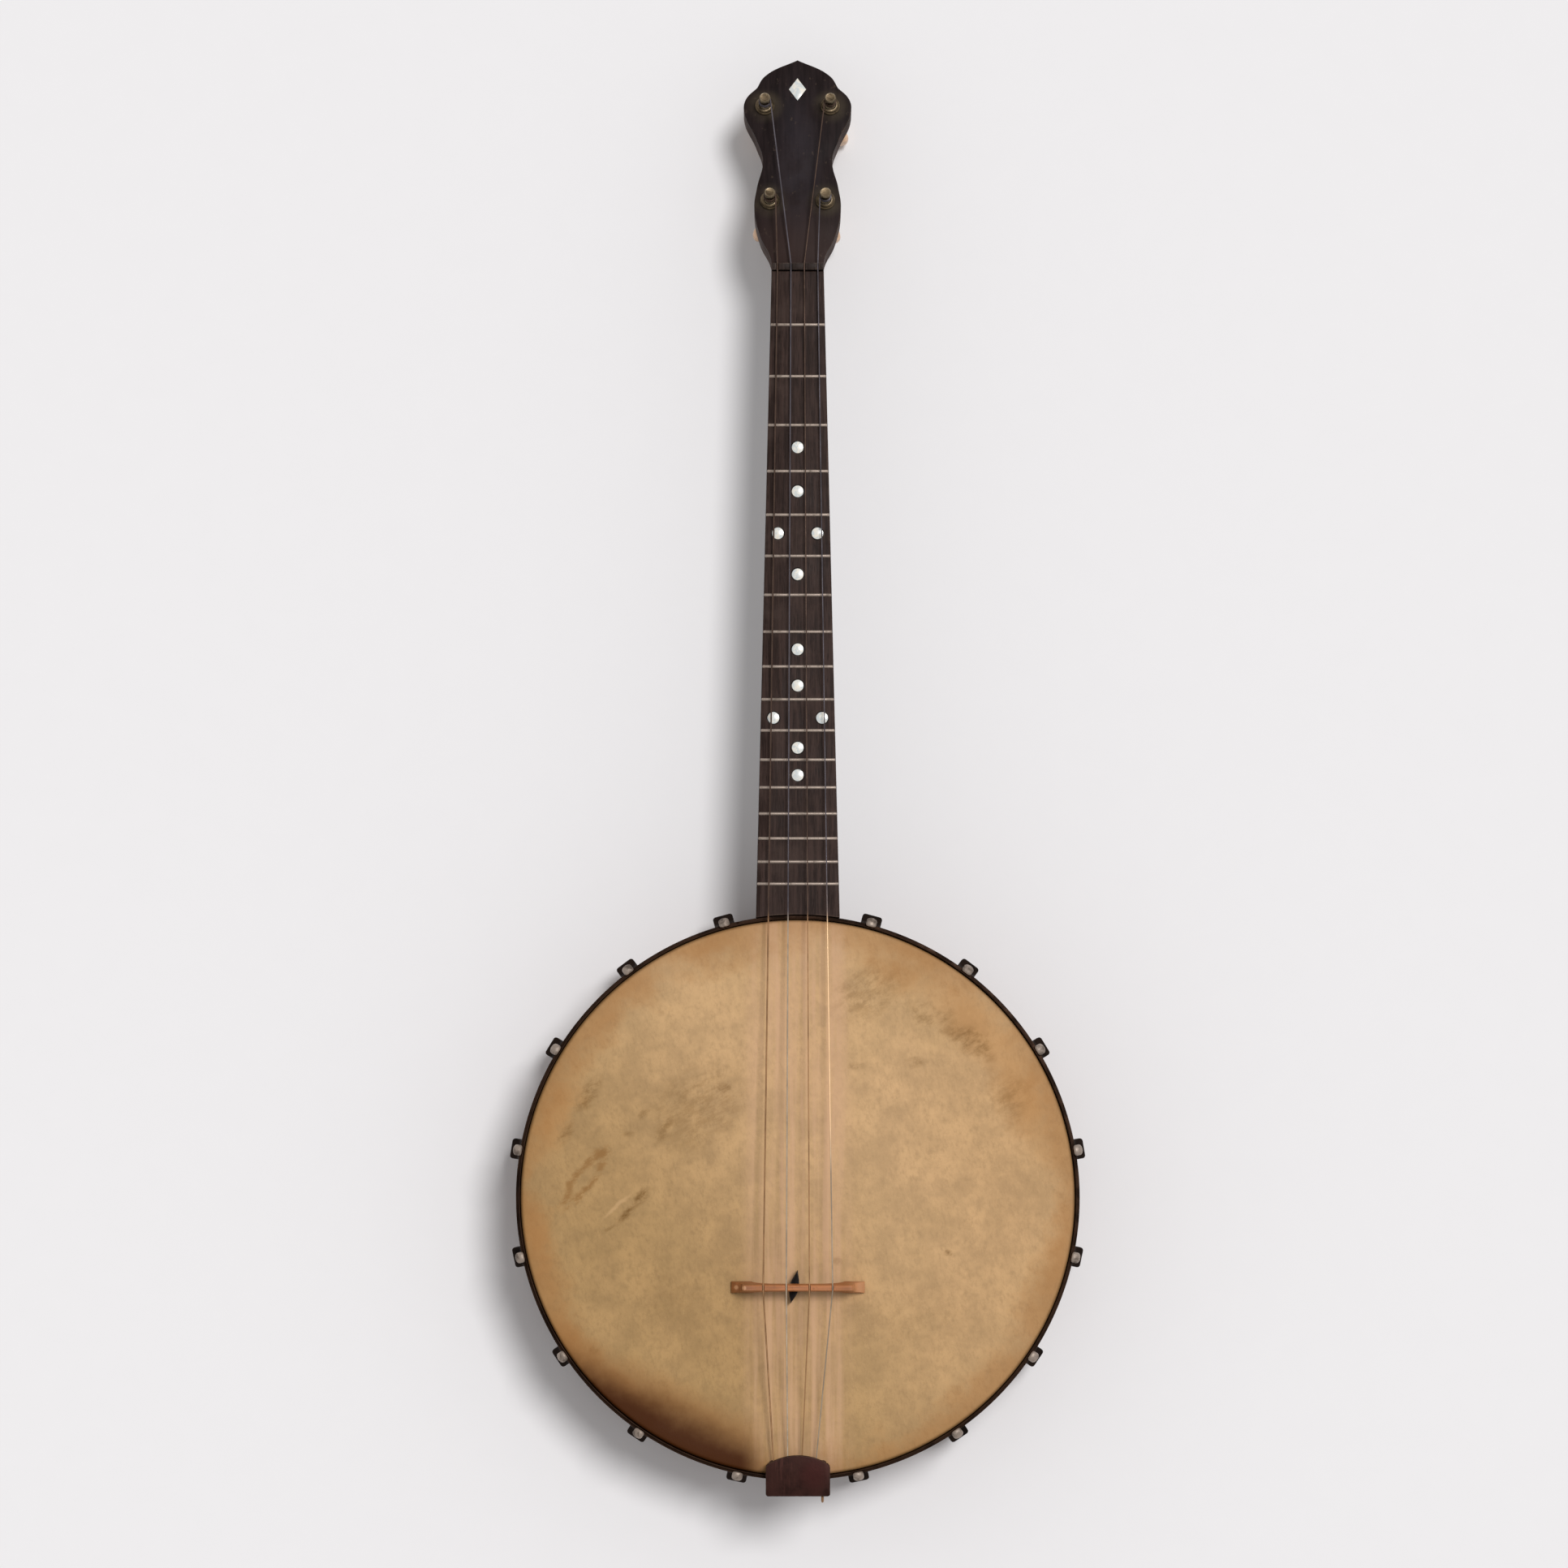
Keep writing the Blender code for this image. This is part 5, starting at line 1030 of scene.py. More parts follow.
def tail_look(brown):
    """Browned tailpiece metal with faint streaks along the strings' direction at its left."""
    look = Look("tail_metal", shade(brown, 0.7), {"Metallic": 0.5, "Specular IOR Level": 0.08})
    cloud = look.noise(120.0, 5.0, 0.62)
    specks = look.noise(900.0, 3.0, 0.6)
    streaks = look.noise(90.0, 3.0, 0.6, stretch=(0.1, 1.4, 0.6))
    look.coat(shade(brown, 1.25), cloud, 0.35, 0.65)
    right = look.away(POT @ Vector((0.008, -0.139, 0)), 0.008, 0.009)
    look.coat(shade(brown, 1.35, 0.92, 1.0), right, 1.3, 0.3, 0.7)
    left = look.away(POT @ Vector((-0.008, -0.139, 0)), 0.007, 0.010)
    look.coat(shade(brown, 2.2), left, 1.3, 0.5, 0.5, mask=look.level(streaks, 0.5, 0.62))
    look.wear((0.16, 0.10, 0.075), 0.0006, specks, 0.3, 0.6, 0.75)
    height = look.total((specks, 0.7), (cloud, 0.6))
    return look.finish(look.level(cloud, 0.3, 0.7, 0.34, 0.55), height, 0.22, 0.0002)


def maple_look(maple, bridge_y, length):
    """Orange-brown maple, darker and spotted at the left foot and paler at the right end."""
    constants = {"Specular IOR Level": 0.4, "Coat Weight": 0.1, "Coat Roughness": 0.3}
    look = Look("maple", shade(maple, 0.72), constants)
    grain = look.noise(30.0, 4.0, 0.65, stretch=(1.2, 0.08, 0.06))
    fleck = look.noise(320.0, 3.0, 0.6, stretch=(0.5, 1, 0.5))
    cloud = look.noise(110.0, 3.0)
    look.coat(shade(maple, 1.22), grain, 0.35, 0.65)
    look.coat(shade(maple, 0.5), fleck, 0.55, 0.72, 0.5)
    across = look.parts(look.place(POT.translation))[0]
    look.coat(shade(maple, 0.5), across, -0.25 * length, -0.45 * length, 0.6)
    pale = [0.2 * part + 0.8 * paler for part, paler in zip(maple, (0.68, 0.36, 0.19))]
    look.coat(pale, across, 0.36 * length, 0.47 * length, 0.7)
    for place in (-0.46, -0.40):
        spot = look.away(POT @ Vector((place * length, bridge_y, 0)), 0.0012, 0.0012)
        look.coat((0.62, 0.34, 0.17), spot, 1.2, 0.5, 0.6)
    look.wear(shade(maple, 1.5), 0.0006, cloud, 0.35, 0.6, 0.7, least=0.2)
    return look.finish(look.level(cloud, 0.3, 0.7, 0.42, 0.58), grain, 0.25, 0.0003)


def floor_look(floor):
    look = Look("floor_paint", shade(floor, 0.995), {"Specular IOR Level": 0.1})
    grain = look.noise(60.0)
    look.coat(floor, grain, 0.3, 0.7)
    return look.finish(look.level(grain, 0.3, 0.7, 0.85, 0.9), grain, 0.02, 0.0004)


def make_looks(banjo):
    """Every material, by the name of what it covers."""
    colours = banjo.colours
    hoop, shoe, steel, bronze = colours.hoop, colours.shoe, colours.steel, colours.bronze
    return {
        "rim": rim_look(colours.rim),
        "brass": metal("tone_brass", colours.brass, (0.10, 0.065, 0.03), 0.6, 0.36),
        "skin": skin_look(colours),
        "hoop": metal(
            "dark_hoop", hoop, shade(hoop, 0.5), 0.6, 0.45, 0.4, wear=shade(hoop, 1.8), gloss=0.06
        ),
        "shoe": metal(
            "dark_shoe", shoe, shade(shoe, 0.45), 0.5, 0.48, 0.5, wear=(0.10, 0.075, 0.058), gloss=0.1
        ),
        "hook": metal("grey_nickel", colours.nickel, (0.135, 0.103, 0.082), 0.5, 0.52, 0.5, patch=160.0),
        "neck": wood("neck_wood", colours.neck, roughness=0.5, wear=(0.13, 0.068, 0.036), gloss=0.05),
        "board": board_look(colours.board),
        "veneer": veneer_look(colours.veneer, POT @ banjo.face_plane),
        "stick": wood("dowel_wood", colours.stick, roughness=0.55),
        "maple": maple_look(colours.maple, banjo.bridge_y, banjo.bridge.length),
        "ebony": wood("ebony", colours.ebony, 0.6, 1.3, wear=(0.13, 0.10, 0.085), gloss=0.06),
        "nut": wood("dark_nut", (0.036, 0.024, 0.020), wear=(0.12, 0.085, 0.07), gloss=0.06),
        "bronze": string_look("wound_bronze", bronze, wrap=0.00022),
        "wound": string_look("wound_steel", steel, wrap=0.0002),
        "steel": string_look("plain_steel", shade(steel, 0.72), painted_highlight=tuple(colours.painted_highlight)),
        "rusted": string_look("plain_rusted", shade(bronze, 0.95)),
        "fret": metal("fret_metal", colours.fret, (0.20, 0.155, 0.125), 0.35, 0.40, 0.5, patch=200.0),
        "pearl": pearl_look(colours.pearl),
        "post": metal(
            "peg_brass", colours.post, (0.060, 0.042, 0.024), 0.55, 0.38, 0.9,
            wear=(0.46, 0.38, 0.27), patch=260.0
        ),
        "button": button_look(colours.button),
        "tail": tail_look(colours.tail),
    }


LOOKS = {}


def look_for(name):
    if not LOOKS:
        LOOKS.update(make_looks(bpy.context.scene.banjo))
    return LOOKS[name]


# Pot


def rim_uv(mesh, radius):
    """A UV map in metres: the way up, and the way round the rim, counted from its neck side."""
    layer = mesh.uv_layers.new(name="UVMap")
    for face in mesh.polygons:
        middle = face.center - POT.translation
        middle_turn = atan2(middle.x, middle.y)
        for loop in face.loop_indices:
            point = mesh.vertices[mesh.loops[loop].vertex_index].co - POT.translation
            turn = atan2(point.x, point.y)
            turn += round((middle_turn - turn) / tau) * tau
            layer.data[loop].uv = (point.z + abs(point.xy.length - radius), turn * radius)


def build_rim(banjo):
    pot, brackets, stick = banjo.pot, banjo.brackets, banjo.stick
    rim = ring(pot.radius, pot.inner, 0, pot.height, pot.steps)
    eased(rim, pot.chamfer, 3, where=below(pot.chamfer))
    eased(rim, 0.0004, 2, where=above(pot.height - pot.chamfer))
    middle, deep = pot.radius - pot.wall / 2, 3 * pot.wall
    bolt_hole = rod(
        brackets.bolt_radius + pot.gap, 2 * pot.wall, (middle, 0, brackets.bolt_height), "X"
    )
    dowel_hole = block(
        (stick.width + 2 * pot.gap, deep, stick.thickness + 2 * pot.gap), (0, middle, stick.height)
    )
    tail_hole = rod(banjo.tail.bolt + pot.gap, deep, (0, -middle, stick.height), "Y")
    rim = cut(rim, copied(bolt_hole, banjo.bracket_turns()), dowel_hole, tail_hole)
    made = shown("rim_wood", rim, "rim", "rim")
    rim_uv(made.data, pot.radius)


def build_tone_ring(banjo):
    pot = banjo.pot
    brass = ring(pot.radius, pot.radius - pot.tone_wall, pot.tone_bottom, pot.tone_top, pot.steps)
    eased(brass, pot.tone_wall / 4, 4, where=above(pot.tone_bottom + pot.gap))
    shown("brass_ring", brass, "brass", "tone_ring")


def build_skin(banjo):
    """The skin's face, its collar over the tone ring and the roll round its flesh hoop."""
    pot = banjo.pot
    rounding = pot.skin + pot.tone_wall / 4
    corner = (pot.skin_outer - rounding, pot.skin_top - rounding)
    face_rings = 46
    radii = [corner[0] * step / face_rings for step in range(face_rings + 1)]
    roll = pot.flesh_size / 2
    profile = [
        *[(radius, pot.skin_top) for radius in radii],
        *arc(corner, rounding, 75, 0, 6),
        (pot.skin_outer, pot.flesh_top + 0.001),
        (pot.skin_outer + 0.0001, pot.flesh_top),
        *arc((pot.skin_inner + roll, pot.flesh_bottom + roll), roll, 80, -180, 14),
        (pot.skin_inner, pot.flesh_bottom + roll),
        *arc(corner, rounding - pot.skin, 0, 75, 6),
        *[(radius, pot.skin_top - pot.skin) for radius in reversed(radii)],
    ]
    skin = turned(profile, pot.steps)
    for vertex in skin.verts:
        reach = vertex.co.xy.length
        if reach < corner[0] and vertex.co.z > pot.skin_top - 2 * pot.skin:
            fade = 1 - (reach / corner[0]) ** 6
            wave = noise.noise(Vector((vertex.co.x * 24, vertex.co.y * 24, 3.1)))
            vertex.co.z += pot.skin_wave * fade * (wave - 0.6)
    made = shown("skin", skin, "skin", "skin_head", sharp_from=radians(60))


def build_hoop(banjo):
    pot = banjo.pot
    lip = pot.hoop_inner + pot.hoop_lip
    ledge, bottom = pot.hoop_top - pot.hoop_ledge, pot.flesh_top + pot.gap
    profile = [
        (pot.hoop_inner, pot.hoop_top), (lip, pot.hoop_top), (lip, ledge),
        (pot.hoop_outer, ledge), (pot.hoop_outer, bottom), (pot.hoop_inner, bottom)
    ]
    hoop = eased(turned(profile, pot.steps), 0.00022, 3)
    shown("hoop", hoop, "hoop", "tension_hoop")


# Brackets


def hook_shape(banjo):
    """A hook that lies on +X: its claw on the hoop's ledge, then its rod, thread and nut."""
    pot, sizes = banjo.pot, banjo.brackets
    out = banjo.hook_reach
    claw = pot.hoop_top - pot.hoop_ledge + pot.gap + sizes.rod
    bend_x, bend_z = out - sizes.bend, claw - sizes.bend
    tip = pot.hoop_inner + pot.hoop_lip + pot.gap
    nut_top = sizes.shoe_bottom - pot.gap
    sections = []

    def section(x, z, turn=pi, share=1.0, wide=1.0):
        form = scaling(sizes.rod * share, sizes.rod * share * wide)
        sections.append(shift(x, 0, z) @ rotation("Y", turn) @ form)

    flat = sizes.claw_width / (2 * sizes.rod)
    for share, reach in ((0.55, 0.0), (0.82, 0.0002), (0.95, 0.0005), (1.0, 0.0010)):
        section(tip + reach, claw, pi / 2, share, flat)
    for turn in (pi / 2 * step / 8 for step in range(9)):
        x, z = bend_x + sizes.bend * sin(turn), bend_z + sizes.bend * cos(turn)
        section(x, z, pi / 2 + turn, 1.0, flat)
    for step in range(1, 6):
        wide = flat + (1 - flat) * (0.5 - 0.5 * cos(pi * step / 5))
        section(out, bend_z - 0.0016 * step, wide=wide)
    section(out, nut_top + 0.006)
    thread_top = nut_top + 0.005
    for ridge in range(round((thread_top - sizes.thread_end) / sizes.pitch)):
        z = thread_top - ridge * sizes.pitch
        section(out, z, share=0.88)
        section(out, z - sizes.pitch / 2)
    section(out, sizes.thread_end + 0.0001, share=0.8)
    nut_middle = (out, 0, nut_top - sizes.hex_length / 2)
    return gathered(swept(sections, 14), hexagon(sizes.hex_radius, sizes.hex_length, nut_middle))


def shoe_shape(banjo):
    """A shoe that lies on +X, with the bolt and nut that hold it to the rim."""
    pot, sizes = banjo.pot, banjo.brackets
    foot = pot.radius + pot.gap
    out = banjo.hook_reach
    reach = out + sizes.rod + pot.gap + sizes.shoe_lip
    bottom, half = sizes.shoe_bottom, sizes.shoe_width / 2
    lug_top, top = bottom + sizes.lug_height, bottom + sizes.shoe_height
    side = [
        (foot, bottom), (reach, bottom), (reach, lug_top),
        (foot + half, lug_top + 0.12 * sizes.shoe_height),
        (foot + 2 * sizes.shoe_wall, top - 0.001), (foot + sizes.shoe_wall, top), (foot, top)
    ]
    body = extruded(polygon([(x, -half, z) for x, z in side]), (0, sizes.shoe_width, 0))
    front = reach - 10 * WELD
    tall = climbing(sizes.lug_height / 2)
    eased(body, 0.0015, 4, where=lambda e: tall(e) and min(v.co.x for v in e.verts) > front)
    eased(body, 0.0007, 3, over=radians(25))
    hole = rod(sizes.rod + pot.gap, 2 * sizes.shoe_height, (out, 0, lug_top), sides=20)
    inner_end = banjo.inside_rim(sizes.bolt_nut) - sizes.bolt_nut_height
    start, end = foot + 0.001, inner_end - 0.0008
    place = ((start + end) / 2, 0, sizes.bolt_height)
    bolt = rod(sizes.bolt_radius, start - end, place, "X", 20, 0.0003)
    place = (inner_end + sizes.bolt_nut_height / 2, 0, sizes.bolt_height)
    nut = hexagon(sizes.bolt_nut, sizes.bolt_nut_height, place, "X")
    return gathered(cut(body, hole), bolt, nut)


def build_brackets(banjo):
    hook, shoe = hook_shape(banjo), shoe_shape(banjo)
    for number, turn in enumerate(banjo.bracket_turns(), 1):
        for kind, model, slot in (("hook", hook, "grey_metal"), ("shoe", shoe, "dark_metal")):
            name = f"{kind}_{number:02}"
            shown(name, moved(model.copy(), turn), kind, f"bracket_{name}")


# Stick and brace


def build_stick(banjo):
    pot, sizes = banjo.pot, banjo.stick
    front, back = pot.radius + sizes.tenon, -banjo.inside_rim(sizes.tail_width / 2)
    middle = (0, (front + back) / 2, sizes.height)
    stick = block((sizes.width, front - back, sizes.thickness), middle)
    for vertex in stick.verts:
        if vertex.co.y < 0:
            vertex.co.x *= sizes.tail_width / sizes.width
    shown("stick", eased(stick, 0.0012, 3), "stick", "dowel_stick")

    sheet, width, lug, bolt = sizes.brace_sheet, sizes.brace_width, sizes.brace_lug, sizes.bolt_radius
    base_top = sizes.height - sizes.thickness / 2 - pot.gap
    base_bottom = base_top - sheet
    rim_side = banjo.inside_rim(bolt)
    lug_y = rim_side - sizes.lug_setback
    bolt_z, bolt_end = base_top - lug / 2 - sheet / 2, lug_y - 4 * sheet
    base_middle = (0, lug_y - sizes.brace_length / 2, (base_top + base_bottom) / 2)
    pieces = [
        block((width, sizes.brace_length, sheet), base_middle, 0.0006, 3),
        block((width, 2 * sheet, lug), (0, lug_y - sheet, base_top - lug / 2), 0.0008, 3),
        rod(bolt, rim_side - bolt_end, (0, (rim_side + bolt_end) / 2, bolt_z), "Y", edge=0.0004),
        hexagon(2 * bolt, 2 * sheet, (0, rim_side - 2 * sheet, bolt_z), "Y"),
    ]
    head, slot = 0.0009, 0.0006
    for y in (lug_y - share * sizes.brace_length for share in (0.45, 0.8)):
        screw = rod(sizes.screw_radius, head, (0, y, base_bottom - head / 3), edge=head / 3)
        slit = block((slot, 2.4 * sizes.screw_radius, head), (0, y, base_bottom - head))
        pieces.append(cut(screw, slit))
    shown("brace", gathered(*pieces), "hook", "neck_brace")


# Neck


def neck_section(banjo, y):
    """Half width, top and bottom of the neck at a distance from the pot's middle."""
    pot, neck = banjo.pot, banjo.neck
    top = banjo.shaft_top(y)
    along = (y - pot.hoop_outer) / neck.length
    if y <= banjo.nut_y:
        heel = (pot.radius + neck.heel_length - y) / (neck.heel_length - neck.heel_foot)
        heel = min(max(heel, 0.0), 1.0)
        depth = neck.depth_at_heel + (neck.depth_at_nut - neck.depth_at_heel) * along
        depth += (top - neck.heel_bottom - depth) * heel**1.6
        return banjo.half_width(y), top, top - depth
    share = (y - banjo.nut_y) / neck.volute
    slab_top = banjo.face_height(y, -neck.veneer - pot.gap)
    slab_bottom = banjo.face_height(y, -neck.veneer - pot.gap - neck.head_thickness)
    shaft_bottom = banjo.shaft_top(banjo.nut_y) - neck.depth_at_nut
    bottom = min(shaft_bottom + (slab_bottom - shaft_bottom) * share, shaft_bottom)
    if y > banjo.nut_y + neck.nut_thickness + pot.gap:
        top = min(top, slab_top - 0.001)
    return banjo.half_width(banjo.nut_y) * (1 - 0.25 * share), top, bottom


def spread(start, end, steps):
    """Numbers at even steps, from start to end."""
    return [start + (end - start) * step / steps for step in range(steps + 1)]


def neck_blank(banjo):
    """Heel, shaft and volute: rings shaped to flat-topped sections, and bridged."""
    pot, neck = banjo.pot, banjo.neck
    heel_foot, heel_end = pot.radius + neck.heel_foot, pot.radius + neck.heel_length
    seat_end = banjo.nut_y + neck.nut_thickness + pot.gap
    stations = [
        pot.radius - pot.wall,
        *spread(heel_foot, heel_end, 20),
        *spread(heel_end, banjo.nut_y, 14)[1:],
        *spread(seat_end, banjo.nut_y + neck.volute, 8),
    ]
    sides, roundness = 56, 2 / 2.4
    shape = bmesh.new()
    rings = []
    for y in stations:
        half, top, bottom = neck_section(banjo, y)
        vertices, edges = circle(shape, sides)
        for number, vertex in enumerate(vertices):
            turn = tau * number / sides
            x, z = half * (2 * (turn - pi) / pi - 1), top
            if turn <= pi:
                x = half * abs(cos(turn)) ** roundness * (1 if cos(turn) > 0 else -1)
                z = top - (top - bottom) * max(sin(turn), 0.0) ** roundness
            vertex.co = (x, y, z)
        rings.append(edges)
    return bridged(shape, rings)


def headstock_plate(banjo, bottom, top):
    """The headstock's outline, tip first, between two heights."""
    length, half_nut = banjo.neck.head_length, banjo.neck.nut_width / 2
    shoulder, upper, waist, lower = 0.0209, 0.0277, 0.0179, 0.0223
    right_half = [
        (0, length, True),
        (0.82 * shoulder, length - 0.0092, False),
        (shoulder, length - 0.0154, True),
        (0.97 * upper, length - 0.0221, False),
        (upper, length - 0.0284, False),
        (1.2 * waist, length - 0.0436, False),
        (waist, length - 0.0556, False),
        (0.94 * lower, length - 0.0708, False),
        (lower, length - 0.0817, False),
        (0.86 * lower, length - 0.0978, False),
        (1.03 * half_nut, length - 0.1096, False),
        (half_nut, banjo.neck.nut_thickness, True),
    ]
    return thickened(flat_outline(right_half, 9), bottom, top)


def pot_cutter(banjo):
    """Fills the pot: the rim's radius below the flesh hoop, the tension hoop's above it."""
    pot = banjo.pot
    above_step, below_step = pot.hoop_outer + pot.gap, pot.radius + pot.gap
    step, top, bottom = pot.flesh_bottom - 2 * pot.gap, 2 * pot.hoop_top, -pot.height / 2
    profile = [
        (0, top), (above_step, top), (above_step, step), (below_step, step),
        (below_step, bottom), (0, bottom)
    ]
    return turned(profile, pot.steps)


def nut_seat(banjo):
    """Squares off the headstock behind the nut."""
    reach = banjo.neck.nut_width
    bottom = banjo.shaft_top(banjo.nut_y)
    back = banjo.nut_y + banjo.neck.nut_thickness + banjo.pot.gap
    return block((2 * reach, reach, reach), (0, back - reach / 2, bottom + reach / 2))


def peg_bores(banjo):
    radius = banjo.pegs.shaft + banjo.pot.gap
    depth = 4 * (banjo.neck.head_thickness + banjo.neck.veneer)
    places = [shift(across, along) for _, across, along, _ in PEGS.values()]
    return moved(copied(rod(radius, depth), places), banjo.face_plane)


def build_neck(banjo):
    pot, neck, stick = banjo.pot, banjo.neck, banjo.stick
    slab_top = -(neck.veneer + pot.gap)
    slab_bottom = slab_top - neck.head_thickness
    slab = headstock_plate(banjo, slab_bottom, slab_top)
    eased(slab, 0.0010, 3, where=below(slab_bottom + neck.head_thickness / 2))
    double_gap = 2 * pot.gap
    mortise = block(
        (stick.width + double_gap, 2 * stick.tenon + double_gap, stick.thickness + double_gap),
        (0, pot.radius, stick.height),
    )
    shape = combined("UNION", neck_blank(banjo), moved(slab, banjo.face_plane))
    shape = cut(shape, pot_cutter(banjo), nut_seat(banjo), mortise, peg_bores(banjo))
    shown("neck_wood", shape, "neck", "neck")


def build_headstock_face(banjo):
    neck = banjo.neck
    face = headstock_plate(banjo, -neck.veneer, 0)
    eased(face, 0.0005, 3, where=above(-neck.veneer / 2))
    face = cut(moved(face, banjo.face_plane), peg_bores(banjo), nut_seat(banjo))
    shown("headstock_face", face, "veneer", "headstock_overlay")
    lozenge = eased(moved(rod(neck.lozenge, 0.0004, sides=4), scaling(0.72, 1.0)), 0.00012, 2)
    moved(lozenge, banjo.face_plane @ shift(0, neck.lozenge_place, -0.0001))
    shown("pearl_lozenge", lozenge, "pearl")


def build_board(banjo):
    pot, neck = banjo.pot, banjo.neck
    start, end = -0.012, (neck.length - pot.gap) / cos(neck.pitch)
    corners = ((1, start), (1, end), (-1, end), (-1, start))
    board = polygon([(side * banjo.half_width(pot.hoop_outer + y), y, 0) for side, y in corners])
    eased(thickened(board, -neck.board, 0), 0.0007, 3, where=above(-WELD))
    board = cut(moved(board, banjo.board_plane), pot_cutter(banjo))
    shown("board", board, "board", "fingerboard")

    # Share of a fret's half length, and share of its section there
    fret_ends = ((0.97, 1), (0.99, 0.8), (1, 0.35))
    fret_form = [(-reach, share) for reach, share in reversed(fret_ends)]
    fret_form += [(-0.5, 1), (0, 1), (0.5, 1), *fret_ends]
    wires = []
    for number in range(1, FRETS + 1):
        y = banjo.nut_y - neck.scale * (1 - 2 ** (-number / 12))
        half = banjo.half_width(y) - 0.0002
        along = (y - pot.hoop_outer) / cos(neck.pitch)
        sections = [
            shift(half * reach, along) @ AXIS_TURNS["X"]
            @ scaling(neck.fret_height * share, neck.fret_width / 2 * share)
            for reach, share in fret_form
        ]
        wires.append(swept(sections, 16))
    frets = moved(gathered(*wires), banjo.board_plane)
    shown("fret_wires", frets, "fret")

    radius, thickness = neck.dot_radius, 0.0004
    places = [shift(x, (y - pot.hoop_outer) / cos(neck.pitch)) for x, y in DOT_PLACES]
    dot = rod(radius, thickness, (0, 0, -0.0001), sides=40, edge=0.0001)
    shown("pearl_dots", moved(copied(dot, places), banjo.board_plane), "pearl")
    filler = sleeve(
        radius + neck.dot_rim, radius - 0.0002, thickness, (0, 0, -0.00015), sides=40, edge=0.00004
    )
    shown("dot_fillers", moved(copied(filler, places), banjo.board_plane), "ebony")


def build_nut(banjo):
    pot, neck = banjo.pot, banjo.neck
    face = banjo.board_top(banjo.nut_y)
    bottom = banjo.shaft_top(banjo.nut_y) + pot.gap
    top = face + neck.nut_rise
    half = neck.nut_width / 2
    outline = [(-half, bottom), (-half, top)]
    for side, radius in zip(STRING_SIDES, STRING_RADII):
        middle, reach = side * banjo.strings.at_nut, radius + pot.gap
        low = face + neck.string_rise - reach
        left, right = middle - reach, middle + reach
        outline += [(left, top), (left, low), (right, low), (right, top)]
    outline += [(half, top), (half, bottom)]
    nut = extruded(polygon([(x, banjo.nut_y, z) for x, z in outline]), (0, neck.nut_thickness, 0))
    shown("nut_block", eased(nut, 0.00016, 2), "nut", "nut")


# Pegs


def peg_metal(banjo):
    """A peg's cap, post, shaft, washer and stem, and the screw that holds its button."""
    neck, gap, sizes = banjo.neck, banjo.pot.gap, banjo.pegs
    cap, post, washer, stem = sizes.cap, sizes.post, sizes.washer, sizes.stem
    top, cap_bottom = sizes.post_height, sizes.post_height - sizes.cap_height
    ferrule_top = gap + sizes.ferrule_height
    washer_top = -(neck.veneer + neck.head_thickness + 2 * gap)
    washer_bottom = washer_top - sizes.washer_height
    button_middle = sizes.button_length / 2 - sizes.behind
    profile = [
        (0, top - 0.0002), (0.55 * cap, top - 0.0001), (cap - 0.0005, top), (cap, top - 0.0005),
        (cap, cap_bottom + 0.0003), (cap - 0.0004, cap_bottom), (post, cap_bottom - 0.0001),
        (0.93 * post, (cap_bottom + ferrule_top) / 2), (post, ferrule_top + 0.0006),
        (sizes.shaft, ferrule_top + 0.0001), (sizes.shaft, washer_top),
        (washer - 0.0003, washer_top), (washer, washer_top - 0.0003), (washer, washer_top - 0.0016),
        (washer - 0.0003, washer_top - 0.0019), (0.86 * washer, washer_top - 0.0020),
        (0.86 * washer, washer_bottom + 0.0010), (0.80 * washer, washer_bottom + 0.0002),
        (0.72 * washer, washer_bottom), (stem, washer_bottom - 0.0001),
        (0.9 * stem, washer_bottom - 0.0045),
        (1.05 * stem, button_middle + 0.9 * sizes.button_length / 2),
        (1.05 * stem, button_middle), (0, button_middle)
    ]
    hole_place = (0, 0, (cap_bottom + ferrule_top) / 2 + 0.0012)
    string_hole = rod(0.0006, 4 * post, hole_place, "X", 12)
    button_end = button_middle - sizes.button_length / 2
    screw = rod(0.0019, 0.0010, (0, 0, button_end - 0.00005), edge=0.0003)
    slit = block((0.0005, 0.006, 0.0008), (0, 0, button_end - 0.0006))
    return gathered(cut(turned(profile, 40), string_hole), cut(screw, slit))


def peg_button(sizes):
    """A flattened ball, fuller towards its corners, narrower at its stem and dished in its faces."""
    half = (sizes.button_width / 2, sizes.button_thickness / 2, sizes.button_length / 2)
    fullness = 3.2
    button = bmesh.new()
    bmesh.ops.create_uvsphere(button, u_segments=40, v_segments=24, radius=1.0)
    for vertex in button.verts:
        x, y, z = vertex.co
        full = (abs(x) ** fullness + abs(z) ** fullness) ** (1 / fullness) or 1.0
        stretch = (x * x + z * z) ** 0.5 / full
        shoulder = 1 - 0.16 * max(z, 0.0) ** 2
        dish = 1 - 0.20 * max(0.0, 1 - (x * x + z * z) * 2.2)
        side = (1 if y > 0 else -1) * abs(y) ** 0.72
        vertex.co = (x * stretch * shoulder * half[0], side * dish * half[1], z * stretch * half[2])
    return moved(button, shift(z=half[2] - sizes.behind))


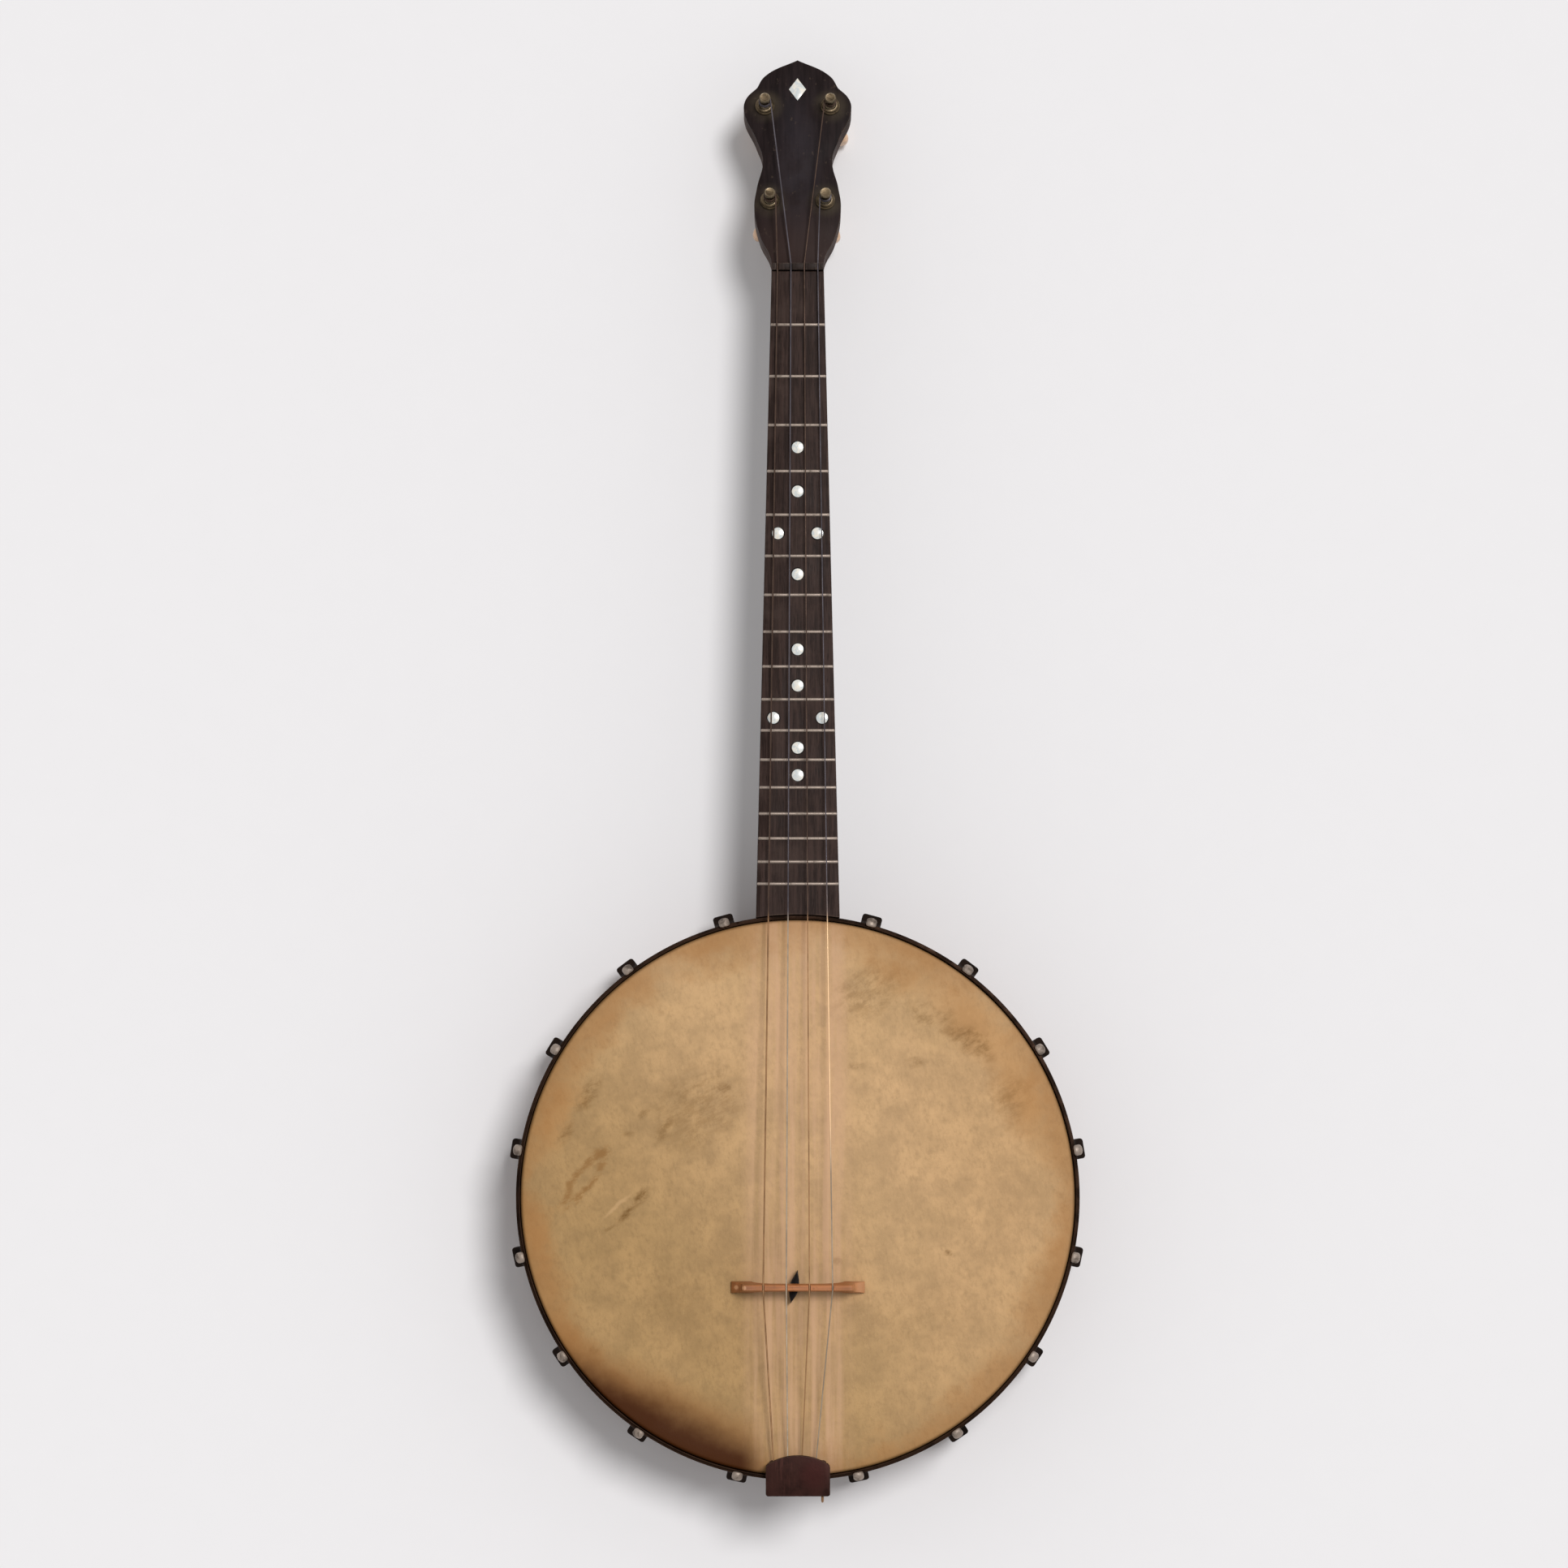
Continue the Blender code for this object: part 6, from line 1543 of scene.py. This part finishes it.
def build_pegs(banjo):
    gap, sizes = banjo.pot.gap, banjo.pegs
    parts = (("post", peg_metal(banjo)), ("button", peg_button(sizes)))
    wide, bore, top = sizes.ferrule, sizes.shaft + gap, gap + sizes.ferrule_height
    ferrule_profile = [
        (wide - 0.0016, top), (wide - 0.0008, top - 0.0004), (wide - 0.0006, top - 0.0014),
        (wide, top - 0.0017), (wide, gap), (bore, gap), (bore, top)
    ]
    for name, (body, across, along, turn) in PEGS.items():
        at = POT @ banjo.face_plane @ shift(across, along)
        for part, model in parts:
            shape = moved(model.copy(), rotation("Z", turn))
            shown(f"peg_{part}_{name}", shape, part, f"peg_{name}", body, at)
        ferrule = eased(turned(ferrule_profile, 40), 0.0001, 1, over=radians(35))
        shown(f"ferrule_{name}", ferrule, "post", f"peg_collar_{name}", at=at)


# Bridge and wedge


def build_bridge(banjo):
    pot, sizes = banjo.pot, banjo.bridge
    half, half_top, foot_end = sizes.length / 2, sizes.top_length / 2, sizes.length / 2 - sizes.foot
    edge, bottom = 0.001, pot.skin_top + pot.gap
    right_half = [
        (half_top - edge, sizes.height, True),
        (half_top, sizes.height - edge, True),
        (half_top + edge / 2, sizes.arch, False),
        (half - edge, 3 * edge, False),
        (half, edge, True),
        (half, 0, True),
        (foot_end, 0, True),
        (foot_end - edge, 3 * edge, False),
        (foot_end - 7 * edge, sizes.arch - edge, False),
        (foot_end / 3, sizes.arch, False),
    ]
    thickness = sizes.foot_thickness
    bridge = thickened(flat_outline(right_half, 10), -thickness / 2, thickness / 2)
    eased(bridge, 0.0005, 3, over=radians(60))
    moved(bridge, rotation("X", pi / 2))
    for vertex in bridge.verts:
        share = vertex.co.z / sizes.height
        vertex.co.y *= 1 + (sizes.top_thickness / thickness - 1) * share
    moved(bridge, shift(0, banjo.bridge_y, bottom))
    slots = [
        block(
            (2 * (radius + pot.gap), 2 * thickness, 2 * sizes.slot),
            (side * banjo.strings.at_bridge, banjo.bridge_y, banjo.bridge_top),
        )
        for side, radius in zip(STRING_SIDES, STRING_RADII)
    ]
    shown("bridge_wood", cut(bridge, *slots), "maple", "bridge")
    leaf = [
        (0, sizes.wedge_length / 2, True),
        (sizes.wedge_width / 2, -0.05 * sizes.wedge_length, False),
        (0, -sizes.wedge_length / 2, True),
    ]
    height = sizes.arch - 2 * pot.gap
    wedge = thickened(flat_outline(leaf, 14), 0, height)
    eased(wedge, 0.0006, 3, over=radians(60), where=above(height / 2))
    moved(wedge, shift(-0.0018, banjo.bridge_y + 0.0004, bottom) @ rotation("Z", sizes.wedge_turn))
    shown("wedge", wedge, "ebony", "mute_wedge")


# Tailpiece


def bent_strip(path, width, bend):
    """An open strip across X that follows (y, z) points, with rounded bends."""
    shape = bmesh.new()
    edge = shape.edges.new([shape.verts.new((side * width / 2, *path[0])) for side in (-1, 1)])
    bends = []
    for (y, z), (next_y, next_z) in zip(path, path[1:]):
        made = bmesh.ops.extrude_edge_only(shape, edges=[edge])["geom"]
        vertices = [item for item in made if isinstance(item, BMVert)]
        bmesh.ops.translate(shape, vec=(0, next_y - y, next_z - z), verts=vertices)
        edges = [item for item in made if isinstance(item, BMEdge)]
        edge = next(item for item in edges if all(vertex in vertices for vertex in item.verts))
        bends.append(edge)
    return rounded(shape, bends[:-1], bend, 4)


def hanger_shape(banjo):
    """The sheet that goes from the plate over the hoop and down the rim to the tail bolt."""
    pot, sizes = banjo.pot, banjo.tail
    sheet, top, out = sizes.sheet, banjo.plate_top, banjo.hanger_y
    on_rim, foot = -(pot.radius + pot.gap) - sheet, top - sizes.hanger_length
    path = [
        (out + 3 * sheet, top), (out, top), (out, pot.flesh_bottom - sheet),
        (on_rim, pot.flesh_bottom - 5 * sheet), (on_rim, foot)
    ]
    strip = loose_object(bent_strip(path, sizes.hanger_width, 0.0012))
    modifier = strip.modifiers.new("thickness", "SOLIDIFY")
    modifier.thickness = sheet
    modifier.offset = 1
    modifier.use_even_offset = True
    hanger = outward(shape_of(strip))
    at_foot = below(foot + 10 * WELD)
    eased(
        hanger, 0.003, 5,
        where=lambda e: at_foot(e) and abs(e.verts[0].co.y - e.verts[1].co.y) > sheet / 2
    )
    hole = rod(sizes.bolt + pot.gap, 2 * pot.wall, (0, -pot.radius, banjo.stick.height), "Y")
    return cut(eased(hanger, 0.0003, 2), hole)


def hinge_bore(sizes, gap, length, middle):
    return rod(sizes.pin + gap, 2 * length, middle, "X", 28)


def build_tailpiece(banjo):
    pot, sizes, hinge = banjo.pot, banjo.tail, banjo.hinge
    sheet, plate_top = sizes.sheet, banjo.plate_top
    plate_middle = plate_top - sheet + sheet / 2
    plate = block(
        (sizes.width, sizes.length, sheet), (0, banjo.hanger_y + sizes.length / 2, plate_middle)
    )
    eased(plate, 0.0016, 4, where=climbing(sheet / 2))
    eased(plate, 0.00035, 2)
    post, head, bottom = sizes.post, plate_top + sizes.post_height, plate_top - sheet / 2
    post_profile = [
        (0, head), (0.9 * post, head), (1.25 * post, head - 0.0003), (1.25 * post, head - 0.0007),
        (post, head - 0.0011), (post, bottom), (0, bottom)
    ]
    places = [shift(side * banjo.strings.at_tail, banjo.post_y) for side in STRING_SIDES]
    parts = [plate, hanger_shape(banjo), copied(turned(post_profile, 20), places)]
    ear_x = sizes.barrel / 2 + pot.gap + sizes.ear / 2
    web_front = banjo.hanger_y + sheet
    web_form = (sizes.ear, web_front - hinge.y, sheet)
    for x in (-ear_x, ear_x):
        middle = (x, hinge.y, hinge.z)
        parts.append(sleeve(sizes.knuckle, sizes.pin + pot.gap, sizes.ear, middle, "X"))
        web = block(web_form, (x, (web_front + hinge.y) / 2, plate_middle), 0.0002)
        parts.append(cut(web, hinge_bore(sizes, pot.gap, sizes.ear, middle)))
    shown("tail_plate", gathered(*parts), "tail", "tailpiece_base")

    length = sizes.barrel + 2 * (sizes.ear + pot.gap) + 0.0002
    pin = [rod(sizes.pin, length, hinge, "X", 20, 0.0002)]
    for x in (-length / 2, length / 2):
        pin.append(rod(1.5 * sizes.pin, 0.0004, (x, hinge.y, hinge.z), "X", 20, 0.00015))
    shown("hinge_pin", gathered(*pin), "hook", "tailpiece_hinge_pin")

    z = banjo.stick.height
    tip = -banjo.inside_rim(banjo.stick.tail_width / 2) + sizes.bolt_reach
    head = -(pot.radius + pot.gap) - sheet - pot.gap - sizes.bolt_head_height / 2
    bolt = gathered(
        rod(sizes.bolt, tip - head, (0, (tip + head) / 2, z), "Y"),
        hexagon(sizes.bolt_head, sizes.bolt_head_height, (0, head, z), "Y"),
    )
    shown("tail_bolt", bolt, "hook", "tailpiece_bolt")


def cover_form(banjo, inset, bottom):
    """The cover's outer form in its hinge's space, or a smaller one inside it."""
    sizes = banjo.tail
    half = sizes.cover_width / 2
    dome_radius = (half**2 + sizes.cover_dome**2) / (2 * sizes.cover_dome)
    dome_middle = sizes.cover_reach - dome_radius
    back, top = -sizes.knuckle - banjo.pot.gap + inset, sizes.cover_top - inset
    half -= inset
    half_turn = asin(half / (dome_radius - inset))
    form = bmesh.new()
    start = form.verts.new((half, dome_middle + (dome_radius - inset) * cos(half_turn), 0))
    front = spun(form, [start], 2 * half_turn, 28, (0, dome_middle, 0))
    last = next(item for item in front if isinstance(item, BMVert))
    corners = [form.verts.new((x, back, 0)) for x in (-half, half)]
    for pair in ((last, corners[0]), corners, (corners[1], start)):
        form.edges.new(pair)
    bmesh.ops.edgeloop_fill(form, edges=form.edges[:])
    thickened(form, bottom, top)
    eased(form, 0.0016 - inset, 4, where=climbing(0.002))
    return eased(form, 0.0024 - inset, 6, where=above(top - 10 * WELD))


def build_cover(banjo):
    """The cover, in its hinge's space: pressed sheet, open below, with room for the strings."""
    pot, sizes, hinge = banjo.pot, banjo.tail, banjo.hinge
    wall, thickest = sizes.cover_wall, max(STRING_RADII)
    bottom = pot.hoop_top + sizes.rise + sizes.cover_rise - hinge.z
    climb = banjo.wire_at_bridge(thickest) - banjo.wire_at_tail
    slope = climb / (banjo.bridge_y - banjo.post_y)
    front = hinge.y + sizes.cover_reach - banjo.post_y
    front_z = banjo.wire_at_tail + slope * front + thickest + 0.001 - hinge.z
    deep = 2 * sizes.cover_top
    front_gap = block(
        (sizes.cover_width - 2 * wall - 0.0008, sizes.cover_reach, deep),
        (0, sizes.cover_reach, front_z - deep / 2),
    )
    back_length = 4 * sizes.knuckle
    back_gap = block(
        (2 * sizes.cover_width, back_length, deep),
        (0, sizes.knuckle - back_length / 2, sizes.knuckle + pot.gap - deep / 2),
    )
    shell = cover_form(banjo, 0, bottom)
    for tool in (cover_form(banjo, wall, bottom - wall), front_gap, back_gap):
        shell = cut(shell, tool)
    back, web_top, web_depth = -sizes.knuckle - pot.gap, 2 * sizes.knuckle, wall + pot.gap
    web = block((sizes.barrel, web_depth, web_top), (0, back + web_depth / 2, web_top / 2), 0.0002)
    web = cut(web, hinge_bore(sizes, pot.gap, sizes.barrel, (0, 0, 0)))
    barrel = sleeve(sizes.knuckle, sizes.pin + pot.gap, sizes.barrel, (0, 0, 0), "X")
    at = POT @ Matrix.Translation(hinge)
    # A stub of wire behind the cover: reach, height, slant and share of its radius
    stub = (
        (-0.0006, 0.0030, 0.0, 1.0), (0.0006, 0.0029, 0.2, 1.0), (0.0017, 0.0025, 0.5, 1.0),
        (0.0026, 0.0018, 0.9, 0.95), (0.0030, 0.0010, 1.3, 0.8), (0.0031, 0.0008, 1.4, 0.4)
    )
    stub_x, stub_radius = 0.0124, 0.0007
    wire = [
        shift(stub_x, back - reach, height) @ rotation("X", pi / 2 + slant)
        @ scaling(stub_radius * share, stub_radius * share)
        for reach, height, slant, share in stub
    ]
    shown("cover_wire", swept(wire, 14), "bronze", body="cover", at=at)
    cover = gathered(shell, barrel, web)
    shown("tail_cover", cover, "tail", "tailpiece_cover", "cover", at)


# Strings


def winding(banjo, across, along, start, radius):
    """The string from the nut to its post and round it, in the headstock's space."""
    sign = 1 if across > 0 else -1
    reach = banjo.pegs.post + banjo.pot.gap + radius
    middle = Vector((abs(across), along))
    entry = Vector((sign * start.x, start.y))
    offset = middle - entry
    heading = atan2(offset.y, offset.x) + asin(reach / offset.length)
    length = (offset.length_squared - reach**2) ** 0.5
    touch = entry + length * Vector((cos(heading), sin(heading)))
    first = atan2(touch.y - middle.y, touch.x - middle.x)
    per_turn = 24
    points = []
    for share in (step / per_turn for step in range(round(2.5 * per_turn) + 1)):
        turn = first - tau * share
        x, y = middle.x + reach * cos(turn), middle.y + reach * sin(turn)
        points.append(
            Vector((sign * x, y, banjo.strings.winding_top - banjo.strings.winding_pitch * share))
        )
    return points


def tube(points, radius):
    """A closed tube through points."""
    curve = bpy.data.curves.new("string", "CURVE")
    curve.dimensions = "3D"
    curve.bevel_depth = radius
    curve.bevel_resolution = 3
    curve.use_fill_caps = True
    spline = curve.splines.new("POLY")
    spline.points.add(len(points) - 1)
    for point, where in zip(spline.points, points):
        point.co = (*where, 1)
    shape = shape_of(bpy.data.objects.new("string", curve))
    bmesh.ops.remove_doubles(shape, verts=shape.verts, dist=WELD / 10)
    return outward(shape)


def build_strings(banjo):
    face, spacing, neck = banjo.face_plane, banjo.strings, banjo.neck
    nut_z = banjo.board_top(banjo.nut_y) + neck.string_rise
    half_top = banjo.bridge.top_thickness / 2
    pegs = ("lower_left", "upper_left", "upper_right", "lower_right")
    finishes = ("bronze", "wound", "rusted", "steel")
    strings = zip(STRING_SIDES, STRING_RADII, pegs, finishes)
    for number, (side, radius, peg, finish) in enumerate(strings, 1):
        loop_radius = banjo.tail.post + banjo.pot.gap + radius
        loop = arc((side * spacing.at_tail, banjo.post_y), loop_radius, 450, 180, 20)
        bridge_x, bridge_z = side * spacing.at_bridge, banjo.wire_at_bridge(radius)
        after_nut = Vector((side * spacing.at_nut, banjo.nut_y + neck.nut_thickness, nut_z - 0.0002))
        _, across, along, _ = PEGS[peg]
        wound = winding(banjo, across, along, face.inverted() @ after_nut, radius)
        points = [
            *[(x, y, banjo.wire_at_tail) for x, y in loop],
            *[(bridge_x, banjo.bridge_y + end * half_top, bridge_z) for end in (-1, 1)],
            (side * spacing.at_nut, banjo.nut_y, nut_z),
            after_nut,
            *[face @ point for point in wound],
        ]
        shown(f"wire_{number}", tube(points, radius), finish, f"string_{number}")


# Stage


def build_stage(banjo):
    scene = bpy.context.scene
    scene.view_settings.view_transform = "Standard"
    floor_shape = bmesh.new()
    bmesh.ops.create_circle(floor_shape, cap_ends=True, segments=96, radius=6.0)
    floor = loose_object(moved(floor_shape, shift(z=-0.0002)), "floor")
    scene.collection.objects.link(floor)
    floor.data.materials.append(floor_look(banjo.colours.floor))

    world = bpy.data.worlds.new("studio")
    scene.world = world
    world.use_nodes = True
    nodes, links = world.node_tree.nodes, world.node_tree.links
    background = nodes["Background"]
    background.inputs["Color"].default_value = (1.0, 1.0, 1.0, 1.0)
    background.inputs["Strength"].default_value = 0.46
    backdrop = nodes.new("ShaderNodeBackground")
    backdrop.inputs["Color"].default_value = (*banjo.colours.floor, 1.0)
    ray = nodes.new("ShaderNodeLightPath")
    choice = nodes.new("ShaderNodeMixShader")
    wires = (ray.outputs["Is Camera Ray"], background.outputs[0], backdrop.outputs[0])
    for wire, socket in zip(wires, choice.inputs):
        links.new(wire, socket)
    links.new(choice.outputs[0], nodes["World Output"].inputs["Surface"])

    sun_data = bpy.data.lights.new("sun", "SUN")
    sun_data.energy = 1.93
    sun_data.angle = radians(17)
    sun = bpy.data.objects.new("sun", sun_data)
    sun.rotation_euler = Vector((0.27, 0.26, 1.0)).to_track_quat("Z", "Y").to_euler()
    sun.location = (0.5, 0.6, 2.0)
    scene.collection.objects.link(sun)

    camera_data = bpy.data.cameras.new("camera")
    camera_data.lens = 132.33
    camera_data.sensor_width = 36.0
    camera_data.clip_start = 0.05
    camera = bpy.data.objects.new("camera", camera_data)
    camera.location = (-0.0070, -0.18, 3.0)
    camera.rotation_euler = (radians(3.339), 0, 0)
    scene.collection.objects.link(camera)
    scene.camera = camera


# Operators


class BANJO_OT_stage(Operator):
    """Make the floor, the sun and the camera"""

    bl_idname = "banjo.stage"
    bl_label = "Stage"

    def execute(self, context):
        build_stage(context.scene.banjo)
        return {"FINISHED"}


class BANJO_OT_rim(Operator):
    """Make the wooden rim and the brass tone ring on it"""

    bl_idname = "banjo.rim"
    bl_label = "Rim"

    def execute(self, context):
        build_rim(context.scene.banjo)
        build_tone_ring(context.scene.banjo)
        return {"FINISHED"}


class BANJO_OT_head(Operator):
    """Make the skin and the tension hoop round it"""

    bl_idname = "banjo.head"
    bl_label = "Head"

    def execute(self, context):
        build_skin(context.scene.banjo)
        build_hoop(context.scene.banjo)
        return {"FINISHED"}


class BANJO_OT_brackets(Operator):
    """Make the hooks and the shoes round the pot"""

    bl_idname = "banjo.brackets"
    bl_label = "Brackets"

    def execute(self, context):
        build_brackets(context.scene.banjo)
        return {"FINISHED"}


class BANJO_OT_stick(Operator):
    """Make the dowel stick and the neck brace on it"""

    bl_idname = "banjo.stick"
    bl_label = "Dowel stick"

    def execute(self, context):
        build_stick(context.scene.banjo)
        return {"FINISHED"}


class BANJO_OT_neck(Operator):
    """Make the neck, the headstock's face and its lozenge"""

    bl_idname = "banjo.neck"
    bl_label = "Neck"

    def execute(self, context):
        build_neck(context.scene.banjo)
        build_headstock_face(context.scene.banjo)
        return {"FINISHED"}


class BANJO_OT_fingerboard(Operator):
    """Make the fingerboard, its frets and dots, and the nut"""

    bl_idname = "banjo.fingerboard"
    bl_label = "Fingerboard"

    def execute(self, context):
        build_board(context.scene.banjo)
        build_nut(context.scene.banjo)
        return {"FINISHED"}


class BANJO_OT_pegs(Operator):
    """Make the four pegs with their buttons and ferrules"""

    bl_idname = "banjo.pegs"
    bl_label = "Pegs"

    def execute(self, context):
        build_pegs(context.scene.banjo)
        return {"FINISHED"}


class BANJO_OT_bridge(Operator):
    """Make the bridge and the wedge across it"""

    bl_idname = "banjo.bridge"
    bl_label = "Bridge"

    def execute(self, context):
        build_bridge(context.scene.banjo)
        return {"FINISHED"}


class BANJO_OT_tailpiece(Operator):
    """Make the tailpiece's plate, its hinged cover, the pin and the bolt"""

    bl_idname = "banjo.tailpiece"
    bl_label = "Tailpiece"

    def execute(self, context):
        build_tailpiece(context.scene.banjo)
        build_cover(context.scene.banjo)
        return {"FINISHED"}


class BANJO_OT_strings(Operator):
    """Make the four strings"""

    bl_idname = "banjo.strings"
    bl_label = "Strings"

    def execute(self, context):
        build_strings(context.scene.banjo)
        return {"FINISHED"}


OPERATORS = (
    BANJO_OT_stage, BANJO_OT_rim, BANJO_OT_head, BANJO_OT_brackets, BANJO_OT_stick, BANJO_OT_neck,
    BANJO_OT_fingerboard, BANJO_OT_pegs, BANJO_OT_bridge, BANJO_OT_tailpiece, BANJO_OT_strings
)


class BANJO_PT_pieces(Panel):
    """Lists the banjo's pieces"""

    bl_idname = "BANJO_PT_pieces"
    bl_label = "Tenor banjo"
    bl_space_type = "VIEW_3D"
    bl_region_type = "UI"
    bl_category = "Banjo"

    def draw(self, context):
        for operator in OPERATORS:
            self.layout.operator(operator.bl_idname)


CLASSES = (
    PotSizes, BracketSizes, StickSizes, NeckSizes, PegSizes, BridgeSizes, StringSizes, TailSizes,
    Colours, Banjo, *OPERATORS, BANJO_PT_pieces
)


def register():
    for cls in CLASSES:
        bpy.utils.register_class(cls)
    bpy.types.Scene.banjo = PointerProperty(type=Banjo)


def unregister():
    del bpy.types.Scene.banjo
    for cls in reversed(CLASSES):
        bpy.utils.unregister_class(cls)


def main():
    register()
    for operator in OPERATORS:
        group, name = operator.bl_idname.split(".")
        getattr(getattr(bpy.ops, group), name)()


if __name__ == "__main__":
    main()
